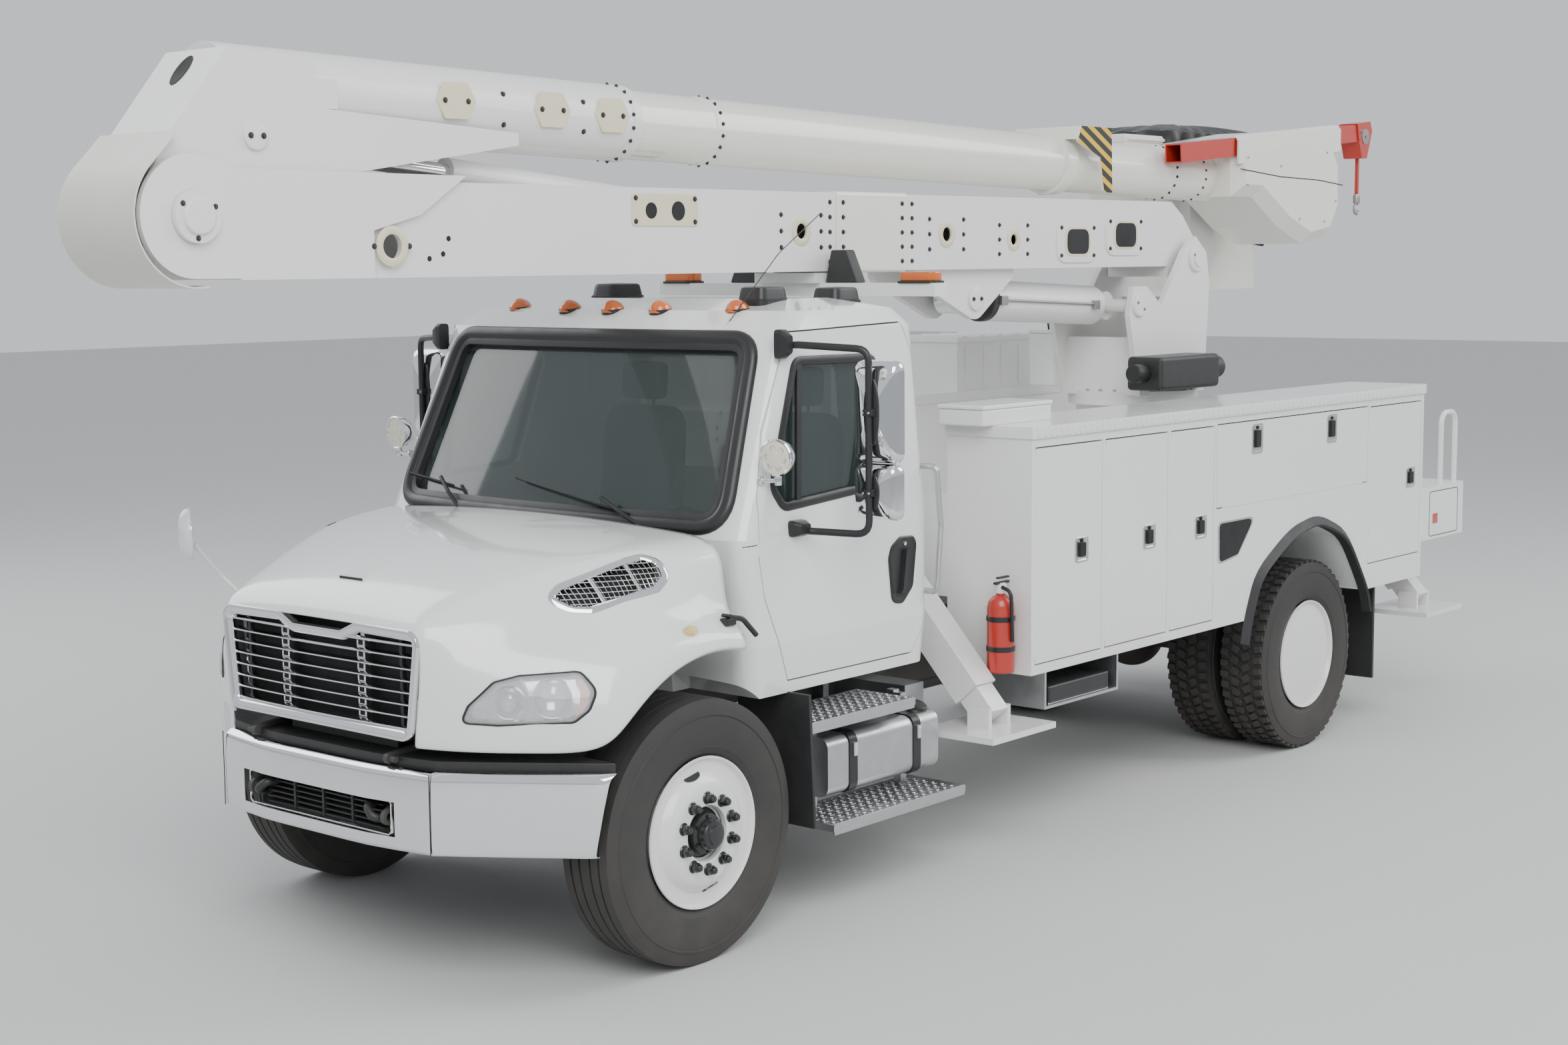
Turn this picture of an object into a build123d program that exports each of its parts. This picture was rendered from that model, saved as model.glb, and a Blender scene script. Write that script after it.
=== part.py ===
from build123d import *
import os
from math import atan2, cos, degrees, hypot, radians, sin

os.makedirs("parts", exist_ok=True)

# Bucket truck with an elbow boom. Millimetres, +X forward, +Y to the left, +Z up.
# The origin is on the ground under the middle of the truck's length.
# Stations, the x values below, are measured forward from the front axle.

# Chassis
front_axle_x = 2810
wheelbase = 5017
axle_height = 530
rail_half_width = 432
rail_depth = 270
rail_top = 970
rail_flange = 82
rail_wall = 8
rail_front = 800
rail_rear = -6860
pin_clearance = 0.8
door_gap = 6
swing_gap = 6
hinge_pin_radius = 2.7
seat_gap = 0.3
rear_axle = -wheelbase

# Wheels and tyres
tyre_half_width = 140
tyre_wall = 26
rim_radius = 298
rim_well_radius = 255
rim_half_width = 105
rim_wall = 9
front_wheel_y = 1025
rear_outer_y = 1015
rear_inner_y = 680
hub_radius = 92
lug_circle = 142.9
lug_count = 10
lug_radius = 19
spindle_radius = 38
drum_radius = 205
kingpin_y = 850
kingpin_radius = 24

# Cab
cab_floor = 985
cab_wall = 58
cab_front = -300
cab_rear = -1570
cab_half_width = 1100
glass_thickness = 6
door_front = -410
door_rear = -1500

# Hood
hood_rear = -215
hood_wall = 24
hood_bottom = 930
fender_half_width = 1200
arch_radius = 715
liner_thickness = 14
hood_hinge = (950, 893)
hood_hinge_radius = 12
tyre_sweep = 625

# Service body
body_front = -2192
body_rear = -6339
body_half_width = 1200
cabinet_depth = 480
cabinet_bottom = 830
cabinet_top = 1930
cabinet_wall = 26
lid_height = 55
deck_bottom = 1160
deck_thickness = 30
rear_arch_radius = 690
shelf_rear = -6930
shelf_top = 1357
shelf_bottom = 1035

# Outriggers
front_outrigger = -1970
rear_outrigger = -6430
leg_angle = 48
leg_size = 120
leg_wall = 10
leg_clearance = 6
housing_wall = 10
leg_length = 1110
foot_y = 1120
foot_z = 690
foot_plate = 28

# Turntable and booms
turntable_x = -5000
ring_radius = 377
column_radius = 330
column_top = 1910
ring_thickness = 40
table_bottom = column_top + ring_thickness + seat_gap
table_thickness = 40
tower_inner = 240
tower_plate = 32
boom_pin = (-5236, 2742)
boom_pin_radius = 45
lift_base_pin = (-4613, 2481)
lift_ear_pin = (-3209, 2546)
lift_pin_radius = 38
boom_half_width = 200
boom_bottom = 2700
boom_top = 3070
boom_wall = 12
elbow_pin = (1589, 2926)
elbow_pin_radius = 50
elbow_lobe_radius = 220
elbow_plate = 25
guard_radius = 248
guard_thickness = 6
guard_half_width = 238
neck_half_width = 185
neck_plate = 16
upper_pin = (1291, 3218)
tube_radius = 150
sleeve_radius = 163
upper_slope = 1.35
tube_start = (0, 3368)
shaft_station = -6400
shaft_height = 3200
shaft_radius = 60
bucket_side = -450


def at(x, y, z):
    """A point at station x."""
    return (front_axle_x + x, y, z)


def side_plane(y=0):
    """An upright plane along the truck at y: local x is the station, local y the height."""
    return Plane(origin=at(0, y, 0), x_dir=(1, 0, 0), z_dir=(0, -1, 0))


def level_plane(z):
    """A level plane at height z: local x is the station, local y the distance to the left."""
    return Plane(origin=at(0, 0, z), x_dir=(1, 0, 0), z_dir=(0, 0, 1))


def cross_plane(x):
    """An upright plane across the truck at station x: local x is to the left, local y up."""
    return Plane(origin=at(x, 0, 0), x_dir=(0, 1, 0), z_dir=(1, 0, 0))


def block(x, y, z, mode=Mode.ADD):
    """A block over three spans, each a pair of limits."""
    with Locations(at(sum(x) / 2, sum(y) / 2, sum(z) / 2)):
        Box(abs(x[1] - x[0]), abs(y[1] - y[0]), abs(z[1] - z[0]), mode=mode)


def plate(plane, points, depth, radius=0, mode=Mode.ADD):
    """A plate with the outline of points, its corners rounded, raised from the plane."""
    with BuildSketch(plane) as outline:
        with BuildLine():
            Polyline(*points, close=True)
        make_face()
        if radius:
            fillet(outline.vertices(), radius)
    extrude(outline.sketch, amount=depth, mode=mode)


def across(points, y_low, y_high, radius=0, mode=Mode.ADD):
    """A plate with a side outline, from y_low to y_high."""
    plate(side_plane(y_high), points, y_high - y_low, radius, mode)


def rod_y(x, z, radius, y_low, y_high, mode=Mode.ADD):
    """A round bar across the truck."""
    with BuildSketch(side_plane(y_high)) as outline:
        with Locations((x, z)):
            Circle(radius)
    extrude(outline.sketch, amount=y_high - y_low, mode=mode)


def link_outline(points, radii):
    """A sketch of discs at points, joined by their common tangents."""
    with BuildSketch() as outline:
        for (x, z), radius in zip(points, radii):
            with Locations((x, z)):
                Circle(radius)
        make_hull(outline.edges())
    return outline.sketch


def link(points, radii, y_low, y_high, mode=Mode.ADD):
    """A plate round discs at side points, from y_low to y_high."""
    extrude(side_plane(y_high) * link_outline(points, radii), amount=y_high - y_low, mode=mode)


def tube_along(points, radius, bend):
    """A round tube along points, bent at a radius."""
    with BuildLine() as route:
        FilletPolyline(*points, radius=bend)
    with BuildSketch(Plane(origin=route.line @ 0, z_dir=route.line % 0)) as section:
        Circle(radius)
    sweep(section.sketch, path=route.line)


def save(piece, name):
    """Label a finished piece and write it."""
    piece.label = name
    export_step(piece, f"parts/{name}.step")


sides = (("left", 1), ("right", -1))
wheel_stations = (("front", 0), ("rear", -wheelbase))


# Frame rails: two channels with their flanges inwards, and crossmembers between them.
radiator_rear = 745
crossmember_length = 80
crossmembers = (radiator_rear - crossmember_length / 2, -1570, -2400, -3400, -4350, -5700, -6250, -6815)
tow_hook = (960, 668)
tow_hook_radius = 17
tow_hook_inner = 402
tow_hook_plate = 22
chain_eye = (-6925, 668)
chain_eye_radius = 17
chain_eye_inner = 260
chain_eye_plate = 22
hitch_plate = 20
hitch_height = 680
hitch_spacing_y = 85.7
hitch_spacing_z = 44.5
hitch_hole_radius = 7
with BuildPart() as frame_rails:
    for side in (1, -1):
        web = side * rail_half_width
        block((rail_front, rail_rear), (web, web - side * rail_wall), (rail_top - rail_depth, rail_top))
        for z in (rail_top - rail_wall, rail_top - rail_depth):
            block((rail_front, rail_rear), (web, web - side * rail_flange), (z, z + rail_wall))
    for x in crossmembers:
        inner = rail_half_width - rail_wall
        block((x - crossmember_length / 2, x + crossmember_length / 2), (-inner, inner),
              (rail_top - rail_depth + 40, rail_top - 40))
    for side in (1, -1):
        low, high = sorted((side * tow_hook_inner, side * (tow_hook_inner + tow_hook_plate)))
        link([tow_hook, (780, 730)], [32, 30], low, high)
        rod_y(tow_hook[0], tow_hook[1], tow_hook_radius, low, high, mode=Mode.SUBTRACT)
        link([hood_hinge, (750, 915)], [20, 18], low, high)
        low, high = sorted((side * tow_hook_inner, side * 458))
        rod_y(hood_hinge[0], hood_hinge[1], hood_hinge_radius, low, high)
        low, high = sorted((side * chain_eye_inner, side * (chain_eye_inner + chain_eye_plate)))
        link([chain_eye, (-6870, 668)], [34, 34], low, high)
        rod_y(chain_eye[0], chain_eye[1], chain_eye_radius, low, high, mode=Mode.SUBTRACT)
    block((rail_rear, rail_rear - hitch_plate), (-rail_half_width, rail_half_width), (620, rail_top))
    with BuildSketch(cross_plane(rail_rear - hitch_plate)) as hitch_holes:
        with Locations((0, hitch_height)):
            with GridLocations(hitch_spacing_y, hitch_spacing_z, 2, 2):
                Circle(hitch_hole_radius)
    extrude(hitch_holes.sketch, amount=hitch_plate, mode=Mode.SUBTRACT)
save(frame_rails.part, "frame_rails")

# Front bumper: one bent shell, polished at both ends, with a slot in its lower middle.
bumper_nose = 1000
bumper_corner = (947, 638)
bumper_end = (560, 1200)
bumper_wall = 30
bumper_top = 868
bumper_bottom = 547


def bumper_outline(inset):
    """The bumper's outline from above, moved back by inset."""
    return [(bumper_nose - inset, -300), (bumper_nose - inset, 300), (bumper_corner[0] - inset, bumper_corner[1]),
            (bumper_end[0] - inset, bumper_end[1]), (300, bumper_end[1]), (300, -bumper_end[1]),
            (bumper_end[0] - inset, -bumper_end[1]), (bumper_corner[0] - inset, -bumper_corner[1])]


with BuildPart() as front_bumper:
    plate(level_plane(bumper_bottom), bumper_outline(0), bumper_top - bumper_bottom)
    plate(level_plane(bumper_bottom), bumper_outline(bumper_wall), bumper_top - bumper_bottom, mode=Mode.SUBTRACT)
    block((200, bumper_end[0] - bumper_wall - 60), (-1300, 1300), (bumper_bottom, bumper_top), mode=Mode.SUBTRACT)
    block((800, 1100), (-430, 430), (600, 735), mode=Mode.SUBTRACT)
    for side in (1, -1):
        block((rail_front, bumper_nose - bumper_wall), (side * 360, side * (tow_hook_inner - seat_gap)), (720, 860))
save(front_bumper.part, "front_bumper")

# Engine, gearbox and radiator as plain blocks, both axles, the leaf springs and the propeller shaft.
beam_z = 470
knuckle_boss = 41
spring_y = 470
front_spring_z = 600
rear_spring_z = 640


def leaf_spring(x, z, half_length, rise, y, depth):
    """A leaf pack: a bow of thick plates under the frame with an eye at each end."""
    with BuildSketch(side_plane(y + 38)) as bow:
        with BuildLine():
            ThreePointArc((x - half_length, z + rise), (x, z), (x + half_length, z + rise))
            Line((x + half_length, z + rise), (x + half_length, z + rise - 14))
            ThreePointArc((x + half_length, z + rise - 14), (x, z - depth), (x - half_length, z + rise - 14))
            Line((x - half_length, z + rise - 14), (x - half_length, z + rise))
        make_face()
    extrude(bow.sketch, amount=76)


with BuildPart() as running_gear:
    block((-240, radiator_rear - crossmember_length), (-300, 300), (740, 1290))
    block((-1480, -240), (-170, 170), (640, 900))
    block((radiator_rear, radiator_rear + 90), (-330, 330), (780, 1330))
    across([(-70, beam_z - 40), (70, beam_z - 40), (70, beam_z + 50), (-70, beam_z + 50)], -780, 780)
    for side in (1, -1):
        block((-38, 38), (side * 770, side * kingpin_y), (beam_z - 40, axle_height + 45))
        with Locations(at(0, side * kingpin_y, (beam_z + axle_height + 5) / 2)):
            Cylinder(knuckle_boss, axle_height - beam_z + 85)
            Cylinder(kingpin_radius + pin_clearance, 300, mode=Mode.SUBTRACT)
        leaf_spring(0, front_spring_z - 20, 680, 90, side * spring_y, 60)
        block((-75, 75), (side * spring_y - 45, side * spring_y + 45), (beam_z + 50, front_spring_z - 30))
        leaf_spring(-wheelbase, rear_spring_z + 20, 620, 60, side * spring_y, 70)
        for x in (-670, 670):
            block((x - 25, x + 25), (side * rail_half_width, side * 512), (640, 800))
        for x in (-wheelbase - 610, -wheelbase + 610):
            block((x - 25, x + 25), (side * rail_half_width, side * 512), (660, 820))
    rod_y(-wheelbase, axle_height, 62, -800, 800)
    for side in (1, -1):
        rod_y(-wheelbase, axle_height, spindle_radius, side * 890 - 95, side * 890 + 95)
        block((-wheelbase - 80, -wheelbase + 80), (side * spring_y - 45, side * spring_y + 45), (axle_height, 600))
    with Locations(at(-wheelbase, 0, axle_height)):
        Sphere(190)
    with BuildSketch(cross_plane(-wheelbase + 150)) as shaft:
        with Locations((0, axle_height + 30)):
            Circle(48)
    extrude(shaft.sketch, amount=wheelbase - 150 - 1480)
save(running_gear.part, "running_gear")

# Cab sections at rising heights: floor, hinge line, belt, top of the glass, roof edge, crown.
# Columns: height, front at the middle, front at the corner, rear, half width.
cab_sections = (
    (cab_floor, cab_front, cab_front - 60, cab_rear, cab_half_width - 25),
    (1200, cab_front + 20, cab_front - 50, cab_rear, cab_half_width),
    (1640, cab_front + 90, cab_front - 20, cab_rear, cab_half_width),
    (2470, cab_front - 275, cab_front - 360, cab_rear + 15, cab_half_width - 70),
    (2545, cab_front - 400, cab_front - 500, cab_rear + 60, cab_half_width - 130),
    (2590, cab_front - 650, cab_front - 720, cab_rear + 220, cab_half_width - 360),
)


cab_corner_radius = 95


def cab_form(inset):
    """The cab's outer form, or the form inside it by inset."""
    last = len(cab_sections) - 1
    with BuildPart() as form:
        for row, (z, middle, corner, rear, half) in enumerate(cab_sections):
            lift = inset if row == 0 else -inset if row == last else 0
            with BuildSketch(level_plane(z + lift)):
                with BuildLine():
                    half_in = half - inset
                    corner_in = corner - inset
                    rear_in = rear + inset
                    ThreePointArc((corner_in, -half_in), (middle - inset, 0), (corner_in, half_in))
                    Polyline((corner_in, half_in), (rear_in, half_in), (rear_in, -half_in), (corner_in, -half_in))
                outline = make_face()
                fillet(outline.vertices(), cab_corner_radius - inset)
        loft(ruled=True)
    return form.part


cab_outside = cab_form(0)
cab_inside = cab_form(cab_wall)
glass_outside = cab_form(cab_wall / 2 - glass_thickness / 2)
glass_inside = cab_form(cab_wall / 2 + glass_thickness / 2)

door_outline = [(-600, 1040), (-440, 1400), (door_front, 1560), (door_front, 1640), (-425, 1800), (-505, 2060), (-690, 2460),
                (-1430, 2480), (door_rear, 2330), (door_rear, 1150), (-1430, 1040)]
door_window = [(-705, 2345), (-510, 1840), (-570, 1755), (-1080, 1790), (-1250, 2340)]
door_inner_y = 930
door_depth = 320
windscreen_outline = [(-985, 1690), (985, 1690), (890, 2430), (-890, 2430)]
rear_window_outline = [(-640, 1780), (640, 1780), (600, 2300), (-600, 2300)]


def grown(points, step):
    """A closed outline moved outwards by step, or inwards if step is negative."""
    with BuildSketch() as outline:
        with BuildLine():
            Polyline(*points, close=True)
        make_face()
        offset(amount=step, kind=Kind.INTERSECTION)
    return outline.sketch


def prism(plane, sketch, depth, mode=Mode.ADD):
    """A sketch set on a plane and raised by depth."""
    extrude(plane * sketch, amount=depth, mode=mode)


window_radius = 60
wheelhouse_inner = 690
with BuildPart() as wheelhouse:
    for side in (1, -1):
        low, high = sorted((side * (wheelhouse_inner - liner_thickness), side * 1300))
        rod_y(0, axle_height, tyre_sweep + liner_thickness, low, high)
    for side in (1, -1):
        low, high = sorted((side * wheelhouse_inner, side * 1300))
        rod_y(0, axle_height, tyre_sweep, low, high, mode=Mode.SUBTRACT)
    add(cab_outside, mode=Mode.INTERSECT)

with BuildPart() as cab_shell:
    add(cab_outside)
    add(cab_inside, mode=Mode.SUBTRACT)
    for start in (door_inner_y + door_depth, -door_inner_y):
        prism(side_plane(start), grown(door_outline, door_gap), door_depth, mode=Mode.SUBTRACT)
    plate(cross_plane(-1000), windscreen_outline, 1100, window_radius, Mode.SUBTRACT)
    plate(cross_plane(-1700), rear_window_outline, 300, window_radius, Mode.SUBTRACT)
    for side in (1, -1):
        for x in (-500, -1400):
            block((x - 60, x + 60), (side * 350, side * 430), (rail_top, cab_floor + 5))
        low, high = sorted((side * wheelhouse_inner, side * 1300))
        rod_y(0, axle_height, tyre_sweep, low, high, mode=Mode.SUBTRACT)
        with Locations(at(door_front + door_gap / 2, side * cab_half_width, (1570 + 1630) / 2)):
            Cylinder(hinge_pin_radius, 60)
        for z in (1570, 1618):
            block((door_front + door_gap / 2, door_front + door_gap + 8),
                  (side * (cab_half_width - 8), side * (cab_half_width - 1)), (z, z + 12))
    add(wheelhouse.part)
save(cab_shell.part, "cab_shell")

with BuildPart() as window_openings:
    plate(cross_plane(-1000), windscreen_outline, 1100, window_radius)
    plate(cross_plane(-1700), rear_window_outline, 300, window_radius)

with BuildPart() as cab_glass:
    add(glass_outside)
    add(glass_inside, mode=Mode.SUBTRACT)
    add(window_openings.part, mode=Mode.INTERSECT)
save(cab_glass.part, "cab_glass")

# Fuel tanks with their steps, the fluid tank, battery box, wheel flares, mud flaps and stowed pads.
tank_front = -880
tank_rear = -1660
tank_low = 480
tank_high = 740
step_outer = body_half_width - 10
flap_front = rear_axle - 823
pad_box_front = -2320
pad_box_rear = -2960
pad_box_inner = body_half_width - 440
pad_box_outer = body_half_width - 10
with BuildPart() as chassis_fittings:
    for side in (1, -1):
        inner_y = side * (rail_half_width + seat_gap)
        tank_end = [(inner_y, tank_low), (side * 1060, tank_low), (side * 1060, tank_high), (inner_y, tank_high)]
        plate(cross_plane(tank_rear), tank_end, tank_front - tank_rear, 50)
        block((-660, -1400), (side * 800, side * 1130), (815, 845))
        block((-760, -1690), (side * 860, side * step_outer), (380, 410))
        for x in (-930, -1560):
            block((x - 20, x + 20), (side * 900, side * 940), (400, 820))
            block((x - 20, x + 20), (side * 860, side * 900), (tank_high - 10, 830))
            block((x - 20, x + 20), (inner_y, side * 490), (tank_high - 50, 820))
        block((-1690, -1830), (inner_y, side * 850), (480, 820))
        low, high = sorted((side * 560, side * 1140))
        across([(flap_front, 270), (flap_front - 16, 270), (flap_front - 16, cabinet_bottom),
                (flap_front, cabinet_bottom)], low, high)
        for x in (pad_box_front, pad_box_rear + 14):
            block((x, x - 14), (side * pad_box_inner, side * pad_box_outer), (650, cabinet_bottom))
        block((pad_box_front, pad_box_rear), (side * pad_box_inner, side * pad_box_outer), (650, 664))
        block((pad_box_front, pad_box_rear), (side * pad_box_inner, side * (pad_box_inner + 14)),
              (650, cabinet_bottom))
        block((pad_box_front - 60, pad_box_rear + 60), (side * (pad_box_inner + 30), side * (pad_box_outer - 20)),
              (664, 746))
        low, high = sorted((side * 800, side * (body_half_width - 8)))
        across([(-632, 425), (-640, 425), (-612, 985), (-604, 985)], low, high)
        block((-606, -634), (inner_y, side * 810), (950, 975))
        handle = [at(-1530, side * 1000, 1852), at(-1530, side * 1150, 1852), at(-1562, side * 1150, 1586),
                  at(-1530, side * 1150, 1300), at(-1530, side * 1000, 1300)]
        tube_along(handle, 13, 25)
    add(cab_outside, mode=Mode.SUBTRACT)
save(chassis_fittings.part, "chassis_fittings")

# Two seats, the dashboard and the steering wheel.
seat_stations = ((-1290, 480), (-1290, -480))
with BuildPart() as cab_interior:
    floor = cab_floor + cab_wall
    for x, y in seat_stations:
        block((x, x + 420), (y - 200, y + 200), (floor, floor + 230))
        block((x - 20, x + 500), (y - 250, y + 250), (floor + 230, floor + 380))
        across([(x - 130, floor + 380), (x + 20, floor + 380), (x - 60, floor + 1060), (x - 150, floor + 1060)],
               y - 240, y + 240)
        across([(x - 150, floor + 1080), (x - 70, floor + 1080), (x - 80, floor + 1250), (x - 140, floor + 1250)],
               y - 130, y + 130)
        block((x - 125, x - 95), (y - 60, y + 60), (floor + 1050, floor + 1090))
    across([(-370, floor), (-370, 1560), (-470, 1640), (-640, 1600), (-660, 1350), (-560, 1250), (-520, floor)],
           -960, 960)
    column_base = Plane(origin=at(-600, 480, 1420), x_dir=(0, 1, 0), z_dir=(-0.75, 0, 0.66))
    with BuildSketch(column_base) as column:
        Circle(35)
    extrude(column.sketch, amount=190)
    with BuildSketch(column_base.offset(185)) as wheel_rim:
        Circle(225)
        Circle(195, mode=Mode.SUBTRACT)
        Rectangle(400, 40)
    extrude(wheel_rim.sketch, amount=25)
    rod_y(0, axle_height, tyre_sweep + liner_thickness + 2, -1300, 1300, mode=Mode.SUBTRACT)
    add(cab_inside, mode=Mode.INTERSECT)
save(cab_interior.part, "cab_interior")

# Amber lamps on the roof and at both ends of the boom rest.
roof_lamps = ((-760, 0, 2545), (-760, 279, 2540), (-760, -279, 2540), (-860, 650, 2540), (-860, -650, 2540))
lamp_height = 45
rest_x = -1955
rest_beam_low = 2585
rest_beam_high = 2645
with BuildPart() as amber_lamps:
    for x, y, z in roof_lamps:
        with BuildSketch(level_plane(z)) as lamp:
            with Locations((x, y)):
                SlotOverall(130, 60)
        extrude(lamp.sketch, amount=lamp_height, taper=15)
    add(cab_outside, mode=Mode.SUBTRACT)
    for side in (1, -1):
        block((rest_x - 60, rest_x + 60), (side * 640, side * 850), (rest_beam_high, rest_beam_high + lamp_height))
save(amber_lamps.part, "amber_lamps")

# Hood sections from the grille to the windscreen: a crowned top, a rounded shoulder, a waist, and the fender's crest.
# Columns: station, crown height, then y and z of the shoulder, corner, waist, hip, crest and side.
hood_sections = (
    (958, 1398, (572, 1390), (606, 1366), (608, 1290), (604, 1215), (598, 1120), (592, 1040)),
    (860, 1487, (598, 1460), (662, 1408), (702, 1305), (762, 1213), (784, 1130), (792, 1060)),
    (720, 1548, (628, 1515), (712, 1462), (795, 1352), (900, 1258), (968, 1140), (990, 1060)),
    (560, 1602, (680, 1562), (785, 1512), (885, 1404), (1015, 1302), (1118, 1190), (1165, 1080)),
    (180, 1672, (830, 1638), (970, 1600), (1040, 1468), (1122, 1358), (1188, 1312), (1204, 1262)),
    (hood_rear, 1702, (940, 1668), (1068, 1626), (1084, 1490), (1100, 1376), (1178, 1322), (1204, 1262)),
)


def hood_form(inset, front_inset):
    """The hood's outer form, or the space inside it, which has no floor."""
    low = hood_bottom - (400 if inset else 0)
    with BuildPart() as form:
        for x, crown, *rows in hood_sections:
            station = x - front_inset if x > 0 else x - front_inset * 2
            shoulder, corner, waist, hip, crest, side = [(y - inset, z - inset) for y, z in rows]
            with BuildSketch(cross_plane(station)) as section:
                with BuildLine():
                    ThreePointArc((-shoulder[0], shoulder[1]), (0, crown - inset), shoulder)
                    ThreePointArc(shoulder, corner, waist)
                    Line(waist, hip)
                    ThreePointArc(hip, crest, side)
                    Polyline(side, (side[0], low), (0, low))
                    for chain in ((shoulder, corner, waist), (hip, crest, side)):
                        ThreePointArc(*[(-y, z) for y, z in chain])
                    Line((-waist[0], waist[1]), (-hip[0], hip[1]))
                    Polyline((-side[0], side[1]), (-side[0], low), (0, low))
                make_face()
        loft(ruled=True)
    return form.part


hood_outside = hood_form(0, 0)
hood_inside = hood_form(hood_wall, hood_wall)
grille_outline = [(-545, 985), (545, 985), (594, 1370), (230, 1370), (120, 1345), (-120, 1345), (-230, 1370),
                  (-594, 1370)]

with BuildPart() as wheel_liner:
    for side in (1, -1):
        low, high = sorted((side * 760, side * 1300))
        rod_y(0, axle_height, arch_radius + liner_thickness, low, high)
        rod_y(0, axle_height, arch_radius, low, high, mode=Mode.SUBTRACT)
    add(hood_outside, mode=Mode.INTERSECT)

with BuildPart() as hood:
    add(hood_outside)
    add(hood_inside, mode=Mode.SUBTRACT)
    plate(cross_plane(850), grille_outline, 300, mode=Mode.SUBTRACT)
    for side in (1, -1):
        low, high = sorted((side * 600, side * 1300))
        rod_y(0, axle_height, arch_radius, low, high, mode=Mode.SUBTRACT)
    add(wheel_liner.part)
    for side in (1, -1):
        low, high = sorted((side * 430, side * 455))
        link([hood_hinge, (910, 955)], [20, 22], low, high)
        rod_y(hood_hinge[0], hood_hinge[1], hood_hinge_radius + pin_clearance, low, high, mode=Mode.SUBTRACT)
    block((880, 960), (-600, 600), (hood_bottom, 975))
save(hood.part, "hood")

# Grille bars, headlamps and side vents.
# Outlines of a headlamp, seen square to the front corner, and of a side vent, seen from the side.
lamp_proud = 9
lamp_centre = (1000, 1300)
lamp_outline = [(-305, 1058), (-167, 1052), (116, 1062), (173, 1104), (202, 1172), (141, 1240), (-85, 1230),
                (-180, 1208), (-276, 1120)]
vent_outline = [(505, 1488), (460, 1452), (400, 1446), (125, 1503), (70, 1540), (75, 1592), (115, 1611), (180, 1600),
                (455, 1522)]
with BuildPart() as lamp_form:
    for side in (1, -1):
        facing = Plane(origin=at(lamp_centre[0], side * lamp_centre[1], 0), x_dir=(-1, side, 0), z_dir=(side, 1, 0))
        plate(facing, lamp_outline, -side * 900, 12)
        low, high = sorted((side * 700, side * 1250))
        across(vent_outline, low, high, 12)
    add(hood_form(-lamp_proud, -lamp_proud), mode=Mode.INTERSECT)
    add(hood_outside, mode=Mode.SUBTRACT)
grille_bars = 8
grille_low = 1003
grille_pitch = 46
with BuildPart() as hood_trim:
    for index in range(grille_bars):
        z = grille_low + index * grille_pitch
        half = 545 + (z - 7 - 985) * 49 / 385 - seat_gap
        block((915, 950), (-half, half), (z - 7, z + 7))
    for y in (-230, 230, -500, 500):
        block((900, 915), (y - 12, y + 12), (988, 1340))
    add(lamp_form.part)
save(hood_trim.part, "hood_trim")

# Cab doors with their windows cut, each door's glass, and its mirrors on a bent tube.
mirror_tube = 14
mirror_y = 1375
for name, side in sides:
    low = door_inner_y if side > 0 else -door_inner_y - door_depth
    with BuildPart() as door:
        add(cab_outside)
        add(cab_inside, mode=Mode.SUBTRACT)
        across(door_outline, low, low + door_depth, mode=Mode.INTERSECT)
        across(door_window, low, low + door_depth, window_radius, Mode.SUBTRACT)
        prism(cross_plane(-1000), grown(windscreen_outline, door_gap), 1100, Mode.SUBTRACT)
    save(door.part, f"cab_door_{name}")
    with BuildPart() as glass:
        add(glass_outside)
        add(glass_inside, mode=Mode.SUBTRACT)
        across(door_window, low, low + door_depth, window_radius, Mode.INTERSECT)
    save(glass.part, f"door_glass_{name}")
    mirror_route = [at(-740, side * 1010, 2400), at(-770, side * mirror_y, 2392), at(-800, side * mirror_y, 1655),
                    at(-740, side * 1060, 1660)]
    with BuildPart() as mirrors:
        tube_along(mirror_route, mirror_tube, 45)
        for z_low, z_high in ((1930, 2350), (1700, 1900)):
            block((-850, -900), (side * 1265, side * 1485), (z_low, z_high))
            block((-785, -852), (side * (mirror_y - 12), side * (mirror_y + 12)), (z_low + 60, z_high - 60))
        add(cab_outside, mode=Mode.SUBTRACT)
    save(mirrors.part, f"mirrors_{name}")

# Steering knuckles, each on its kingpin, with the brake drum and the wheel's spindle.
for name, side in sides:
    y = side * kingpin_y
    with BuildPart() as knuckle:
        with Locations(at(0, y, (beam_z + axle_height) / 2)):
            Cylinder(kingpin_radius, 250)
        for z in (beam_z - 82, axle_height + 52):
            block((-50, 50), (y - side * 45, y + side * 75), (z, z + 36))
        block((-50, 50), (y + side * (knuckle_boss + 7), y + side * 75), (beam_z - 82, axle_height + 88))
        low, high = sorted((y + side * 75, y + side * 125))
        rod_y(0, axle_height, drum_radius, low, high)
        low, high = sorted((y + side * 120, side * (front_wheel_y + 60)))
        rod_y(0, axle_height, spindle_radius, low, high)
    save(knuckle.part, f"knuckle_{name}")


def revolve_about_axle(points, station):
    """Turn an outline of radius and y values about the axle at a station."""
    with BuildSketch(Plane(origin=at(station, 0, axle_height), x_dir=(1, 0, 0), z_dir=(0, 0, 1))) as outline:
        with BuildLine():
            Polyline(*points, close=True)
        make_face()
    revolve(outline.sketch, axis=Axis(at(station, 0, axle_height), (0, 1, 0)))


# Half sections of a tyre and of a rim: radius, then y from the wheel's middle.
tyre_section = ((rim_radius - 13.9, 97), (rim_radius + 1, 98), (rim_radius + 5, 110), (330, 128),
                (415, tyre_half_width), (470, 136), (axle_height - 18, 122), (axle_height, 100))
rim_section = ((rim_radius, rim_half_width), (284, 100), (281, 62), (rim_well_radius, 40))


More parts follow.
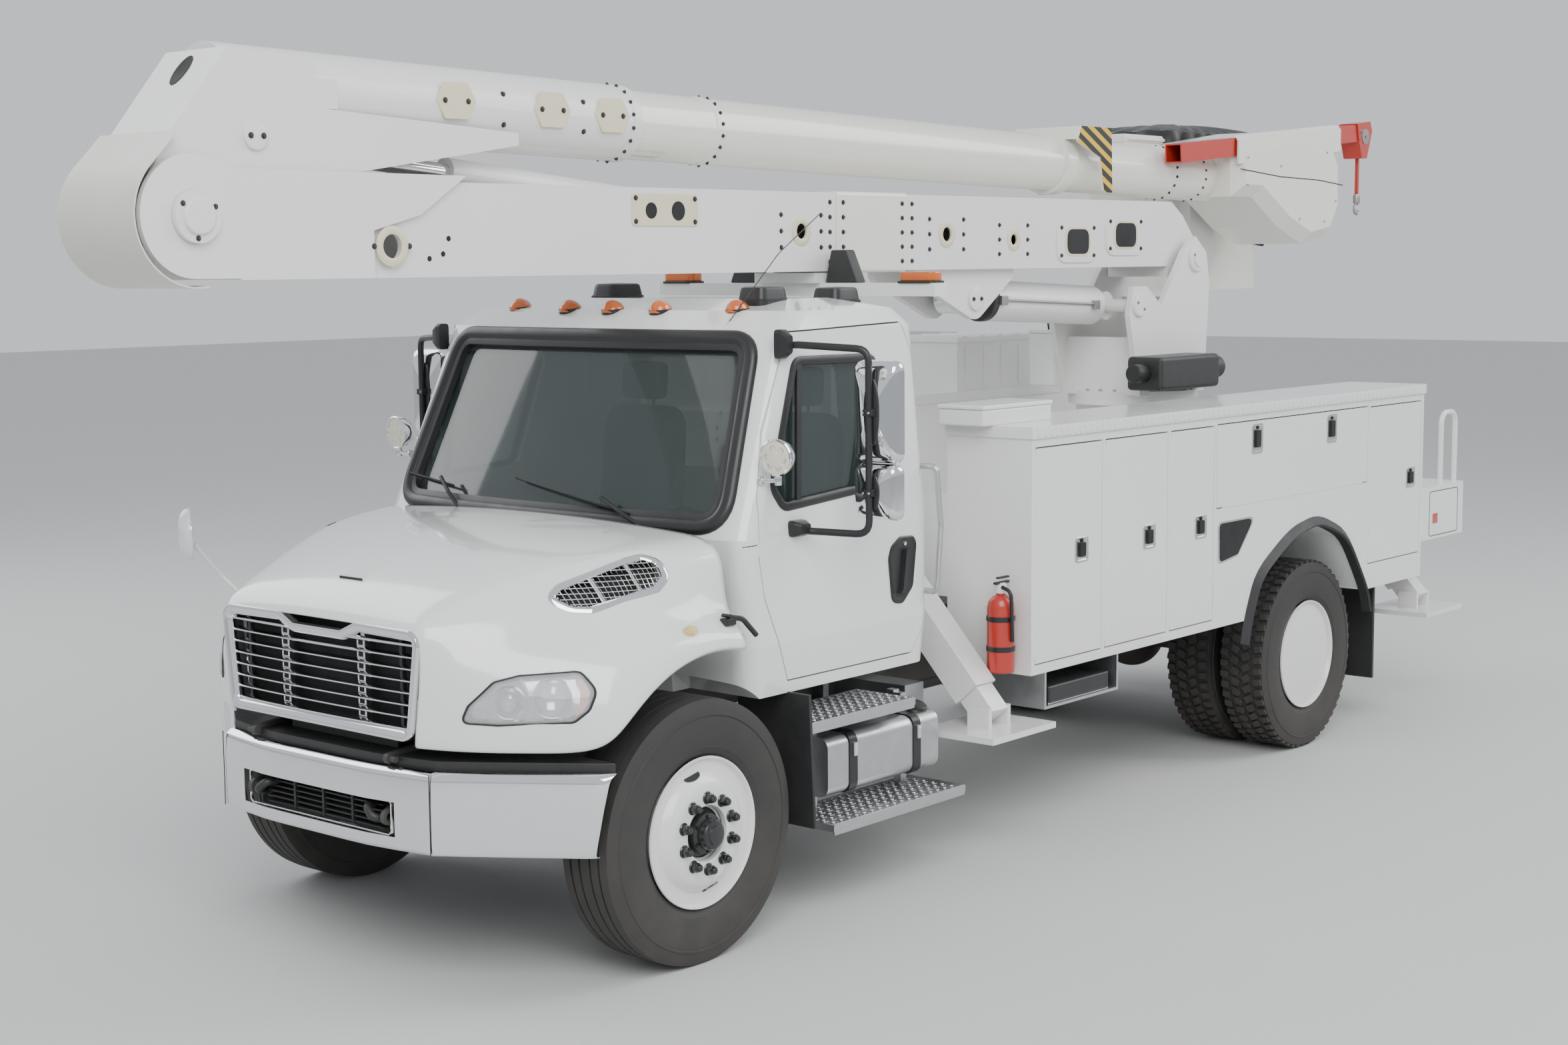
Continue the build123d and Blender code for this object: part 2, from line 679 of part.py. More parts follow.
def tyre(station, middle):
    """A hollow tyre with its beads on the rim."""
    outer = [(r, middle + y) for r, y in tyre_section] + [(r, middle - y) for r, y in reversed(tyre_section)]
    inner_section = [(rim_radius - 13.9, 97 - tyre_wall), (415, tyre_half_width - tyre_wall),
                     (axle_height - tyre_wall - 12, 96)]
    inner = [(r, middle - y) for r, y in inner_section] + [(r, middle + y) for r, y in reversed(inner_section)]
    revolve_about_axle(outer + inner, station)


def rim(station, middle):
    """A rim with a dropped middle, just inside the tyre's beads."""
    outer = [(r, middle + y) for r, y in rim_section] + [(r, middle - y) for r, y in reversed(rim_section)]
    inner = [(r - rim_wall, middle - y) for r, y in rim_section]
    inner += [(r - rim_wall, middle + y) for r, y in reversed(rim_section)]
    revolve_about_axle(outer + inner, station)


def lugs(station, y_low, y_high):
    """The ring of hexagonal lug nuts."""
    low, high = sorted((y_low, y_high))
    with BuildSketch(side_plane(high)) as nuts:
        with Locations((station, axle_height)):
            with PolarLocations(lug_circle, lug_count):
                RegularPolygon(lug_radius, 6)
    extrude(nuts.sketch, amount=high - low)


for axle, station in wheel_stations:
    for name, side in sides:
        middles = (front_wheel_y,) if axle == "front" else (rear_outer_y, rear_inner_y)
        with BuildPart() as tyres:
            for middle in middles:
                tyre(station, side * middle)
        save(tyres.part, f"tyre_{axle}_{name}")
        with BuildPart() as wheel:
            for middle in middles:
                rim(station, side * middle)
            if axle == "front":
                face = front_wheel_y + 78
                disc = ((rim_well_radius - 4, front_wheel_y - 10), (215, face - 12), (180, face), (60, face),
                        (60, face - 14), (176, face - 14), (206, face - 26), (rim_well_radius - 4, front_wheel_y - 32))
                revolve_about_axle([(r, side * y) for r, y in disc], station)
                lugs(station, side * (face - 2), side * (face + 32))
                low, high = sorted((side * (front_wheel_y - 40), side * (face + 55)))
                rod_y(station, axle_height, hub_radius, low, high)
                bore_low, bore_high = sorted((side * (front_wheel_y - 50), side * (front_wheel_y + 65)))
            else:
                face = (rear_outer_y + rear_inner_y) / 2
                for way, middle in ((1, rear_outer_y), (-1, rear_inner_y)):
                    disc = ((rim_well_radius - 4, middle - way * 30), (212, face + way * 34), (180, face + way * 13),
                            (60, face + way * 13), (60, face), (188, face), (222, face + way * 22),
                            (rim_well_radius - 4, middle - way * 52))
                    revolve_about_axle([(r, side * y) for r, y in disc], station)
                lugs(station, side * (face + 11), side * (face + 46))
                low, high = sorted((side * (face - 40), side * (face + 165)))
                rod_y(station, axle_height, hub_radius, low, high)
                bore_low, bore_high = sorted((side * (face - 60), side * (face + 145)))
            rod_y(station, axle_height, spindle_radius + pin_clearance, bore_low, bore_high, mode=Mode.SUBTRACT)
            for x in (-1, 1):
                low, high = sorted((side * 700, side * 1200))
                rod_y(station + x * 198, axle_height, 27, low, high, mode=Mode.SUBTRACT)
        save(wheel.part, f"wheel_{axle}_{name}")

# Compartments of a cabinet: name, front station, rear station, sill height, head height.
compartments = (
    ("front", -2222, -2790, 875, 1890),
    ("second", -2816, -3395, 875, 1890),
    ("third", -3421, -3855, 875, 1890),
    ("long", -3881, -5605, 1455, 1895),
    ("rear", -5631, -6305, 975, 1890),
)
# The arch's outline as distances from the rear axle and heights.
rear_arch_points = ((817, 700), (779, 840), (677, 1050), (317, 1235), (17, 1280), (-313, 1165), (-572, 840),
                    (-623, 700))
rear_arch = [(rear_axle + x, z) for x, z in rear_arch_points]
chest_front = -4250
chest_rear = -5900
chest_top = 2270
chest_wall = 20
chest_inner = body_half_width - 475
chest_outer = body_half_width - 5
lid_thickness = 28
lid_seat = 0.5
cabinet_pieces = []
for name, side in sides:
    inner = body_half_width - cabinet_depth
    outer_y = side * body_half_width
    inner_y = side * inner
    back_y = side * (inner + cabinet_wall)
    low, high = sorted((inner_y, outer_y))
    cut_low, cut_high = sorted((back_y, side * (body_half_width + 20)))
    arch_low, arch_high = sorted((side * (inner - 20), side * (body_half_width + 20)))
    with BuildPart() as cabinet:
        across([(body_front, cabinet_bottom), (body_front, cabinet_top), (body_rear, cabinet_top),
                (body_rear, cabinet_bottom)], low, high)
        block((body_front + 8, body_rear - 8), (inner_y - side * 8, outer_y + side * 10),
              (cabinet_top, cabinet_top + lid_height))
        for compartment, front, rear, sill, head in compartments:
            block((front, rear), (cut_low, cut_high), (sill, head), mode=Mode.SUBTRACT)
            tab_low, tab_high = sorted((outer_y - side * 8, outer_y - side))
            if compartment == "long":
                pin_z = sill + door_gap / 2
                pin_plane = cross_plane(rear + 60)
                with BuildSketch(pin_plane) as pin:
                    with Locations((outer_y, pin_z)):
                        Circle(hinge_pin_radius)
                extrude(pin.sketch, amount=front - rear - 120)
                for x in (front - 70, rear + 70):
                    block((x - 6, x + 6), (tab_low, tab_high), (sill - 4, pin_z))
            else:
                pin_x = front - door_gap / 2
                with Locations(at(pin_x, outer_y, (sill + head) / 2)):
                    Cylinder(hinge_pin_radius, head - sill - 60)
                for z in (sill + 40, head - 52):
                    block((pin_x, front + 4), (tab_low, tab_high), (z, z + 12))
        across(rear_arch, arch_low, arch_high, mode=Mode.SUBTRACT)
        if name == "right":
            chest_low = cabinet_top + lid_height
            block((chest_front, chest_rear), (side * chest_inner, side * chest_outer), (chest_low, chest_top))
            block((chest_front - chest_wall, chest_rear + chest_wall),
                  (side * (chest_inner + chest_wall), side * (chest_outer - chest_wall)),
                  (chest_low + chest_wall, chest_top + 10), mode=Mode.SUBTRACT)
    cabinet_pieces.append(cabinet.part)
    for compartment, front, rear, sill, head in compartments:
        door_low, door_high = sorted((side * (body_half_width - cabinet_wall), outer_y))
        with BuildPart() as cabinet_door:
            block((front - door_gap, rear + door_gap), (door_low, door_high), (sill + door_gap, head - door_gap))
        save(cabinet_door.part, f"{compartment}_door_{name}")

with BuildPart() as cabinets:
    for piece in cabinet_pieces:
        add(piece)
save(cabinets.part, "cabinets")

with BuildPart() as chest_lid:
    block((chest_front + 10, chest_rear - 10), (10 - chest_inner, -chest_outer),
          (chest_top + lid_seat, chest_top + lid_seat + lid_thickness))
save(chest_lid.part, "chest_lid")

# Deck floor with a hole for the column, front bulkhead, tail shelf, hoop handles and boom rest.
floor_half = body_half_width - cabinet_depth - seat_gap
housing_half = leg_size / 2 + leg_clearance + housing_wall
with BuildPart() as load_deck:
    block((body_front, body_rear), (-floor_half, floor_half), (deck_bottom, deck_bottom + deck_thickness))
    block((body_front, body_front - 30), (-floor_half, floor_half), (deck_bottom, 1650))
    with Locations(at(turntable_x, 0, deck_bottom)):
        Cylinder(column_radius + 6, 200, mode=Mode.SUBTRACT)
    shelf_front = rear_outrigger - housing_half - 8
    block((shelf_front, shelf_rear), (-body_half_width, body_half_width), (shelf_bottom, shelf_top))
    block((shelf_front + 15, shelf_rear + 15), (-body_half_width + 15, body_half_width - 15),
          (shelf_bottom - 10, shelf_top - 15), mode=Mode.SUBTRACT)
    for side in (1, -1):
        block((shelf_front, rail_rear), (side * 350, side * rail_half_width), (rail_top, shelf_bottom + 1))
        block((body_rear, shelf_front), (side * 1060, side * body_half_width), (shelf_bottom, shelf_top))
        hoop_y = side * (body_half_width - 50)
        hoop = [at(-6700, hoop_y, shelf_top - 5), at(-6700, hoop_y, 1790), at(-6900, hoop_y, 1790),
                at(-6900, hoop_y, shelf_top - 5)]
        tube_along(hoop, 16, 70)
        block((body_front, body_rear), (side * 470, side * 510), (rail_top + 100, deck_bottom + 1))
save(load_deck.part, "load_deck")

with BuildPart() as boom_rest:
    block((rest_x - 50, rest_x + 50), (-860, 860), (rest_beam_low, rest_beam_high))
    for side in (1, -1):
        block((rest_x - 40, rest_x + 40), (side * 170, side * 240), (1500, rest_beam_low))
    block((rest_x - 90, rest_x + 90), (-190, 190), (rest_beam_high, boom_bottom - swing_gap))
save(boom_rest.part, "boom_rest")

# Torsion box on the rails, the column with its bearing ring, and the two inverted V outrigger housings.
leg_run = (cos(radians(leg_angle)), -sin(radians(leg_angle)))
housing_start = -1150
housing_end = -110


def leg_plane(station, side, distance):
    """A plane square to a leg, at a distance along it from its foot."""
    origin = at(station, side * (foot_y + leg_run[0] * distance), foot_z + leg_run[1] * distance)
    return Plane(origin=origin, x_dir=(1, 0, 0), z_dir=(0, side * leg_run[0], leg_run[1]))


with BuildPart() as subframe:
    block((-3900, -6320), (-rail_half_width, rail_half_width), (rail_top, deck_bottom - seat_gap))
    with Locations(at(turntable_x, 0, (deck_bottom + column_top) / 2 - 10)):
        Cylinder(column_radius, column_top - deck_bottom + 20)
    with Locations(at(turntable_x, 0, column_top + ring_thickness / 2)):
        Cylinder(ring_radius, ring_thickness)
    for station in (front_outrigger, rear_outrigger):
        for side in (1, -1):
            with BuildSketch(leg_plane(station, side, housing_start)) as tube:
                Rectangle(2 * housing_half, 2 * housing_half)
            extrude(tube.sketch, amount=housing_end - housing_start)
        web = [(-430, 990), (430, 990), (640, 1120), (330, 1500), (-330, 1500), (-640, 1120)]
        plate(cross_plane(station - housing_half), web, 2 * housing_half)
        for side in (1, -1):
            with BuildSketch(leg_plane(station, side, housing_start + 20)) as space:
                Rectangle(leg_size + 2 * leg_clearance, leg_size + 2 * leg_clearance)
            extrude(space.sketch, amount=housing_end - housing_start, mode=Mode.SUBTRACT)
            with BuildSketch(leg_plane(station, side, housing_end - 90)) as wear_ring:
                Rectangle(leg_size + 2 * leg_clearance, leg_size + 2 * leg_clearance)
                Rectangle(leg_size + 2 * seat_gap, leg_size + 2 * seat_gap, mode=Mode.SUBTRACT)
            extrude(wear_ring.sketch, amount=60)
    block((front_outrigger - housing_half, front_outrigger + housing_half), (-rail_half_width, rail_half_width),
          (rail_top, 1000))
    block((rear_outrigger - housing_half, -6300), (-rail_half_width, rail_half_width), (rail_top, 1000))
save(subframe.part, "subframe")

for place, station in (("front", front_outrigger), ("rear", rear_outrigger)):
    for name, side in sides:
        with BuildPart() as outrigger:
            with BuildSketch(leg_plane(station, side, 30 - leg_length)) as leg:
                Rectangle(leg_size, leg_size)
            extrude(leg.sketch, amount=leg_length)
            with BuildSketch(leg_plane(station, side, 25 - leg_length)) as space:
                Rectangle(leg_size - 2 * leg_wall, leg_size - 2 * leg_wall)
            extrude(space.sketch, amount=leg_length - 160, mode=Mode.SUBTRACT)
            block((station - 250, station + 250), (side * (foot_y - 200), side * (foot_y + 200)),
                  (foot_z - 90, foot_z - 90 + foot_plate))
            for x in (-1, 1):
                low, high = sorted((side * (foot_y - 60), side * (foot_y + 60)))
                block((station + x * 62, station + x * 86), (low, high), (foot_z - 90, foot_z + 30))
            rod_low = station - 86
            with BuildSketch(cross_plane(rod_low)) as pin:
                with Locations((side * foot_y, foot_z)):
                    Circle(22)
            extrude(pin.sketch, amount=172)
        save(outrigger.part, f"outrigger_{place}_{name}")

# Turntable: a round base, two tower plates with the boom's pin, the lift cylinder's ears and the gearbox.
tower_outline = [(-4640, table_bottom + 20), (-4520, 2430), (-4560, 2590), (-4700, 2590), (-4860, 2480),
                 (-5110, 2790), (-5236, 2872), (-5360, 2780), (-5400, 2600), (-5350, table_bottom + 20)]
with BuildPart() as turntable:
    with Locations(at(turntable_x, 0, table_bottom + table_thickness / 2)):
        Cylinder(ring_radius, table_thickness)
    for side in (1, -1):
        low, high = sorted((side * tower_inner, side * (tower_inner + tower_plate)))
        across(tower_outline, low, high)
    block((-4690, -4660), (-tower_inner, tower_inner), (table_bottom + 20, 2300))
    block((-5300, -5270), (-tower_inner, tower_inner), (table_bottom + 20, 2520))
    rod_y(boom_pin[0], boom_pin[1], boom_pin_radius, -tower_inner - 60, tower_inner + 60)
    rod_y(lift_base_pin[0], lift_base_pin[1], lift_pin_radius, -tower_inner - 40, tower_inner + 40)
    block((-4500, -5130), (tower_inner + tower_plate, 490), (2020, 2190))
    block((-4580, -4900), (-tower_inner - tower_plate, -430), (2020, 2330))
save(turntable.part, "turntable")

# Lower boom: a box beam from its root pin to the elbow's side plates, with the lift ears below.
slot_half = 95
slot_rear = -1120
box_front = 1200
elbow_base_pin = (-1500, 2950)
elbow_base_radius = 30
# Round windows in the boom's sides: station, height, radius.
boom_windows = ((-1754, 2888, 48), (-2894, 2877, 48), (-3485, 2851, 40), (705, 2820, 58))
with BuildPart() as lower_boom:
    across([(-5040, boom_bottom), (-5040, 2640), (-5300, 2640), (-5366, 2742), (-5330, 2870), (-5210, 2990),
            (-5080, boom_top), (box_front, boom_top), (box_front, boom_bottom)], -boom_half_width, boom_half_width)
    block((-4900, box_front + 10), (-boom_half_width + boom_wall, boom_half_width - boom_wall),
          (boom_bottom + boom_wall, boom_top - boom_wall), mode=Mode.SUBTRACT)
    block((slot_rear, box_front + 10), (-slot_half, slot_half), (boom_top - boom_wall - 2, boom_top + 5),
          mode=Mode.SUBTRACT)
    for side in (1, -1):
        low, high = sorted((side * boom_half_width, side * (boom_half_width + elbow_plate)))
        link([elbow_pin, (1317, 2815), (1000, 2840)], [elbow_lobe_radius, 110, 135], low, high)
        across([(1500, 3100), (320, 3095), (560, 2940), (790, 2880), (790, boom_bottom), (1400, boom_bottom)],
               low, high)
        low, high = sorted((side * 110, side * 150))
        link([lift_ear_pin, (-3500, 2690), (-2750, 2690)], [105, 60, 60], low, high)
    rod_y(boom_pin[0], boom_pin[1], boom_pin_radius + pin_clearance, -400, 400, mode=Mode.SUBTRACT)
    rod_y(elbow_pin[0], elbow_pin[1], elbow_pin_radius + pin_clearance, -400, 400, mode=Mode.SUBTRACT)
    for x, z, radius in boom_windows:
        rod_y(x, z, radius, -300, 300, mode=Mode.SUBTRACT)
    rod_y(elbow_base_pin[0], elbow_base_pin[1], elbow_base_radius, 2 - boom_half_width, boom_half_width - 2)
save(lower_boom.part, "lower_boom")

# Elbow shaft: the pin that carries the upper boom, with a keeper plate at each end.
shaft_half = boom_half_width + elbow_plate + 6
with BuildPart() as elbow_shaft:
    rod_y(elbow_pin[0], elbow_pin[1], elbow_pin_radius, -shaft_half - 30, shaft_half + 30)
    for side in (1, -1):
        low, high = sorted((side * shaft_half, side * (shaft_half + 22)))
        rod_y(elbow_pin[0], elbow_pin[1], 95, low, high)
save(elbow_shaft.part, "elbow_shaft")


def tube_height(x):
    """Height of the upper boom's centre line at a station."""
    return tube_start[1] + (x - tube_start[0]) * sin(radians(upper_slope)) / cos(radians(upper_slope))


def tube_plane(x):
    """A plane square to the upper boom at a station, facing the rear."""
    direction = (-cos(radians(upper_slope)), 0, -sin(radians(upper_slope)))
    return Plane(origin=at(x, 0, tube_height(x)), x_dir=(0, 1, 0), z_dir=direction)


# Upper boom: two neck plates round the elbow, a slanted front plate and the steel sleeve.
neck_outline = [(1400, 3530), (1665, 3200), (1790, 2970), (1740, 2790), (1589, 2726), (1440, 2800), (1395, 2900),
                (1330, 3095), (850, 3095), (0, 3225), (0, 3275), (990, 3330), (1020, 3500)]
sleeve_rear = -720
sleeve_wall = 12
with BuildPart() as upper_boom:
    with BuildSketch(tube_plane(1380)) as sleeve:
        Circle(sleeve_radius)
    extrude(sleeve.sketch, amount=1380 - sleeve_rear)
    for side in (1, -1):
        low, high = sorted((side * (neck_half_width - neck_plate), side * neck_half_width))
        across(neck_outline, low, high)
        block((900, 1380), (side * 150, side * 172), (3330, 3440))
    across([(1400, 3530), (1665, 3200), (1650, 3190), (1385, 3520)], -neck_half_width, neck_half_width)
    across([(1640, 3205), (1654, 3196), (1600, 3020), (1580, 3020)], -neck_half_width, neck_half_width)
    rod_y(elbow_pin[0], elbow_pin[1], 110, -neck_half_width, neck_half_width)
    rod_y(elbow_pin[0], elbow_pin[1], elbow_pin_radius + pin_clearance, -300, 300, mode=Mode.SUBTRACT)
    with BuildSketch(tube_plane(sleeve_rear + 200)) as bore:
        Circle(tube_radius + 0.5)
    extrude(bore.sketch, amount=400, mode=Mode.SUBTRACT)
    with BuildSketch(tube_plane(1350)) as inside:
        Circle(sleeve_radius - sleeve_wall)
    extrude(inside.sketch, amount=2000, mode=Mode.SUBTRACT)
    block((900, 1420), (-60, 60), (3100, 3330), mode=Mode.SUBTRACT)
save(upper_boom.part, "upper_boom")

tube_end = -5760
with BuildPart() as upper_boom_tube:
    with BuildSketch(tube_plane(sleeve_rear + 195)) as tube:
        Circle(tube_radius)
        Circle(tube_radius - 12, mode=Mode.SUBTRACT)
    extrude(tube.sketch, amount=sleeve_rear + 195 - tube_end)

# Moulded tip: a fairing with a rounded rear that houses the winch, and a fork for the platform shaft.
jib_size = 110
groove_rise = 100
clamp_inner = 207
clamp_plate = 12
clamp_outline = [(-4060, 3380), (-4100, 3464), (-4400, 3464), (-4410, 3110), (-4330, 3110), (-4290, 3300)]
tip_side = 300
tip_wall = 14
tip_round = 70
tip_outline = [(-5700, 3440), (-6350, 3520), (-6860, 3545), (-7020, 3350), (-7030, 3050), (-6900, 2870),
               (-6600, 2830), (-6300, 2930), (-5960, 3110), (-5700, 3110)]


def tip_form(inset):
    """The tip's moulded form, or the space inside it."""
    with BuildPart() as form:
        prism(side_plane(tip_side - inset), grown(tip_outline, -inset), 2 * (tip_side - inset))
        chamfer(form.faces().sort_by(Axis.Y)[0].edges() + form.faces().sort_by(Axis.Y)[-1].edges(), tip_round - inset)
    return form.part


with BuildPart() as tip_fairing:
    add(tip_form(0))
    add(tip_form(tip_wall), mode=Mode.SUBTRACT)
    rod_y(shaft_station, shaft_height, 110, -tip_side + 1, 0)
    rod_y(shaft_station, shaft_height, shaft_radius + pin_clearance, -400, -200, mode=Mode.SUBTRACT)
    jib_angle = degrees(atan2(3555 - 3350, 7400 - 5070))
    jib_axis = (-cos(radians(jib_angle)), 0, sin(radians(jib_angle)))
    jib_start = at(-5070, 215, 3345)
    with BuildSketch(Plane(origin=jib_start, x_dir=(0, 1, 0), z_dir=jib_axis)) as groove:
        with Locations((0, -groove_rise / 2)):
            Rectangle(jib_size + 2 * seat_gap, jib_size + 2 * seat_gap + groove_rise)
    extrude(groove.sketch, amount=2600, mode=Mode.SUBTRACT)
    add(upper_boom_tube.part)
    for side in (1, -1):
        low, high = sorted((side * clamp_inner, side * (clamp_inner + clamp_plate)))
        across(clamp_outline, low, high, 20)
    block((-4400, -4100), (-clamp_inner, clamp_inner), (3452, 3464))
    with BuildSketch(tube_plane(-4060)) as band:
        Circle(tube_radius + 20)
        Circle(tube_radius - 6, mode=Mode.SUBTRACT)
    extrude(band.sketch, amount=90)
    block((-4090, -4140), (-clamp_inner, clamp_inner), (3395, 3464))
save(tip_fairing.part, "fibreglass_boom")

with BuildPart() as jib:
    with BuildSketch(Plane(origin=jib_start, x_dir=(0, 1, 0), z_dir=jib_axis)) as tube:
        Rectangle(jib_size, jib_size)
        Rectangle(jib_size - 16, jib_size - 16, mode=Mode.SUBTRACT)
    extrude(tube.sketch, amount=2230)
    across([(-7260, 3600), (-7440, 3620), (-7470, 3560), (-7400, 3380), (-7330, 3380), (-7290, 3480)], 150, 280)
    block((-7405, -7385), (205, 225), (3080, 3400))
save(jib.part, "jib")

# Platform shaft and bracket, bucket and its vinyl cover, on the right of the tip.
bucket_front = -6080
bucket_back = -7300
bucket_outer = -1060
bucket_low = 2540
bucket_high = 3540
bucket_wall = 12
with BuildPart() as platform_bracket:
    rod_y(shaft_station, shaft_height, shaft_radius, bucket_side + 80, -205)
    block((shaft_station - 150, shaft_station + 150), (bucket_side + 20, bucket_side + 90), (2700, 3330))
    block((shaft_station - 200, shaft_station + 150), (bucket_side + seat_gap, bucket_side + 22), (2640, 3420))
save(platform_bracket.part, "platform_bracket")

bucket_corner = 70
bucket_rim = 14
bucket_plan = [(bucket_front, bucket_outer), (bucket_front, bucket_side), (bucket_back, bucket_side),
               (bucket_back, bucket_outer)]
bucket_hollow = [(bucket_front - bucket_wall, bucket_outer + bucket_wall),
                 (bucket_front - bucket_wall, bucket_side - bucket_wall),
                 (bucket_back + bucket_wall, bucket_side - bucket_wall),
                 (bucket_back + bucket_wall, bucket_outer + bucket_wall)]
with BuildPart() as bucket:
    plate(level_plane(bucket_low), bucket_plan, bucket_high - bucket_low, bucket_corner)
    plate(level_plane(bucket_low + bucket_wall), bucket_hollow, bucket_high - bucket_low,
          bucket_corner - bucket_wall, Mode.SUBTRACT)
    block((-5620, bucket_front), (-455, -800), (3200, 3500))
save(bucket.part, "bucket")

with BuildPart() as bucket_cover:
    block((bucket_front + 20, bucket_back - 25), (bucket_outer - 25, bucket_side + 25), (bucket_high, 3625))
save(bucket_cover.part, "bucket_cover")

# Elbow guard: a plastic strap screwed to the neck, round the front of the elbow and back below it.
strap_top = (1649.9, 3217.9)
with BuildPart() as elbow_guard:
    link([elbow_pin, strap_top], [guard_radius + guard_thickness, guard_thickness + 1], -guard_half_width,
         guard_half_width)
    link([elbow_pin, strap_top], [guard_radius, 1], -guard_half_width - 1, guard_half_width + 1, Mode.SUBTRACT)
    across([(1664, 3232), (1640, 3270), (1100, 3270), (1100, 2600), (1545, 2600), (1545, 2950), (1636, 3204)],
           -guard_half_width - 1, guard_half_width + 1, mode=Mode.SUBTRACT)
save(elbow_guard.part, "elbow_guard")

# Lift cylinder between the turntable and the ears under the boom.
lift_length = hypot(lift_ear_pin[0] - lift_base_pin[0], lift_ear_pin[1] - lift_base_pin[1])
lift_angle = atan2(lift_ear_pin[1] - lift_base_pin[1], lift_ear_pin[0] - lift_base_pin[0])
lift_radius = 110
lift_barrel_end = 1170


def cylinder_plane(pin, angle, distance):
    """A plane square to a cylinder's axis, at a distance from its base pin."""
    origin = at(pin[0] + distance * cos(angle), 0, pin[1] + distance * sin(angle))
    return Plane(origin=origin, x_dir=(0, 1, 0), z_dir=(cos(angle), 0, sin(angle)))


def barrel_and_rod(pin, angle, length, barrel_radius, rod_radius, barrel_end, eye_half, pin_radius):
    """The barrel and the rod of a cylinder, as two parts."""
    with BuildPart() as barrel:
        with BuildSketch(cylinder_plane(pin, angle, 90)) as body:
            Circle(barrel_radius)
        extrude(body.sketch, amount=barrel_end - 90)
        rod_y(pin[0], pin[1], pin_radius + 42, -eye_half, eye_half)
        block((pin[0], pin[0] + 120), (-eye_half, eye_half), (pin[1] - pin_radius - 20, pin[1] + pin_radius + 20))
        rod_y(pin[0], pin[1], pin_radius + pin_clearance, -300, 300, mode=Mode.SUBTRACT)
        with BuildSketch(cylinder_plane(pin, angle, 130)) as bore:
            Circle(rod_radius + pin_clearance)
        extrude(bore.sketch, amount=barrel_end, mode=Mode.SUBTRACT)
    with BuildPart() as rod:
        with BuildSketch(cylinder_plane(pin, angle, 140)) as body:
            Circle(rod_radius)
        extrude(body.sketch, amount=length - 140 - 45)
        eye = (pin[0] + length * cos(angle), pin[1] + length * sin(angle))
        rod_y(eye[0], eye[1], 78, -eye_half, eye_half)
        rod_y(eye[0], eye[1], 38, -eye_half - 5, eye_half + 5, mode=Mode.SUBTRACT)
    return barrel.part, rod.part


lift_barrel, lift_rod = barrel_and_rod(lift_base_pin, lift_angle, lift_length, lift_radius, 52, lift_barrel_end, 60,
                                       lift_pin_radius)
save(lift_barrel, "lift_barrel")
save(lift_rod, "lift_rod")

# Elbow cylinder in the slot on top of the lower boom.
elbow_length = hypot(upper_pin[0] - elbow_base_pin[0], upper_pin[1] - elbow_base_pin[1])
elbow_angle = atan2(upper_pin[1] - elbow_base_pin[1], upper_pin[0] - elbow_base_pin[0])
elbow_barrel, elbow_rod = barrel_and_rod(elbow_base_pin, elbow_angle, elbow_length, 62, 36, 1750, 45,
                                         elbow_base_radius)
save(elbow_barrel, "elbow_barrel")
save(elbow_rod, "elbow_rod")
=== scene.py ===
import bmesh
import bpy
from math import cos, pi, radians, sin, tan
from mathutils import Matrix, Vector


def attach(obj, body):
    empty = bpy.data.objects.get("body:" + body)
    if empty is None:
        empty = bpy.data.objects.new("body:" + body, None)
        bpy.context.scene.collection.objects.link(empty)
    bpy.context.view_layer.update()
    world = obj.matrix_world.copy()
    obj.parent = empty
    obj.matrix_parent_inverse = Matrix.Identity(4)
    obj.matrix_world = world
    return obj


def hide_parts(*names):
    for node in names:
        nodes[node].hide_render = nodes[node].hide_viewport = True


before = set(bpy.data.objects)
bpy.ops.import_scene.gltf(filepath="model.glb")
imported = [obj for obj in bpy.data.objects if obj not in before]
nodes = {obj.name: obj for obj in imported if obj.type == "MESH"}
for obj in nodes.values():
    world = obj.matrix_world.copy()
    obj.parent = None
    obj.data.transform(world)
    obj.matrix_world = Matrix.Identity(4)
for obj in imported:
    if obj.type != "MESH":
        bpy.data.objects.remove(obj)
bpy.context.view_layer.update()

# The place of the truck in the shot.
# Stations are metres forward of the front axle, and the frame's origin lies under the middle of the length.
FRONT_AXLE = 2.810
AXLE_HEIGHT = 0.530
WHEELBASE = 5.017


def at(x, y, z):
    """A point at station x."""
    return Vector((FRONT_AXLE + x, y, z))


# The camera stands off the truck's left front corner at head height, with a slight tilt to one side.
CAMERA_PLACE = (6.230, 6.925, 2.750)
CAMERA_YAW = radians(-139.383)
CAMERA_PITCH = radians(-6.720)
CAMERA_ROLL = radians(-0.532)
CAMERA_LENS = 50.956

camera_data = bpy.data.cameras.new("camera")
camera_data.sensor_width = 36.0
camera_data.lens = CAMERA_LENS
camera_data.clip_end = 200.0
camera = bpy.data.objects.new("camera", camera_data)
bpy.context.scene.collection.objects.link(camera)
ahead = Vector((cos(CAMERA_PITCH) * cos(CAMERA_YAW), cos(CAMERA_PITCH) * sin(CAMERA_YAW), sin(CAMERA_PITCH)))
level = Vector((sin(CAMERA_YAW), -cos(CAMERA_YAW), 0))
upward = level.cross(ahead)
right = level * cos(CAMERA_ROLL) + upward * sin(CAMERA_ROLL)
top = upward * cos(CAMERA_ROLL) - level * sin(CAMERA_ROLL)
camera.matrix_world = Matrix.Translation(at(*CAMERA_PLACE)) @ Matrix((right, top,
                                                                      -ahead)).transposed().to_4x4()
bpy.context.scene.camera = camera

# The floor is one pale sheet, and the light is an overcast sky with three large soft panels.
FLOOR_SIZE = 120.0
SKY_STRENGTH = 0.85
# Panels: place, size, power in watts.
PANELS = (((9.0, 9.0, 9.5), 9.0, 1500), ((-9.0, 8.0, 9.0), 8.0, 900), ((3.0, -10.0, 8.0), 8.0, 500),)

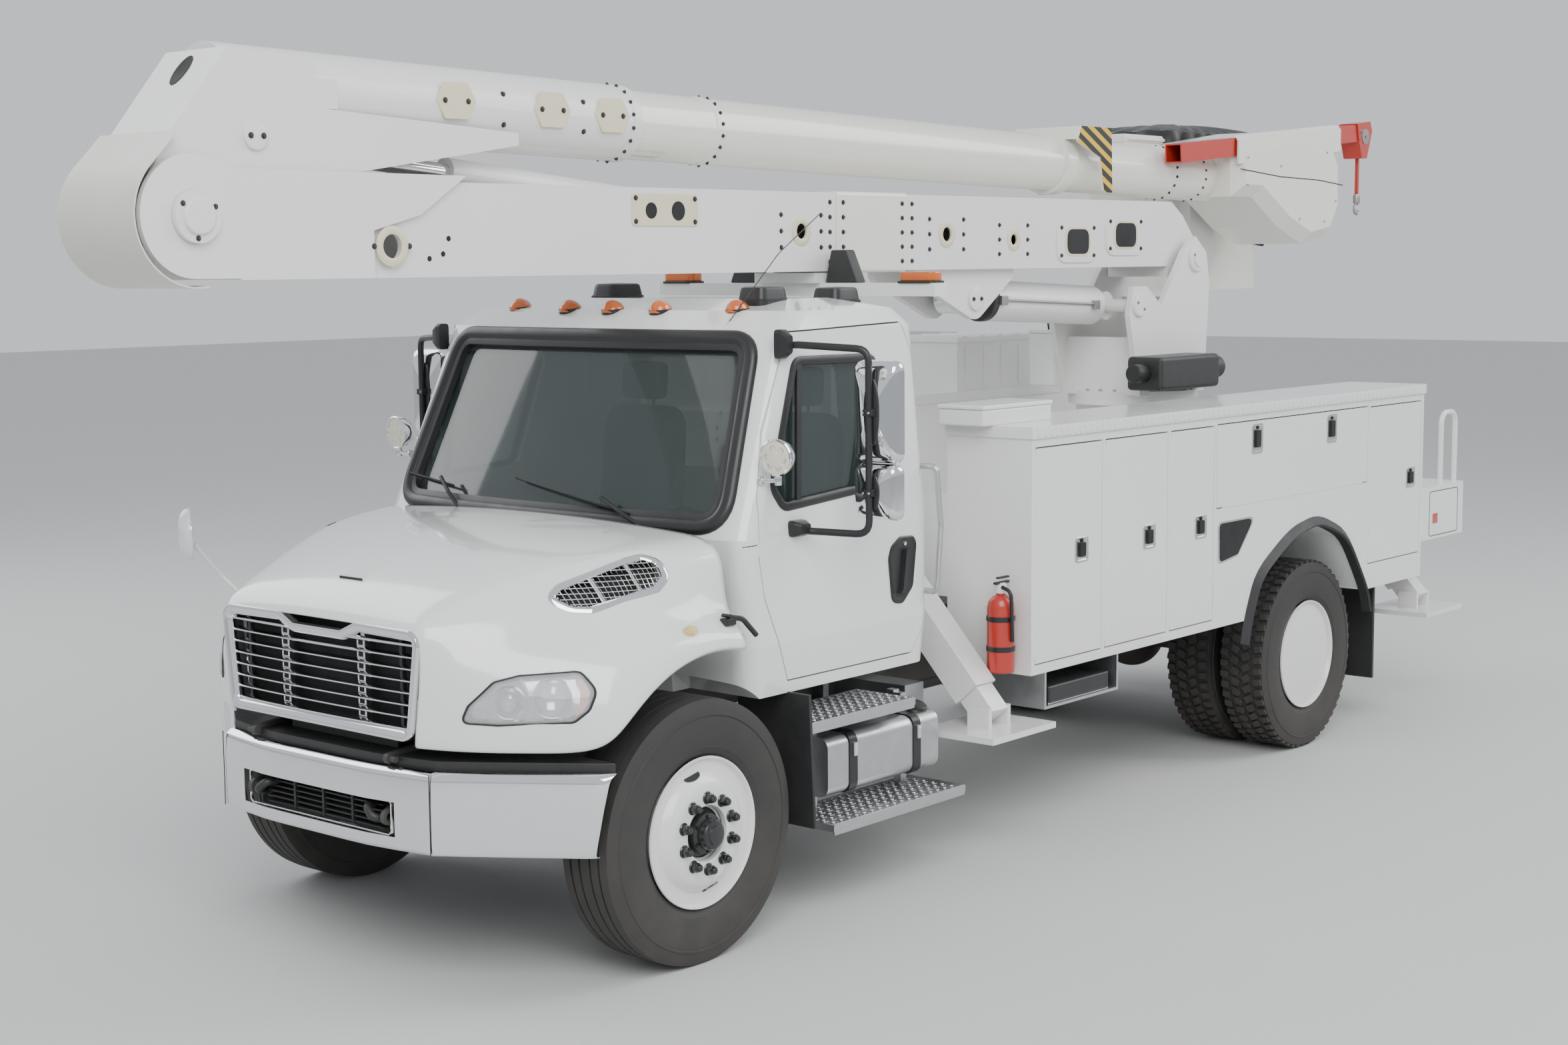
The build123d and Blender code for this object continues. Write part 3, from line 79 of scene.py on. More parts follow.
floor_material = bpy.data.materials.new("pale floor")
floor_material.use_nodes = True
floor_shader = floor_material.node_tree.nodes["Principled BSDF"]
floor_shader.inputs["Base Color"].default_value = (0.60, 0.60, 0.59, 1)
floor_shader.inputs["Roughness"].default_value = 0.85
bpy.ops.mesh.primitive_plane_add(size=FLOOR_SIZE)
floor = bpy.context.active_object
floor.name = "floor"
floor.data.materials.append(floor_material)

world = bpy.data.worlds.new("sky")
bpy.context.scene.world = world
world.use_nodes = True
world.node_tree.nodes["Background"].inputs["Color"].default_value = (0.86, 0.90, 0.95, 1)
world.node_tree.nodes["Background"].inputs["Strength"].default_value = SKY_STRENGTH
for index, (place, size, power) in enumerate(PANELS):
    panel_data = bpy.data.lights.new(f"panel_{index}", "AREA")
    panel_data.shape = "SQUARE"
    panel_data.size = size
    panel_data.energy = power
    panel = bpy.data.objects.new(f"panel_{index}", panel_data)
    bpy.context.scene.collection.objects.link(panel)
    panel.location = place
    panel.rotation_euler = (Vector(place) - Vector((0, 0, 1))).to_track_quat("Z", "Y").to_euler()

# Frame, engine, axles and springs: rolled channel, castings and forgings, all sprayed chassis black.
# Two leaf packs carry each axle, and the front wheels turn on cast knuckles.


DUST_COLOUR = (0.22, 0.19, 0.15, 1)
DUST_FROM, DUST_TO = 1.25, 0.15
COAT_ROUGHNESS = 0.06


def finish(name, colour, second, rough=(0.3, 0.4), metal=0.0, coat=0.0, cloud=3.0, grain=0.0,
           grain_size=150.0, dust=0.0, clear=0.0, alpha=1.0, stretch=(1, 1, 1)):
    """A finish with two clouded colours, a clouded gloss, a fine grain and dust near the road."""
    material = bpy.data.materials.new(name)
    material.use_nodes = True
    tree = material.node_tree
    shader = tree.nodes["Principled BSDF"]
    link = tree.links.new

    def node(kind, *mode, **values):
        """A node with its mode and some sockets set, the sockets named with underscores for spaces."""
        made = tree.nodes.new("ShaderNode" + kind)
        if mode:
            setattr(made, *mode)
        for words, value in values.items():
            made.inputs[words.replace("_", " ")].default_value = value
        return made

    place = tree.nodes.new("ShaderNodeTexCoord").outputs["Object"]
    spread = node("Mapping", Scale=stretch)
    link(place, spread.inputs["Vector"])
    clouds = node("TexNoise", Scale=cloud, Detail=4.0)
    link(spread.outputs[0], clouds.inputs["Vector"])
    tint = node("Mix", "data_type", "RGBA", A=(*colour, 1), B=(*second, 1))
    link(clouds.outputs["Fac"], tint.inputs["Factor"])
    result = tint.outputs["Result"]
    if dust:
        height = node("SeparateXYZ")
        link(place, height.inputs[0])
        low = node("MapRange", From_Min=DUST_FROM, From_Max=DUST_TO, To_Max=dust * 2)
        link(height.outputs["Z"], low.inputs["Value"])
        patches = node("Math", "operation", "MULTIPLY")
        link(low.outputs[0], patches.inputs[0])
        link(clouds.outputs["Fac"], patches.inputs[1])
        dusty = node("Mix", "data_type", "RGBA", B=DUST_COLOUR)
        link(patches.outputs[0], dusty.inputs["Factor"])
        link(result, dusty.inputs["A"])
        result = dusty.outputs["Result"]
    link(result, shader.inputs["Base Color"])
    gloss = node("MapRange", From_Min=0.3, From_Max=0.7, To_Min=rough[0], To_Max=rough[1])
    link(clouds.outputs["Fac"], gloss.inputs["Value"])
    link(gloss.outputs[0], shader.inputs["Roughness"])
    if grain:
        specks = node("TexNoise", Scale=grain_size, Detail=3.0)
        link(spread.outputs[0], specks.inputs["Vector"])
        relief = node("Bump", Strength=grain, Distance=0.002)
        link(specks.outputs["Fac"], relief.inputs["Height"])
        link(relief.outputs[0], shader.inputs["Normal"])
    for socket, value in (("Metallic", metal), ("Coat Weight", coat), ("Coat Roughness", COAT_ROUGHNESS),
                          ("Transmission Weight", clear), ("Alpha", alpha)):
        shader.inputs[socket].default_value = value
    return material


def dress(material, *starts):
    """Gives a finish to each solid whose name begins with one of these."""
    for name, solid in nodes.items():
        if name.startswith(starts):
            solid.data.materials.clear()
            solid.data.materials.append(material)


chassis_black = finish("chassis black", (0.035, 0.035, 0.036), (0.05, 0.048, 0.045), (0.45, 0.65), cloud=5.0,
                       grain=0.15, grain_size=90, dust=0.18)
cast_black = finish("black casting", (0.03, 0.03, 0.03), (0.05, 0.045, 0.04), (0.5, 0.7), cloud=16.0,
                    grain=0.4, grain_size=160, dust=0.15)
dress(chassis_black, "frame_rails", "running_gear")
dress(cast_black, "knuckle")

# Tyres: the front pair have plain ribs, and the rear twins have block lugs for soft ground.
# Each is black rubber moulded on steel cords, with a bead seated on a 22.5 inch rim.
TYRE_RADIUS = 0.530
TYRE_HALF_WIDTH = 0.140
TREAD_HALF_WIDTH = 0.118
BEAD_RADIUS = 0.296
GROOVE_DEPTH = 0.012
GROOVE_HALF = 0.005
# Middles of the front tread's grooves.
GROOVES = (-0.075, -0.028, 0.028, 0.075)
LUG_ROWS = 54
LUG_DEPTH = 0.017
# Lug columns: middle across the tread, length round it, width across it, turn in degrees, share of a pitch
# ahead.
LUG_COLUMNS = ((-0.100, 0.036, 0.046, 8, 0.0), (-0.036, 0.040, 0.050, 28, 0.35),
               (0.030, 0.040, 0.050, -28, 0.75), (0.097, 0.036, 0.046, -8, 0.5))
SIDES = (("left", 1), ("right", -1))
FRONT_WHEEL_Y = 1.025
REAR_WHEEL_YS = (1.015, 0.680)

tyre_rubber = finish("tyre rubber", (0.022, 0.022, 0.023), (0.036, 0.035, 0.034), (0.62, 0.8), cloud=9.0,
                     grain=0.25, grain_size=180, dust=0.10)


def in_scene(name, mesh):
    """A mesh as an object of the scene."""
    thing = bpy.data.objects.new(name, mesh)
    bpy.context.scene.collection.objects.link(thing)
    return thing


def worked_out(thing):
    """Gives an object the mesh that its modifiers make, and takes the modifiers off."""
    bpy.context.view_layer.update()
    mesh = bpy.data.meshes.new_from_object(thing.evaluated_get(bpy.context.evaluated_depsgraph_get()))
    thing.modifiers.clear()
    thing.data = mesh
    return thing


def ring_line(half_x, half_y, count):
    """An oval's outline, or with few points a polygon's."""
    return [(half_x * cos(2 * pi * step / count), half_y * sin(2 * pi * step / count))
            for step in range(count)]


def placed(origin, along, across=(1, 0, 0)):
    """A frame at origin whose Z runs along a direction, with its X as near to across as it can be."""
    z = Vector(along).normalized()
    guide = Vector(across)
    if z.cross(guide).length < 0.01:
        guide = Vector((0, 0, 1))
    y = z.cross(guide).normalized()
    matrix = Matrix((y.cross(z), y, z)).transposed().to_4x4()
    matrix.translation = origin
    return matrix


class Piece:
    """A mesh put together from forms in metres, each form with one of the piece's finishes."""

    def __init__(self, name, *finishes):
        self.name = name
        self.finishes = finishes
        self.mesh = bmesh.new()

    def take(self, form, finish):
        """Adds a form to the piece, with its faces turned outwards."""
        bmesh.ops.remove_doubles(form, verts=form.verts, dist=0.00001)
        bmesh.ops.recalc_face_normals(form, faces=form.faces)
        for face in form.faces:
            face.material_index = finish
        held = bpy.data.meshes.new("form")
        form.to_mesh(held)
        form.free()
        self.mesh.from_mesh(held)
        bpy.data.meshes.remove(held)

    def skin(self, rings, finish=0, caps=True, closed=True):
        """A skin over rings of points, with its ends closed by caps."""
        form = bmesh.new()
        rows = [[form.verts.new(point) for point in ring] for ring in rings]
        count = len(rows[0])
        for low, high in zip(rows, rows[1:]):
            for place in range(count if closed else count - 1):
                after = (place + 1) % count
                form.faces.new((low[place], low[after], high[after], high[place]))
        if caps:
            form.faces.new(rows[0])
            form.faces.new(rows[-1])
        self.take(form, finish)

    def turned(self, profile, where, finish=0, sides=48, closed=False, open_ends=False):
        """A profile of radius and height turned about the Z of a frame."""
        rings = []
        for radius, height in profile:
            rings.append([where @ Vector((x, y, height)) for x, y in ring_line(radius, radius, sides)])
        if closed:
            rings.append(rings[0])
        self.skin(rings, finish, caps=not (closed or open_ends))

    def prism(self, outline, where, depth, finish=0, bevel=0.0, steps=2):
        """An outline in a frame's XY, raised along its Z, with its edges eased by bevel."""
        form = bmesh.new()
        base = form.faces.new([form.verts.new(where @ Vector((x, y, 0))) for x, y in outline])
        raised = bmesh.ops.extrude_face_region(form, geom=[base])
        lift = where.to_3x3() @ Vector((0, 0, depth))
        bmesh.ops.translate(form, verts=[v for v in raised["geom"] if isinstance(v, bmesh.types.BMVert)],
                            vec=lift)
        bmesh.ops.recalc_face_normals(form, faces=form.faces)
        if bevel:
            sharp = [edge for edge in form.edges if edge.calc_face_angle(0) > radians(25)]
            bmesh.ops.bevel(form, geom=sharp, offset=bevel, segments=steps, profile=0.5, affect="EDGES",
                            clamp_overlap=True)
        self.take(form, finish)

    def block(self, x, y, z, finish=0, bevel=0.003, steps=2):
        """A block between pairs of limits, its x limits given as stations."""
        outline = [(x[0], y[0]), (x[1], y[0]), (x[1], y[1]), (x[0], y[1])]
        self.prism(outline, Matrix.Translation(at(0, 0, z[0])), z[1] - z[0], finish, bevel, steps)

    def tube(self, points, radius, finish=0, corner=0.03, sides=12, steps=5):
        """A round tube along points, with its corners bent at a radius."""
        path = [Vector(points[0])]
        for before, here, after in zip(points, points[1:], points[2:]):
            back, on = Vector(before) - Vector(here), Vector(after) - Vector(here)
            reach = min(corner / max(tan(back.angle(on, pi) / 2), 0.001), back.length * 0.49,
                        on.length * 0.49)
            start, end = Vector(here) + back.normalized() * reach, Vector(here) + on.normalized() * reach
            for step in range(steps + 1):
                share = step / steps
                path.append(start * (1 - share) ** 2 + Vector(here) * 2 * share * (1 - share)
                            + end * share ** 2)
        path.append(Vector(points[-1]))
        rings = []
        heading = (path[1] - path[0]).normalized()
        aside = heading.orthogonal().normalized()
        for place, point in enumerate(path):
            ahead_of = path[min(place + 1, len(path) - 1)] - path[max(place - 1, 0)]
            turn = heading.rotation_difference(ahead_of.normalized())
            aside = turn @ aside
            heading = ahead_of.normalized()
            other = heading.cross(aside)
            rings.append([point + (aside * cos(2 * pi * step / sides)
                                   + other * sin(2 * pi * step / sides)) * radius for step in range(sides)])
        self.skin(rings, finish)

    def band(self, path, section, finish=0, facing=None):
        """A strip swept round a closed path of points that all face one way, or of points each with its own
        facing. Its section is given as distances outwards and off the surface."""
        places = path if facing is None else [(point, Vector(facing)) for point in path]
        rings = []
        for index, (point, facing) in enumerate(places):
            along = (places[(index + 1) % len(places)][0] - places[index - 1][0]).normalized()
            facing = facing.normalized()
            outward = along.cross(facing)
            rings.append([point + outward * out + facing * off for out, off in section])
        rings.append(rings[0])
        self.skin(rings, finish, caps=False)

    def done(self, body, smooth=38, stands_for=()):
        """The finished object, riding on a body."""
        mesh = bpy.data.meshes.new(self.name)
        for face in self.mesh.faces:
            face.smooth = True
        for edge in self.mesh.edges:
            edge.smooth = edge.calc_face_angle(0) < radians(smooth)
        self.mesh.to_mesh(mesh)
        self.mesh.free()
        for material in self.finishes:
            mesh.materials.append(material)
        piece = in_scene(self.name, mesh)
        shading = piece.modifiers.new("weighted normals", "WEIGHTED_NORMAL")
        shading.keep_sharp = True
        if stands_for:
            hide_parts(*stands_for)
        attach(piece, body)
        return piece


def out_from(side, x, out, z):
    """A frame on one side of the truck at a distance out, with its Z outwards."""
    return placed(at(x, side * out, z), (0, side, 0))


def side_view(y, facing=-1):
    """A frame for outlines of station and height, at y, that rise towards the right, or towards the left."""
    return Matrix(((1, 0, 0, FRONT_AXLE), (0, 0, facing, y), (0, 1, 0, 0), (0, 0, 0, 1)))


def tyre_profile(crown):
    """The tyre's closed section: radius and distance from its middle, with the tread's own points."""
    wall = [(BEAD_RADIUS, 0.094), (BEAD_RADIUS + 0.004, 0.110), (0.318, 0.122), (0.332, 0.1265),
            (0.335, 0.1295), (0.345, 0.1315), (0.372, 0.1375), (0.405, TYRE_HALF_WIDTH), (0.440, 0.1395),
            (0.462, 0.1365), (0.464, 0.1395), (0.472, 0.1385), (0.475, 0.1345), (0.498, 0.1295),
            (0.516, 0.1225)]
    return wall + crown + [(radius, -y) for radius, y in reversed(wall)]


def repeat_tree():
    """Nodes that set a copy of one form at each point, turned by the point's up and along attributes."""
    tree = bpy.data.node_groups.new("copies at points", "GeometryNodeTree")
    for way, word, kind in (("INPUT", "Geometry", "Geometry"), ("INPUT", "Form", "Object"),
                            ("INPUT", "Size", "Vector"), ("INPUT", "Finish", "Material"),
                            ("OUTPUT", "Geometry", "Geometry")):
        tree.interface.new_socket(word, in_out=way, socket_type="NodeSocket" + kind)
    inside = tree.nodes.new("NodeGroupInput")
    outside = tree.nodes.new("NodeGroupOutput")
    form = tree.nodes.new("GeometryNodeObjectInfo")
    facing = []
    for word in ("up", "along"):
        attribute = tree.nodes.new("GeometryNodeInputNamedAttribute")
        attribute.data_type = "FLOAT_VECTOR"
        attribute.inputs["Name"].default_value = word
        facing.append(attribute.outputs["Attribute"])
    turn = tree.nodes.new("FunctionNodeAxesToRotation")
    turn.primary_axis = "Z"
    turn.secondary_axis = "X"
    copies = tree.nodes.new("GeometryNodeInstanceOnPoints")
    real = tree.nodes.new("GeometryNodeRealizeInstances")
    coat = tree.nodes.new("GeometryNodeSetMaterial")
    link = tree.links.new
    link(inside.outputs["Form"], form.inputs["Object"])
    link(facing[0], turn.inputs["Primary Axis"])
    link(facing[1], turn.inputs["Secondary Axis"])
    link(inside.outputs["Geometry"], copies.inputs["Points"])
    link(form.outputs["Geometry"], copies.inputs["Instance"])
    link(turn.outputs["Rotation"], copies.inputs["Rotation"])
    link(inside.outputs["Size"], copies.inputs["Scale"])
    link(copies.outputs[0], real.inputs[0])
    link(real.outputs[0], coat.inputs["Geometry"])
    link(inside.outputs["Finish"], coat.inputs["Material"])
    link(coat.outputs[0], outside.inputs[0])
    return tree


copies_at_points = repeat_tree()


def repeated(name, form, places, material, size=(1, 1, 1)):
    """One mesh with a copy of form at each place, a place being a point, its up and its along."""
    mesh = bpy.data.meshes.new(name)
    mesh.from_pydata([place[0] for place in places], [], [])
    for column, word in ((1, "up"), (2, "along")):
        attribute = mesh.attributes.new(word, "FLOAT_VECTOR", "POINT")
        for item, place in zip(attribute.data, places):
            item.vector = place[column]
    mesh.materials.append(material)
    points = in_scene(name, mesh)
    maker = points.modifiers.new("copies", "NODES")
    maker.node_group = copies_at_points
    for item in copies_at_points.interface.items_tree:
        if item.in_out == "INPUT" and item.name in ("Form", "Size", "Finish"):
            maker[item.identifier] = {"Form": form, "Size": size, "Finish": material}[item.name]
    return worked_out(points)


def loose(piece):
    """A piece as an object that rides on nothing, to be copied or cut with, and removed after that."""
    mesh = bpy.data.meshes.new(piece.name)
    for face in piece.mesh.faces:
        face.smooth = False
    piece.mesh.to_mesh(mesh)
    piece.mesh.free()
    return in_scene(piece.name, mesh)


def into(piece, copies):
    """Adds made copies to a piece's mesh as its first finish, and removes their object."""
    for face in copies.data.polygons:
        face.material_index = 0
    piece.mesh.from_mesh(copies.data)
    bpy.data.objects.remove(copies)


for side_name, side in SIDES:
    hub = at(0, side * FRONT_WHEEL_Y, AXLE_HEIGHT)
    crown = []
    for groove in reversed(GROOVES):
        crown += [(TYRE_RADIUS - 0.001, groove + GROOVE_HALF),
                  (TYRE_RADIUS - GROOVE_DEPTH, groove + GROOVE_HALF * 0.6),
                  (TYRE_RADIUS - GROOVE_DEPTH, groove - GROOVE_HALF * 0.6),
                  (TYRE_RADIUS - 0.001, groove - GROOVE_HALF)]
    crown = [(TYRE_RADIUS - 0.004, TREAD_HALF_WIDTH)] + crown + [(TYRE_RADIUS - 0.004, -TREAD_HALF_WIDTH)]
    front_tyre = Piece(f"ribbed_tyre_{side_name}", tyre_rubber)
    front_tyre.turned(tyre_profile(crown), placed(hub, (0, 1, 0)), sides=128, closed=True)
    front_tyre.done(f"wheel_front_{side_name}", smooth=32, stands_for=(f"tyre_front_{side_name}",))

lug = Piece("lug")
lug.prism([(-0.5, -0.5), (0.5, -0.5), (0.5, 0.5), (-0.5, 0.5)], Matrix.Translation((0, 0, -0.3)), 1.3,
          bevel=0.08, steps=1)
lug = loose(lug)
for side_name, side in SIDES:
    lug_tyres = Piece(f"lug_tyres_{side_name}", tyre_rubber)
    low_crown = [(TYRE_RADIUS - LUG_DEPTH, TREAD_HALF_WIDTH - 0.006), (TYRE_RADIUS - LUG_DEPTH, 0),
                 (TYRE_RADIUS - LUG_DEPTH, 0.006 - TREAD_HALF_WIDTH)]
    for middle in REAR_WHEEL_YS:
        hub = at(-WHEELBASE, side * middle, AXLE_HEIGHT)
        lug_tyres.turned(tyre_profile(low_crown), placed(hub, (0, 1, 0)), sides=108, closed=True)
        for column, (across, length, width, turn, lead) in enumerate(LUG_COLUMNS):
            places = []
            for row in range(LUG_ROWS):
                angle = 2 * pi * (row + lead) / LUG_ROWS
                outward = Vector((cos(angle), 0, sin(angle)))
                round_it = Vector((-sin(angle), 0, cos(angle)))
                along = round_it * cos(radians(turn)) + Vector((0, 1, 0)) * sin(radians(turn))
                base = hub + outward * (TYRE_RADIUS - LUG_DEPTH) + Vector((0, across, 0))
                places.append((base, outward, along))
            into(lug_tyres, repeated("lugs", lug, places, tyre_rubber, (length, width, LUG_DEPTH)))
    lug_tyres.done(f"wheel_rear_{side_name}", smooth=30, stands_for=(f"tyre_rear_{side_name}",))
bpy.data.objects.remove(lug)

# Wheels: pressed steel discs in white enamel with oval hand holes, ten nuts and a black hub.
# The front discs bulge outwards over the hub, and the twins are bolted back to back.
STUD_CIRCLE = 0.1429
STUDS = 10
HAND_HOLES = 2
HAND_HOLE_ANGLE = radians(78)
HAND_HOLE = (0.043, 0.0245)
# Nuts: the washer's and the stud's half sections, radius and height, and half the width over the corners.
WASHER = ((0.026, -0.001), (0.026, 0.004), (0.0235, 0.007), (0.0215, 0.009))
STUD_END = ((0.0165, 0.029), (0.0155, 0.038), (0.012, 0.043), (0.0005, 0.044))
NUT_RADIUS = 0.0205
HUB_BOLTS = 6

enamel = finish("white enamel", (0.83, 0.835, 0.82), (0.79, 0.795, 0.775), (0.22, 0.32), coat=0.5, cloud=1.3,
                grain=0.03, grain_size=60, dust=0.10)
gloss_black = finish("gloss black", (0.012, 0.012, 0.013), (0.02, 0.02, 0.02), (0.22, 0.34),
                     cloud=8.0, coat=0.3)

# Half sections, radius and distance out from the wheel's middle: the rim, then each disc with its rolled
# edges.
RIM = ((0.290, 0.112), (0.298, 0.118), (0.303, 0.124), (0.301, 0.131), (0.295, 0.130), (0.288, 0.120),
       (0.281, 0.100), (0.270, 0.072), (0.262, 0.050), (0.255, 0.030), (0.255, -0.030), (0.262, -0.044),
       (0.281, -0.062), (0.286, -0.095), (0.298, -0.105))
FRONT_DISC = ((0.262, 0.060), (0.258, 0.078), (0.250, 0.094), (0.238, 0.112), (0.224, 0.130), (0.208, 0.142),
              (0.192, 0.148), (0.176, 0.150), (0.118, 0.150), (0.112, 0.147), (0.110, 0.140), (0.110, 0.125))
REAR_DISC = ((0.254, -0.030), (0.248, -0.050), (0.234, -0.088), (0.214, -0.116), (0.196, -0.130),
             (0.180, -0.134), (0.118, -0.134), (0.112, -0.131), (0.110, -0.124), (0.110, -0.110))
# Hubs: radius and distance out from the disc's face.
FRONT_HUB = ((0.108, -0.060), (0.100, -0.030), (0.086, -0.022), (0.080, 0.000), (0.064, 0.006),
             (0.062, 0.030), (0.055, 0.040), (0.040, 0.044), (0.036, 0.052), (0.012, 0.054), (0.0005, 0.054))
REAR_HUB = ((0.112, -0.020), (0.104, 0.030), (0.098, 0.090), (0.094, 0.118), (0.098, 0.120), (0.098, 0.132),
            (0.090, 0.136), (0.050, 0.137), (0.044, 0.150), (0.0005, 0.152))
for axle_name, station, disc, hub_turning in (("front", 0, FRONT_DISC, FRONT_HUB),
                                              ("rear", -WHEELBASE, REAR_DISC, REAR_HUB)):
    for side_name, side in SIDES:
        middle = FRONT_WHEEL_Y if axle_name == "front" else REAR_WHEEL_YS[0]
        hub = out_from(side, station, middle, AXLE_HEIGHT)
        wheel = Piece(f"disc_wheel_{axle_name}_{side_name}", enamel, gloss_black)
        wheel.turned(RIM, hub, sides=72)
        wheel.turned(disc, hub, sides=72, open_ends=True)
        if axle_name == "rear":
            inner = placed(at(station, side * REAR_WHEEL_YS[1], AXLE_HEIGHT), (0, -side, 0))
            wheel.turned(RIM, inner, sides=72)
            wheel.turned(disc, inner, sides=72, open_ends=True)
        face = disc[-3][1]
        wheel.turned([(radius, face + out) for radius, out in hub_turning], hub, 1, sides=48)
        for index in range(STUDS):
            angle = 2 * pi * (index + 0.5) / STUDS
            nut = hub @ Matrix.Translation((STUD_CIRCLE * cos(angle), STUD_CIRCLE * sin(angle), face))
            wheel.turned(WASHER, nut, 1, sides=20)
            wheel.prism(ring_line(NUT_RADIUS, NUT_RADIUS, 6), nut @ Matrix.Translation((0, 0, 0.008)),
                        0.022, 1, 0.002, 1)
            wheel.turned(STUD_END, nut, 1, sides=14)
        for index in range(HUB_BOLTS):
            angle = 2 * pi * (index + 0.5) / HUB_BOLTS
            reach, out = (0.071, 0.004) if axle_name == "front" else (0.074, 0.136)
            bolt = hub @ Matrix.Translation((reach * cos(angle), reach * sin(angle), face + out - 0.004))
            wheel.prism(ring_line(0.008, 0.008, 6), bolt, 0.011, 1, 0, 1)
        # The hand holes are not cut through: each is a gloss black oval in the disc, painted shade for the
        # dark seen through the hole.
        for index in range(HAND_HOLES):
            turn = HAND_HOLE_ANGLE + 2 * pi * index / HAND_HOLES
            (low_radius, low), (high_radius, high) = disc[2:5:2]
            radius, out = (low_radius + high_radius) / 2, (low + high) / 2
            up_disc = (hub.inverted() @ at(station + cos(turn), side * middle,
                                           AXLE_HEIGHT + sin(turn))).normalized()
            fall = Vector((0, 0, low - high)) + up_disc * (low_radius - high_radius)
            round_disc = Vector((0, 0, 1)).cross(up_disc)
            facing = fall.cross(round_disc)
            facing *= 1 if facing.z > 0 else -1
            hole = hub @ placed(up_disc * radius + Vector((0, 0, out)), facing, round_disc)
            wheel.prism(ring_line(*HAND_HOLE, 28), hole @ Matrix.Translation((0, 0, -0.010)),
                        0.0135, 1, 0.001, 1)
        wheel.done(f"wheel_{axle_name}_{side_name}", smooth=35,
                   stands_for=(f"wheel_{axle_name}_{side_name}",))

# Hood: one moulded shell in white enamel that tilts forward with both front fenders and the grille.
# It is laid up as one skin from the grille's edge to the windscreen, with a soft crease on each shoulder.
HOOD_SKIN = 0.010
# Rows of the left half from the middle of the hood down to the lip of the wheel arch; each row runs from the
# grille's edge to the rear seam, as station, distance to the left and height.
HOOD_ROWS = (
    ((0.957, 0.0, 1.396), (0.943, 0.0, 1.432), (0.875, 0.0, 1.482), (0.72, 0.0, 1.548), (0.56, 0.0, 1.602),
     (0.38, 0.0, 1.642), (0.18, 0.0, 1.672), (-0.02, 0.0, 1.692), (-0.212, 0.0, 1.702)),
    ((0.956, 0.32, 1.394), (0.940, 0.32, 1.430), (0.873, 0.32, 1.478), (0.72, 0.33, 1.542),
     (0.56, 0.35, 1.594),
     (0.38, 0.37, 1.634), (0.18, 0.40, 1.664), (-0.02, 0.43, 1.684), (-0.212, 0.46, 1.695)),
    ((0.950, 0.572, 1.390), (0.928, 0.582, 1.424), (0.862, 0.598, 1.460), (0.72, 0.628, 1.515),
     (0.56, 0.680, 1.562),
     (0.38, 0.750, 1.604), (0.18, 0.830, 1.638), (-0.02, 0.895, 1.658), (-0.212, 0.940, 1.668)),
    ((0.946, 0.608, 1.368), (0.914, 0.640, 1.388), (0.850, 0.668, 1.410), (0.72, 0.712, 1.462),
     (0.56, 0.785, 1.512),
     (0.38, 0.880, 1.562), (0.18, 0.970, 1.600), (-0.02, 1.040, 1.622), (-0.212, 1.068, 1.626)),
    ((0.946, 0.606, 1.290), (0.906, 0.660, 1.292), (0.842, 0.725, 1.305), (0.72, 0.795, 1.352),
     (0.56, 0.885, 1.404),
     (0.38, 0.975, 1.442), (0.18, 1.040, 1.468), (-0.02, 1.075, 1.484), (-0.212, 1.084, 1.490)),
    ((0.946, 0.600, 1.210), (0.906, 0.670, 1.208), (0.836, 0.785, 1.215), (0.72, 0.900, 1.258),
     (0.56, 1.015, 1.302),
     (0.38, 1.090, 1.338), (0.18, 1.120, 1.360), (-0.02, 1.122, 1.370), (-0.212, 1.098, 1.372)),
    ((0.948, 0.590, 1.120), (0.910, 0.664, 1.114), (0.836, 0.795, 1.112), (0.715, 0.965, 1.135),
     (0.58, 1.095, 1.175),
     (0.42, 1.168, 1.240), (0.22, 1.192, 1.305), (-0.02, 1.196, 1.330), (-0.212, 1.180, 1.312)),
    ((0.950, 0.578, 1.030), (0.914, 0.652, 1.025), (0.838, 0.800, 1.020), (0.705, 0.985, 1.022),
     (0.585, 1.130, 1.035),
     (0.46, 1.190, 1.120), (0.25, 1.202, 1.228), (-0.02, 1.204, 1.290), (-0.212, 1.202, 1.266)),
    ((0.950, 0.565, 0.950), (0.916, 0.645, 0.946), (0.840, 0.800, 0.944), (0.700, 0.985, 0.943),
     (0.552, 1.175, 0.943),
     (0.447, 1.202, 1.055), (0.245, 1.204, 1.203), (-0.015, 1.206, 1.268), (-0.212, 1.204, 1.238)),
    ((0.930, 0.560, 0.948), (0.896, 0.635, 0.944), (0.822, 0.785, 0.942), (0.682, 0.970, 0.941),
     (0.530, 1.150, 0.941),
     (0.430, 1.180, 1.045), (0.240, 1.182, 1.190), (-0.015, 1.184, 1.255), (-0.212, 1.182, 1.226)),
)
SHOULDER_ROW = 2
SKIN_LEVELS = 3

cab_enamel = finish("cab enamel", (0.83, 0.835, 0.83), (0.79, 0.795, 0.785), (0.12, 0.18), coat=0.8,
                    cloud=1.1, dust=0.05)
trim_black = finish("black trim", (0.015, 0.015, 0.016), (0.022, 0.022, 0.022), (0.32, 0.45), cloud=9.0)


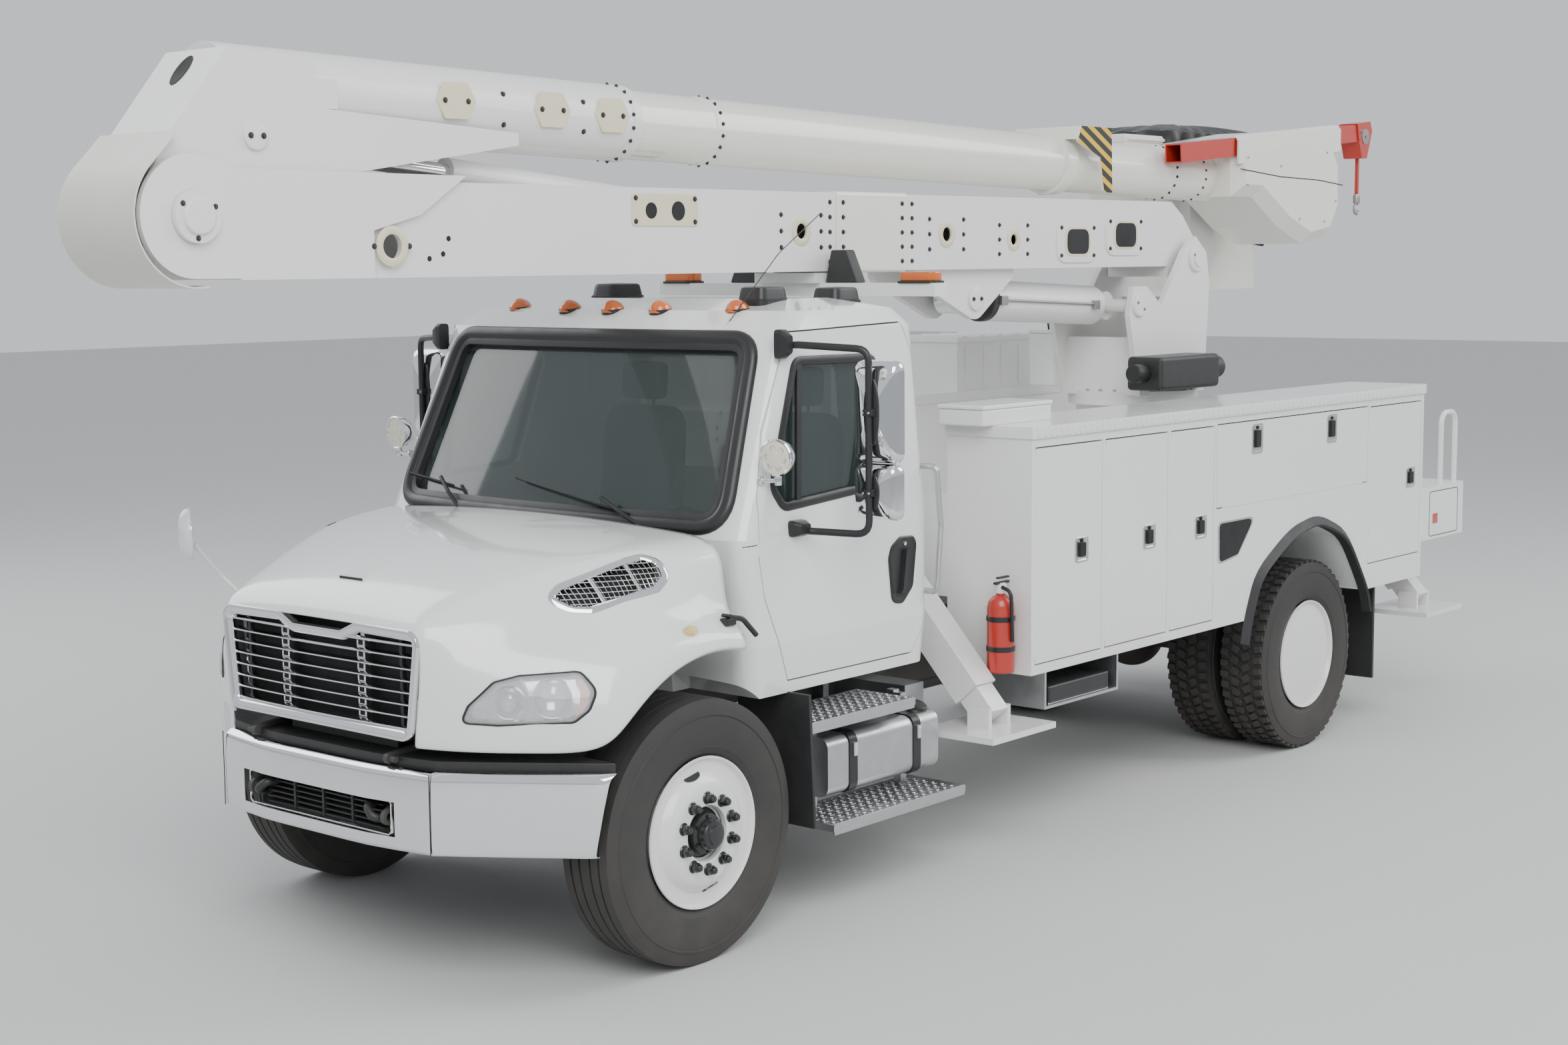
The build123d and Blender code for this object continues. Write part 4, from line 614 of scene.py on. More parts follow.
def surface(name, rows, material, thickness, levels, creases=()):
    """A smooth skin through mirrored rows of points, thickened inwards, as an object that can be measured."""
    form = bmesh.new()
    weights = form.edges.layers.float.new("crease_edge")
    for side in (1, -1):
        grid = [[form.verts.new(at(x, side * y, z)) for x, y, z in row] for row in rows]
        for low, high in zip(grid, grid[1:]):
            for column in range(len(low) - 1):
                corners = (low[column], high[column], high[column + 1], low[column + 1])
                form.faces.new(corners if side > 0 else corners[::-1])
        for row, weight in creases:
            for near, far in zip(grid[row], grid[row][1:]):
                form.edges.get((near, far))[weights] = weight
    bmesh.ops.remove_doubles(form, verts=form.verts, dist=0.0001)
    bmesh.ops.recalc_face_normals(form, faces=form.faces)
    mesh = bpy.data.meshes.new(name)
    form.to_mesh(mesh)
    form.free()
    mesh.materials.append(material)
    mesh.polygons.foreach_set("use_smooth", [True] * len(mesh.polygons))
    skin = in_scene(name, mesh)
    smoothing = skin.modifiers.new("smoothing", "SUBSURF")
    smoothing.levels = smoothing.render_levels = levels
    wall = skin.modifiers.new("wall", "SOLIDIFY")
    wall.thickness = thickness
    wall.offset = -1
    worked_out(skin)
    bpy.context.view_layer.update()
    return skin


def laid(skin, point, direction):
    """Where a line from a point meets a skin, and which way the skin faces there."""
    hit, place, facing, face = skin.ray_cast(Vector(point), Vector(direction))
    if not hit:
        raise ValueError(f"no skin along the line from {point}")
    return place, facing


def eased(outline, radius, steps=5):
    """A closed flat outline with its corners rounded."""
    points = []
    count = len(outline)
    for place in range(count):
        here = Vector(outline[place])
        back, on = Vector(outline[place - 1]) - here, Vector(outline[(place + 1) % count]) - here
        reach = min(radius / max(tan(back.angle(on, pi) / 2), 0.001), back.length * 0.48, on.length * 0.48)
        start, end = here + back.normalized() * reach, here + on.normalized() * reach
        for step in range(steps + 1):
            share = step / steps
            points.append(start * (1 - share) ** 2 + here * 2 * share * (1 - share) + end * share ** 2)
    return points


def rounded(x, z, half_x, half_z, radius, steps=5):
    """A rectangle's outline about its middle, with its corners rounded."""
    return eased(((x - half_x, z - half_z), (x + half_x, z - half_z), (x + half_x, z + half_z),
                  (x - half_x, z + half_z)), radius, steps)


hood = surface("hood_skin", HOOD_ROWS, cab_enamel, HOOD_SKIN, SKIN_LEVELS, creases=((SHOULDER_ROW, 0.35),))
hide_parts("hood")
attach(hood, "hood")

# Grille, headlamps and side vents: chromed plastic frames clipped into openings of the hood.
# Eight bowed bars cross the grille, each lamp has two bowls and an amber end, and square mesh fills the
# vents.
GRILLE_FACE = 0.955
GRILLE_FOOT = 0.985
GRILLE_LEAN = 0.02
GLASS_WALL = 0.003
GRILLE_OUTLINE = ((-0.548, 0.985), (0.548, 0.985), (0.596, 1.380), (0.240, 1.384), (0.150, 1.345),
                  (-0.150, 1.345), (-0.240, 1.384), (-0.596, 1.380))
GRILLE_CORNER = 0.050
SURROUND = ((-0.034, -0.055), (-0.030, -0.012), (-0.024, 0.000), (-0.012, 0.009), (0.004, 0.012),
            (0.012, 0.009), (0.016, 0.001), (0.016, -0.020), (-0.020, -0.055), (-0.034, -0.055))
BAR_COUNT = 8
BAR_LOW, BAR_PITCH = 1.020, 0.0455
BAR_BOW = 0.016
BAR_SECTION = ((-0.016, -0.006), (0.008, -0.0075), (0.013, -0.004), (0.013, 0.001), (0.006, 0.005),
               (-0.016, 0.007))
WEB_YS = (-0.235, 0.235)
LAMP_CENTRE = (1.000, 1.300)
# Outline of a headlamp on a plane square to the front corner: distance outwards and to the rear, and height.
LAMP_OUTLINE = ((-0.305, 1.058), (-0.167, 1.052), (0.116, 1.062), (0.173, 1.104), (0.202, 1.172),
                (0.141, 1.240), (-0.085, 1.230), (-0.180, 1.208), (-0.276, 1.120))
AMBER_OUTLINE = ((0.118, 1.082), (0.146, 1.094), (0.170, 1.130), (0.176, 1.172), (0.146, 1.212),
                 (0.122, 1.216), (0.140, 1.170), (0.136, 1.125))
# Shares of a lamp's outline, how far its glass stands out there, and how deep its tray lies.
LAMP_RINGS = ((1.0, 0.002, 0.004), (0.97, 0.007, 0.030), (0.90, 0.010, 0.050), (0.75, 0.012, 0.052),
              (0.5, 0.013, 0.054), (0.25, 0.013, 0.055), (0.03, 0.013, 0.055))
# Bowls of a lamp: place along its plane, height and radius.
BOWLS = ((-0.125, 1.130, 0.058), (0.035, 1.146, 0.072))
# Outline of a side vent, seen from the side: station and height.
VENT_OUTLINE = ((0.505, 1.488), (0.460, 1.452), (0.400, 1.446), (0.125, 1.503), (0.070, 1.540),
                (0.075, 1.592), (0.115, 1.611), (0.180, 1.600), (0.455, 1.522))
VENT_EDGE = ((-0.022, -0.008), (-0.020, 0.004), (-0.010, 0.009), (0.004, 0.008), (0.010, 0.003),
             (0.010, -0.004), (-0.022, -0.008))
MESH_PITCH = 0.0185
MESH_WIRE = 0.0020

chrome = finish("chrome", (0.85, 0.86, 0.87), (0.78, 0.79, 0.80), (0.03, 0.09), metal=1.0, cloud=2.5)
lamp_glass = finish("clear lamp glass", (0.80, 0.82, 0.84), (0.72, 0.74, 0.77), (0.02, 0.05),
                    coat=1.0, alpha=0.28)
lamp_bowl = finish("lamp reflector", (0.80, 0.81, 0.82), (0.70, 0.71, 0.72), (0.10, 0.22),
                   metal=1.0, cloud=6.0)
amber_lens = finish("amber lens", (0.85, 0.28, 0.03), (0.75, 0.22, 0.02), (0.08, 0.16), clear=0.2,
                    coat=0.9, cloud=8.0)
darkness = finish("unlit inside", (0.006, 0.006, 0.007), (0.010, 0.010, 0.010), (0.6, 0.8), cloud=6.0)


def cut(skin, tool):
    """Takes a tool piece's form out of a skin, and removes the tool."""
    cutter = loose(tool)
    taking = skin.modifiers.new("cut", "BOOLEAN")
    taking.operation = "DIFFERENCE"
    taking.solver = "EXACT"
    taking.object = cutter
    worked_out(skin)
    bpy.data.objects.remove(cutter)


def lamp_point(side, u, z, back=0.0):
    """A point on the headlamp's plane, moved back from it."""
    out, back = u / 2 ** 0.5, back / 2 ** 0.5
    return at(LAMP_CENTRE[0] - out - back, side * (LAMP_CENTRE[1] + out - back), z)


def drawn_in(outline, share):
    """An outline drawn in towards its middle."""
    middle = sum((Vector(point) for point in outline), Vector((0, 0))) / len(outline)
    return [middle + (Vector(point) - middle) * share for point in outline]


def inside_spans(outline, across, level):
    """Where a line at a level lies inside a flat outline; across is 0 for lines along x."""
    meets = []
    for near, far in zip(outline, outline[1:] + outline[:1]):
        low, high = near[1 - across], far[1 - across]
        if (low - level) * (high - level) < 0:
            meets.append(near[across] + (far[across] - near[across]) * (level - low) / (high - low))
    meets.sort()
    return list(zip(meets[::2], meets[1::2]))


trim = Piece("grille_lamps_and_vents", chrome, trim_black, lamp_bowl, darkness, amber_lens)
path = [at(GRILLE_FACE - (z - GRILLE_FOOT) * GRILLE_LEAN, y, z)
        for y, z in eased(GRILLE_OUTLINE, GRILLE_CORNER, 6)]
trim.band(path, SURROUND, 0, (1, 0, GRILLE_LEAN))
for index in range(BAR_COUNT):
    z = BAR_LOW + index * BAR_PITCH
    half = 0.520 + (z - GRILLE_FOOT) * 0.048 / 0.395
    for low, high in ((-half, half),) if z < 1.335 else ((-half, -0.17), (0.17, half)):
        rings = []
        for step in range(17):
            y = low + (high - low) * step / 16
            bow = BAR_BOW * (1 - (y / half) ** 2) - 0.020 - (z - GRILLE_FOOT) * GRILLE_LEAN
            rings.append([at(GRILLE_FACE + bow + ahead, y, z + rise) for ahead, rise in BAR_SECTION])
        trim.skin(rings, 0)
for y in WEB_YS:
    trim.block((0.905, 0.925), (y - 0.024, y + 0.024), (0.990, 1.365), 0, 0.002)
    for index in range(BAR_COUNT):
        z = BAR_LOW + (index - 0.5) * BAR_PITCH
        trim.block((0.920, 0.9262), (y - 0.014, y + 0.014), (z - 0.010, z + 0.010), 3, 0.001, 1)
for y in (-0.47, 0.47):
    trim.block((0.905, 0.925), (y - 0.008, y + 0.008), (0.990, 1.375), 1, 0.002)
trim.block((0.868, 0.872), (-0.56, 0.56), (0.960, 1.385), 3, 0.001)

glasses = Piece("headlamp_glasses", lamp_glass)
cutters = Piece("openings_for_lamps_and_vents", darkness)
for side in (1, -1):
    inward = Vector((-1, -side, 0)).normalized()
    outline = eased(LAMP_OUTLINE, 0.045, 6)
    rings = [[laid(hood, lamp_point(side, u, z), inward) for u, z in drawn_in(outline, share)]
             for share, out, deep in LAMP_RINGS]
    edge = rings[0] if side > 0 else rings[0][::-1]
    trim.band(edge, ((-0.010, -0.006), (-0.009, 0.004), (-0.003, 0.006), (0.004, 0.004), (0.006, -0.001),
                     (-0.010, -0.006)), 1)
    tray = [[place + inward * deep for place, facing in ring]
            for ring, (share, out, deep) in zip(rings, LAMP_RINGS)]
    trim.skin(tray + [[point + inward * GLASS_WALL for point in ring] for ring in reversed(tray)], 2,
              caps=False)
    shell = [[place + facing * out for place, facing in ring]
             for ring, (share, out, deep) in zip(rings, LAMP_RINGS)]
    glasses.skin(shell[::-1] + [[point + inward * GLASS_WALL for point in ring] for ring in shell])
    for u, z, radius in BOWLS:
        seat = laid(hood, lamp_point(side, u, z), inward)[0] + inward * 0.052
        facing_out = placed(seat, -inward)
        trim.turned(((radius * 0.16, 0.001), (radius * 0.5, 0.006), (radius * 0.8, 0.020), (radius, 0.040),
                     (radius * 1.04, 0.041), (radius * 1.04, 0.0)), facing_out, 2, sides=40, open_ends=True)
        trim.turned(((0.011, 0.0), (0.011, 0.022), (0.008, 0.028), (0.0005, 0.030)), facing_out, 0, sides=20)
    strip = [laid(hood, lamp_point(side, u, z), inward)[0] for u, z in AMBER_OUTLINE]
    trim.skin([[point + inward * deep for point in strip] for deep in (0.006, 0.044)], 4)
    cutters.skin([[lamp_point(side, u, z, back) for u, z in drawn_in(outline, 0.985)]
                  for back in (0.10, 0.62)])

    vent = eased(VENT_OUTLINE, 0.04, 6)
    sideways = Vector((0, -side, 0))
    edge = [laid(hood, at(x, side * 2, z), sideways) for x, z in vent]
    order = edge if side < 0 else edge[::-1]
    trim.band(order, VENT_EDGE, 0)
    inner = drawn_in(vent, 0.93)
    for across, low, high in ((0, 1.446, 1.611), (1, 0.07, 0.505)):
        count = int((high - low) / MESH_PITCH)
        for index in range(1, count + 1):
            level = low + index * MESH_PITCH
            for start, end in inside_spans(inner, across, level):
                steps = max(int((end - start) / 0.03), 2)
                places = []
                for step in range(steps + 1):
                    along = start + (end - start) * step / steps
                    x, z = (along, level) if across == 0 else (level, along)
                    places.append(laid(hood, at(x, side * 2, z), sideways)[0] + sideways * 0.004)
                trim.tube(places, MESH_WIRE, 0, corner=0.01, sides=4, steps=1)
    for x in (0.19, 0.34):
        for start, end in inside_spans(inner, 1, x):
            web = [laid(hood, at(x + shift, side * 2, z), sideways)[0] + sideways * -0.001
                   for shift, z in ((-0.006, start), (0.006, start), (0.006, end), (-0.006, end))]
            trim.skin([web, [point + sideways * 0.008 for point in web]], 0)
    back = [laid(hood, at(x, side * 2, z), sideways)[0] + sideways * 0.055 for x, z in drawn_in(vent, 1.05)]
    trim.skin([back, [point + sideways * 0.003 for point in back]], 3)
    cutters.skin([[at(x, side * y, z) for x, z in drawn_in(vent, 0.96)] for y in (1.3, 0.70)])
cut(hood, cutters)
trim.done("hood", smooth=32, stands_for=("hood_trim",))
glasses.done("hood", smooth=60)

# Small things on the hood: a black inlet, two marker lamps, rubber latches to the cab and a mirror over the
# right wheel. They are plastic and rubber mouldings, held by screws, and the mirror stands on a painted tube.
pale_amber = finish("pale amber lens", (0.75, 0.62, 0.28), (0.68, 0.55, 0.22), (0.10, 0.18),
                    coat=0.9, cloud=8.0)
small = Piece("hood_inlet_markers_latches", trim_black, pale_amber, chrome, cab_enamel)


def on_hood(x, y):
    """The top of the hood at a station, and the way it faces there."""
    return laid(hood, at(x, y, 3), (0, 0, -1))


inlet_height = on_hood(0.775, 0)[0].z
# Corners of the inlet's raised roof, as station, distance to the left and rise over the hood.
INLET = ((0.62, -0.020, 0.002), (0.62, 0.020, 0.002), (0.775, 0.075, 0.012), (0.775, -0.075, 0.012))
roof = [at(x, y, on_hood(x, y)[0].z + rise) for x, y, rise in INLET]
foot = [at(x, y, on_hood(x, y)[0].z - 0.006) for x, y, rise in INLET]
small.skin([foot, roof], 3)
mouth = [at(0.7765, y, inlet_height + z) for y, z in ((-0.070, -0.004), (0.070, -0.004), (0.070, 0.009),
                                                      (-0.070, 0.009))]
small.skin([mouth, [point + Vector((-0.012, 0, 0)) for point in mouth]], 0)
for side in (1, -1):
    seat = placed(*on_hood(0.07, side * 1.162))
    for share, low, high in ((1.0, -0.004, 0.006), (0.86, 0.005, 0.014), (0.6, 0.013, 0.018)):
        small.prism(ring_line(0.036 * share, 0.024 * share, 24), seat @ Matrix.Translation((0, 0, low)),
                    high - low, 1, 0.002, 2)
    height = on_hood(-0.150, side * 1.150)[0].z
    small.block((-0.185, -0.125), sorted((side * 1.135, side * 1.175)),
                (height - 0.010, height + 0.020), 0, 0.006)
    small.tube([at(-0.150, side * 1.155, height + 0.024), at(-0.215, side * 1.178, height + 0.012),
                at(-0.285, side * 1.188, height - 0.062)], 0.011, 0, corner=0.05, sides=10)
    small.tube([at(-0.145, side * 1.135, height + 0.030), at(-0.145, side * 1.180, height + 0.030)],
               0.008, 0, sides=8)
small.tube([at(0.41, -1.155, 1.245), at(0.415, -1.22, 1.300), at(0.47, -1.29, 1.39), at(0.60, -1.30, 1.545)],
           0.011, 3, corner=0.06, sides=12)
small.turned(((0.028, -0.002), (0.028, 0.006), (0.012, 0.012)), placed(at(0.41, -1.15, 1.25), (0, -0.7, 0.7)),
             3, sides=20)
head = placed(at(0.625, -1.300, 1.590), (-0.82, 0.57, 0.05), (0.57, 0.82, 0))
oval = ring_line(0.085, 0.112, 32)
rings = []
for share, depth in ((1.0, 0.012), (1.03, 0.004), (1.0, -0.010), (0.86, -0.030), (0.55, -0.043),
                     (0.05, -0.048)):
    rings.append([head @ Vector((x * share, z * share, depth)) for x, z in oval])
small.skin(rings, 3)
small.skin([[head @ Vector((x * share, z * share, depth)) for x, z in oval]
            for share, depth in ((0.93, 0.010), (0.93, 0.0135), (0.5, 0.0155), (0.02, 0.016))], 2)
small.done("hood")

# Front bumper: a folded steel shell, chromed and polished, with a slatted slot between its two tow hooks.
# Its ends are bolted on, and a black rubber strip closes the gap below the hood.
black_plastic = finish("black moulded plastic", (0.02, 0.02, 0.02), (0.03, 0.03, 0.03), (0.38, 0.5),
                       cloud=15.0, grain=0.1, grain_size=400)
# Plan of the bumper's face as stations and distances to the left.
BUMPER_PLAN = ((1.000, 0.0), (1.000, 0.20), (0.997, 0.32), (0.978, 0.47), (0.950, 0.628), (0.947, 0.640),
               (0.880, 0.742), (0.760, 0.915), (0.640, 1.085), (0.590, 1.156), (0.566, 1.185), (0.552, 1.198))
# The slot's half width and the heights of its edges.
SLOT = (0.43, 0.600, 0.735)
SLAT_COUNT = 6
# Heights of the bumper's folds, and how far each lies back; the slot is open above its fourth fold.
BUMPER_FOLDS = ((0.547, 0.030), (0.549, 0.010), (0.560, 0.002), (SLOT[1], 0.000), (SLOT[2], 0.000),
                (0.830, 0.004), (0.850, 0.010), (0.858, 0.020), (0.868, 0.034))
SLOT_ROW = 3


def bumper_point(step, height, back):
    """A point on the bumper's face at a step of its plan, on either side."""
    station, y = BUMPER_PLAN[abs(step)]
    draw = 0.16 * (0.868 - height) * min(max((y - 1.0) / 0.2, 0), 1)
    return at(station + draw * 0.7 - back, (y - draw) * (1 if step >= 0 else -1), height)


bumper = Piece("polished_bumper", chrome)
shell = bmesh.new()
steps = range(1 - len(BUMPER_PLAN), len(BUMPER_PLAN))
grid = [[shell.verts.new(bumper_point(step, height, back)) for step in steps]
        for height, back in BUMPER_FOLDS]
for row in range(len(BUMPER_FOLDS) - 1):
    for column in range(len(grid[0]) - 1):
        corners = (grid[row][column], grid[row][column + 1], grid[row + 1][column + 1], grid[row + 1][column])
        if row != SLOT_ROW or any(abs(corner.co.y) >= SLOT[0] + 0.05 for corner in corners):
            shell.faces.new(corners)
bumper.take(shell, 0)
polished = bumper.done("chassis", smooth=30, stands_for=("front_bumper",))
thick = polished.modifiers.new("sheet", "SOLIDIFY")
thick.thickness = 0.004
thick.offset = -1
polished.modifiers.move(len(polished.modifiers) - 1, 0)

slot_parts = Piece("bumper_slot_parts", black_plastic, chrome)
slot_parts.block((0.900, 0.912), (-0.44, 0.44), (0.585, 0.750), 0, 0.002)
for index in range(SLAT_COUNT):
    z = SLOT[1] + 0.012 + index * (SLOT[2] - SLOT[1] - 0.024) / (SLAT_COUNT - 1)
    slot_parts.block((0.912, 0.944), (-0.36, 0.36), (z - 0.0035, z + 0.0035), 0, 0.001, 1)
for y in (-0.18, 0.0, 0.18):
    slot_parts.block((0.914, 0.948), (y - 0.006, y + 0.006), (0.602, 0.733), 0, 0.001, 1)
slot_edge = [at(0.990 - 0.024 * (abs(y) > 0.42), y, z) for y, z in
             ((-0.44, 0.612), (-0.425, 0.600), (0.425, 0.600), (0.44, 0.612), (0.44, 0.725), (0.425, 0.737),
              (-0.425, 0.737), (-0.44, 0.725))]
for low, high in zip(slot_edge, slot_edge[1:] + slot_edge[:1]):
    slot_parts.tube([low, high], 0.006, 1, sides=8)
for side in (1, -1):
    slot_parts.tube([at(0.90, side * 0.30, 0.70), at(0.985, side * 0.315, 0.70),
                     at(0.995, side * 0.36, 0.665), at(0.935, side * 0.385, 0.650)], 0.017, 0,
                    corner=0.03, sides=12)
    slot_parts.tube([at(0.951, side * 0.642, 0.552), at(0.950, side * 0.642, 0.860)], 0.0022, 0, sides=6)
slot_parts.done("chassis")

step_plan = [(station - 0.050, y * 0.985) for station, y in BUMPER_PLAN]
step_outline = step_plan + [(0.50, 1.12), (0.50, -1.12)] + [(station, -y)
                                                            for station, y in reversed(step_plan)]
top_step = Piece("rubber_step_on_bumper", black_plastic)
top_step.prism(step_outline[:-1], Matrix.Translation(at(0, 0, 0.852)), 0.050, 0, 0.006, 2)
top_step.done("chassis")

# Cab: a welded steel shell in white enamel, rounded at its corners, with a steel roof.
# The windscreen sits in a thick rubber gasket, and two wipers park along its foot.
CAB_SIDE = 1.100
CAB_SIDE_TOP = 1.030
BELT, GLASS_TOP = 1.640, 2.470
# Windscreen opening: distance to the left and height.
SCREEN_OUTLINE = ((-0.985, 1.690), (0.985, 1.690), (0.890, 2.430), (-0.890, 2.430))
SCREEN_CORNER = 0.115
GASKET = ((-0.052, -0.022), (-0.050, 0.006), (-0.034, 0.010), (-0.022, 0.011), (-0.016, 0.020),
          (0.000, 0.026), (0.020, 0.025), (0.034, 0.017), (0.040, 0.004), (0.040, -0.008), (-0.052, -0.022))
# Wipers: pivot, elbow of the arm and ends of the blade, as distances to the left and heights above the hood
# line.
WIPERS = (((0.60, 1.668), (0.37, 1.765), (0.52, 1.715), (-0.19, 1.825)),
          ((-0.50, 1.672), (-0.68, 1.790), (-0.60, 1.765), (-1.0, 1.80)))

window_tint = finish("green tinted glass", (0.040, 0.058, 0.054), (0.030, 0.046, 0.043), (0.02, 0.05),
                     coat=1.0, alpha=0.55)
dress(cab_enamel, "cab_shell")
dress(window_tint, "cab_glass")
shell = nodes["cab_shell"]


def screen_place(y, z):
    """A point of the windscreen's surface and the way it faces."""
    def surface_at(y, z):
        share = (z - BELT) / (GLASS_TOP - BELT)
        middle, corner = -0.210 - 0.365 * share, -0.320 - 0.340 * share
        half = CAB_SIDE - (CAB_SIDE - CAB_SIDE_TOP) * share
        return at(corner + (middle - corner) * (1 - (y / half) ** 2), y, z)
    here = surface_at(y, z)
    facing = (surface_at(y + 0.01, z) - here).cross(surface_at(y, z + 0.01) - here).normalized()
    return here, facing


cab_trim = Piece("windscreen_gasket_and_wipers", trim_black, darkness)


def in_steps(outline, longest):
    """A closed outline with points added, so that no step of it is much longer than a length."""
    points = []
    for near, far in zip(outline, outline[1:] + outline[:1]):
        parts = max(int((far - near).length / longest), 1)
        points += [near.lerp(far, part / parts) for part in range(parts)]
    return points


cab_trim.band([screen_place(y, z) for y, z in in_steps(eased(SCREEN_OUTLINE, SCREEN_CORNER, 8), 0.08)],
              GASKET, 0)
for pivot, elbow, near_end, far_end in WIPERS:
    arm = []
    for (y, z), lift in ((pivot, 0.016), (elbow, 0.036)):
        place, facing = screen_place(y, z)
        arm.append(place + facing * lift)
    cab_trim.turned(((0.020, -0.02), (0.020, 0.012), (0.012, 0.022), (0.0005, 0.024)),
                    placed(arm[0] - Vector((0.02, 0, 0)), (0.5, 0, 0.85)), 0, sides=20)
    cab_trim.tube([arm[0], arm[0].lerp(arm[1], 0.5) + Vector((0.012, 0, 0.006)), arm[1]], 0.009,
                  0, corner=0.1, sides=8)
    blade = [screen_place(*Vector(near_end).lerp(Vector(far_end), step / 8)) for step in range(9)]
    cab_trim.tube([place + facing * 0.012 for place, facing in blade], 0.006, 0, corner=0.1, sides=6)
    cab_trim.tube([place + facing * (0.022 + 0.010 * (1 - abs(index - 4) / 4))
                   for index, (place, facing) in enumerate(blade)][1:-1], 0.0045, 0, corner=0.1, sides=6)
# Seams of the cab's panels, laid as dark lines of painted shade in the gaps between the panels.
for side in (1, -1):
    for line in (((-0.335, 1.615), (-0.415, 1.622)), ((-0.655, 2.455), (-0.690, 2.470))):
        points = []
        for step in range(5):
            x, z = Vector(line[0]).lerp(Vector(line[1]), step / 4)
            hit, place, facing, face = shell.ray_cast(at(x, side * 2, z), Vector((0, -side, 0)))
            if hit:
                points.append(place)
        if len(points) > 1:
            cab_trim.tube(points, 0.0022, 1, corner=0.01, sides=4, steps=1)
cab_trim.done("chassis", smooth=50)

# Roof: five amber marker lamps, three black domes over the roof's openings, and a sprung whip aerial.
# The lamps are half domes of clear amber plastic on a rubber pad; the boom rest's two beacons are of the same
# plastic.
ROOF_LAMPS = ((-0.700, 0.0), (-0.710, 0.279), (-0.710, -0.279), (-0.770, 0.668), (-0.770, -0.668))
# Domes: station, distance to the left, length, width and height.
ROOF_DOMES = ((-0.95, 0.66, 0.20, 0.16, 0.062), (-1.42, 0.68, 0.20, 0.16, 0.062),
              (-1.24, -0.50, 0.22, 0.18, 0.062))
AERIAL = (-0.56, 0.72)
# A lamp's half length ahead of its middle, its half width and its height, and how much longer it is behind.
LENS, LENS_TAIL = (0.046, 0.047, 0.055), 1.55
BEACON_X, BEACON_YS, BEACON_Z = -1.955, (0.745, -0.745), 2.645
amber_plastic = finish("amber plastic", (0.80, 0.18, 0.012), (0.62, 0.11, 0.008), (0.10, 0.2), coat=0.8,
                       cloud=14.0, clear=0.12)
lamps = Piece("amber_lamps_and_beacons", amber_plastic, trim_black)
roof_things = Piece("roof_domes_and_aerial", trim_black, chrome)


def on_roof(x, y):
    """The top of the cab's roof at a station."""
    return shell.ray_cast(at(x, y, 4), Vector((0, 0, -1)))[1]


for x, y in ROOF_LAMPS:
    seat = on_roof(x, y)
    rings = []
    for step in range(8):
        turn = pi / 2 * step / 8
        # Each lens runs back from its dome.
        rings.append([seat + Vector((LENS[0] * cos(turn) * ahead * (1 if ahead > 0 else LENS_TAIL),
                                     LENS[1] * cos(turn) * across, LENS[2] * sin(turn) - 0.012))
                      for ahead, across in ring_line(1, 1, 32)])
    lamps.skin(rings + [[seat + Vector((ahead, across, 0.043))
                         for ahead, across in ring_line(0.001, 0.001, 32)]], 0)
    lamps.turned(((0.053, -0.016), (0.053, 0.003), (0.047, 0.005)),
                 placed(seat + Vector((-0.008, 0, 0)), (0.06, 0, 1)), 1, sides=28)
for y in BEACON_YS:
    for slot_index, low, high, half_x, half_y in ((1, -0.002, 0.010, 0.060, 0.108),
                                                  (0, 0.008, 0.052, 0.052, 0.100)):
        lamps.prism(rounded(BEACON_X, y, half_x, half_y, 0.045), Matrix.Translation(at(0, 0, BEACON_Z + low)),
                    high - low, slot_index, 0.008 if slot_index == 0 else 0.002, 3)
lamps.done("chassis", smooth=50, stands_for=("amber_lamps",))
for x, y, length, width, height in ROOF_DOMES:
    seat = on_roof(x, y)
    rings = []
    for share, rise in ((1.0, -0.02), (1.0, 0.006), (0.93, 0.010), (0.86, height - 0.014),
                        (0.82, height - 0.004), (0.74, height), (0.05, height + 0.003)):
        half = (length / 2 * share, width / 2 * share)
        rings.append([seat + Vector((*point, rise)) for point in rounded(0, 0, *half, min(half) * 0.55, 4)])
    roof_things.skin(rings, 0)
seat = on_roof(AERIAL[0] - 0.04, AERIAL[1])
roof_things.turned(((0.022, -0.01), (0.022, 0.008), (0.012, 0.014), (0.010, 0.03), (0.014, 0.034),
                    (0.014, 0.044), (0.007, 0.05), (0.0045, 0.10)),
                   placed(seat, (-0.72, -0.06, 0.69)), 1, sides=18)
roof_things.tube([seat + Vector((-0.06, -0.004, 0.06)), seat + Vector((-0.42, -0.03, 0.35)),
                  seat + Vector((-0.72, -0.05, 0.52))], 0.0022, 0, corner=0.3, sides=6)
roof_things.done("chassis")

# Cab interior: two sprung seats with grey cloth cushions, a moulded dashboard and a steering wheel.
# The cushions are foam in sewn covers on steel boxes.
SEATS = ((-1.290, 0.480), (-1.290, -0.480))
SEAT_FLOOR = 1.033
# How full a cushion's face is, and the power that squares its outline.
PUFF = 0.25
SQUARENESS = 0.32
# Each seat's cushions: ahead of and above the seat's place, half sizes, and lean in degrees.
CUSHIONS = ((0.24, 0.305, (0.26, 0.245, 0.070), 0), (-0.075, 0.70, (0.345, 0.235, 0.060), -97),
            (-0.105, 1.16, (0.090, 0.125, 0.040), -95))
STEERING_RADIUS, STEERING_TUBE = 0.210, 0.014
seat_grey = finish("grey seat cloth", (0.060, 0.063, 0.066), (0.085, 0.088, 0.090), (0.8, 0.95), cloud=30.0,
                   grain=0.5, grain_size=600)
dash_grey = finish("grey dashboard", (0.075, 0.078, 0.08), (0.10, 0.10, 0.10), (0.5, 0.65), cloud=14.0,
                   grain=0.2, grain_size=500)


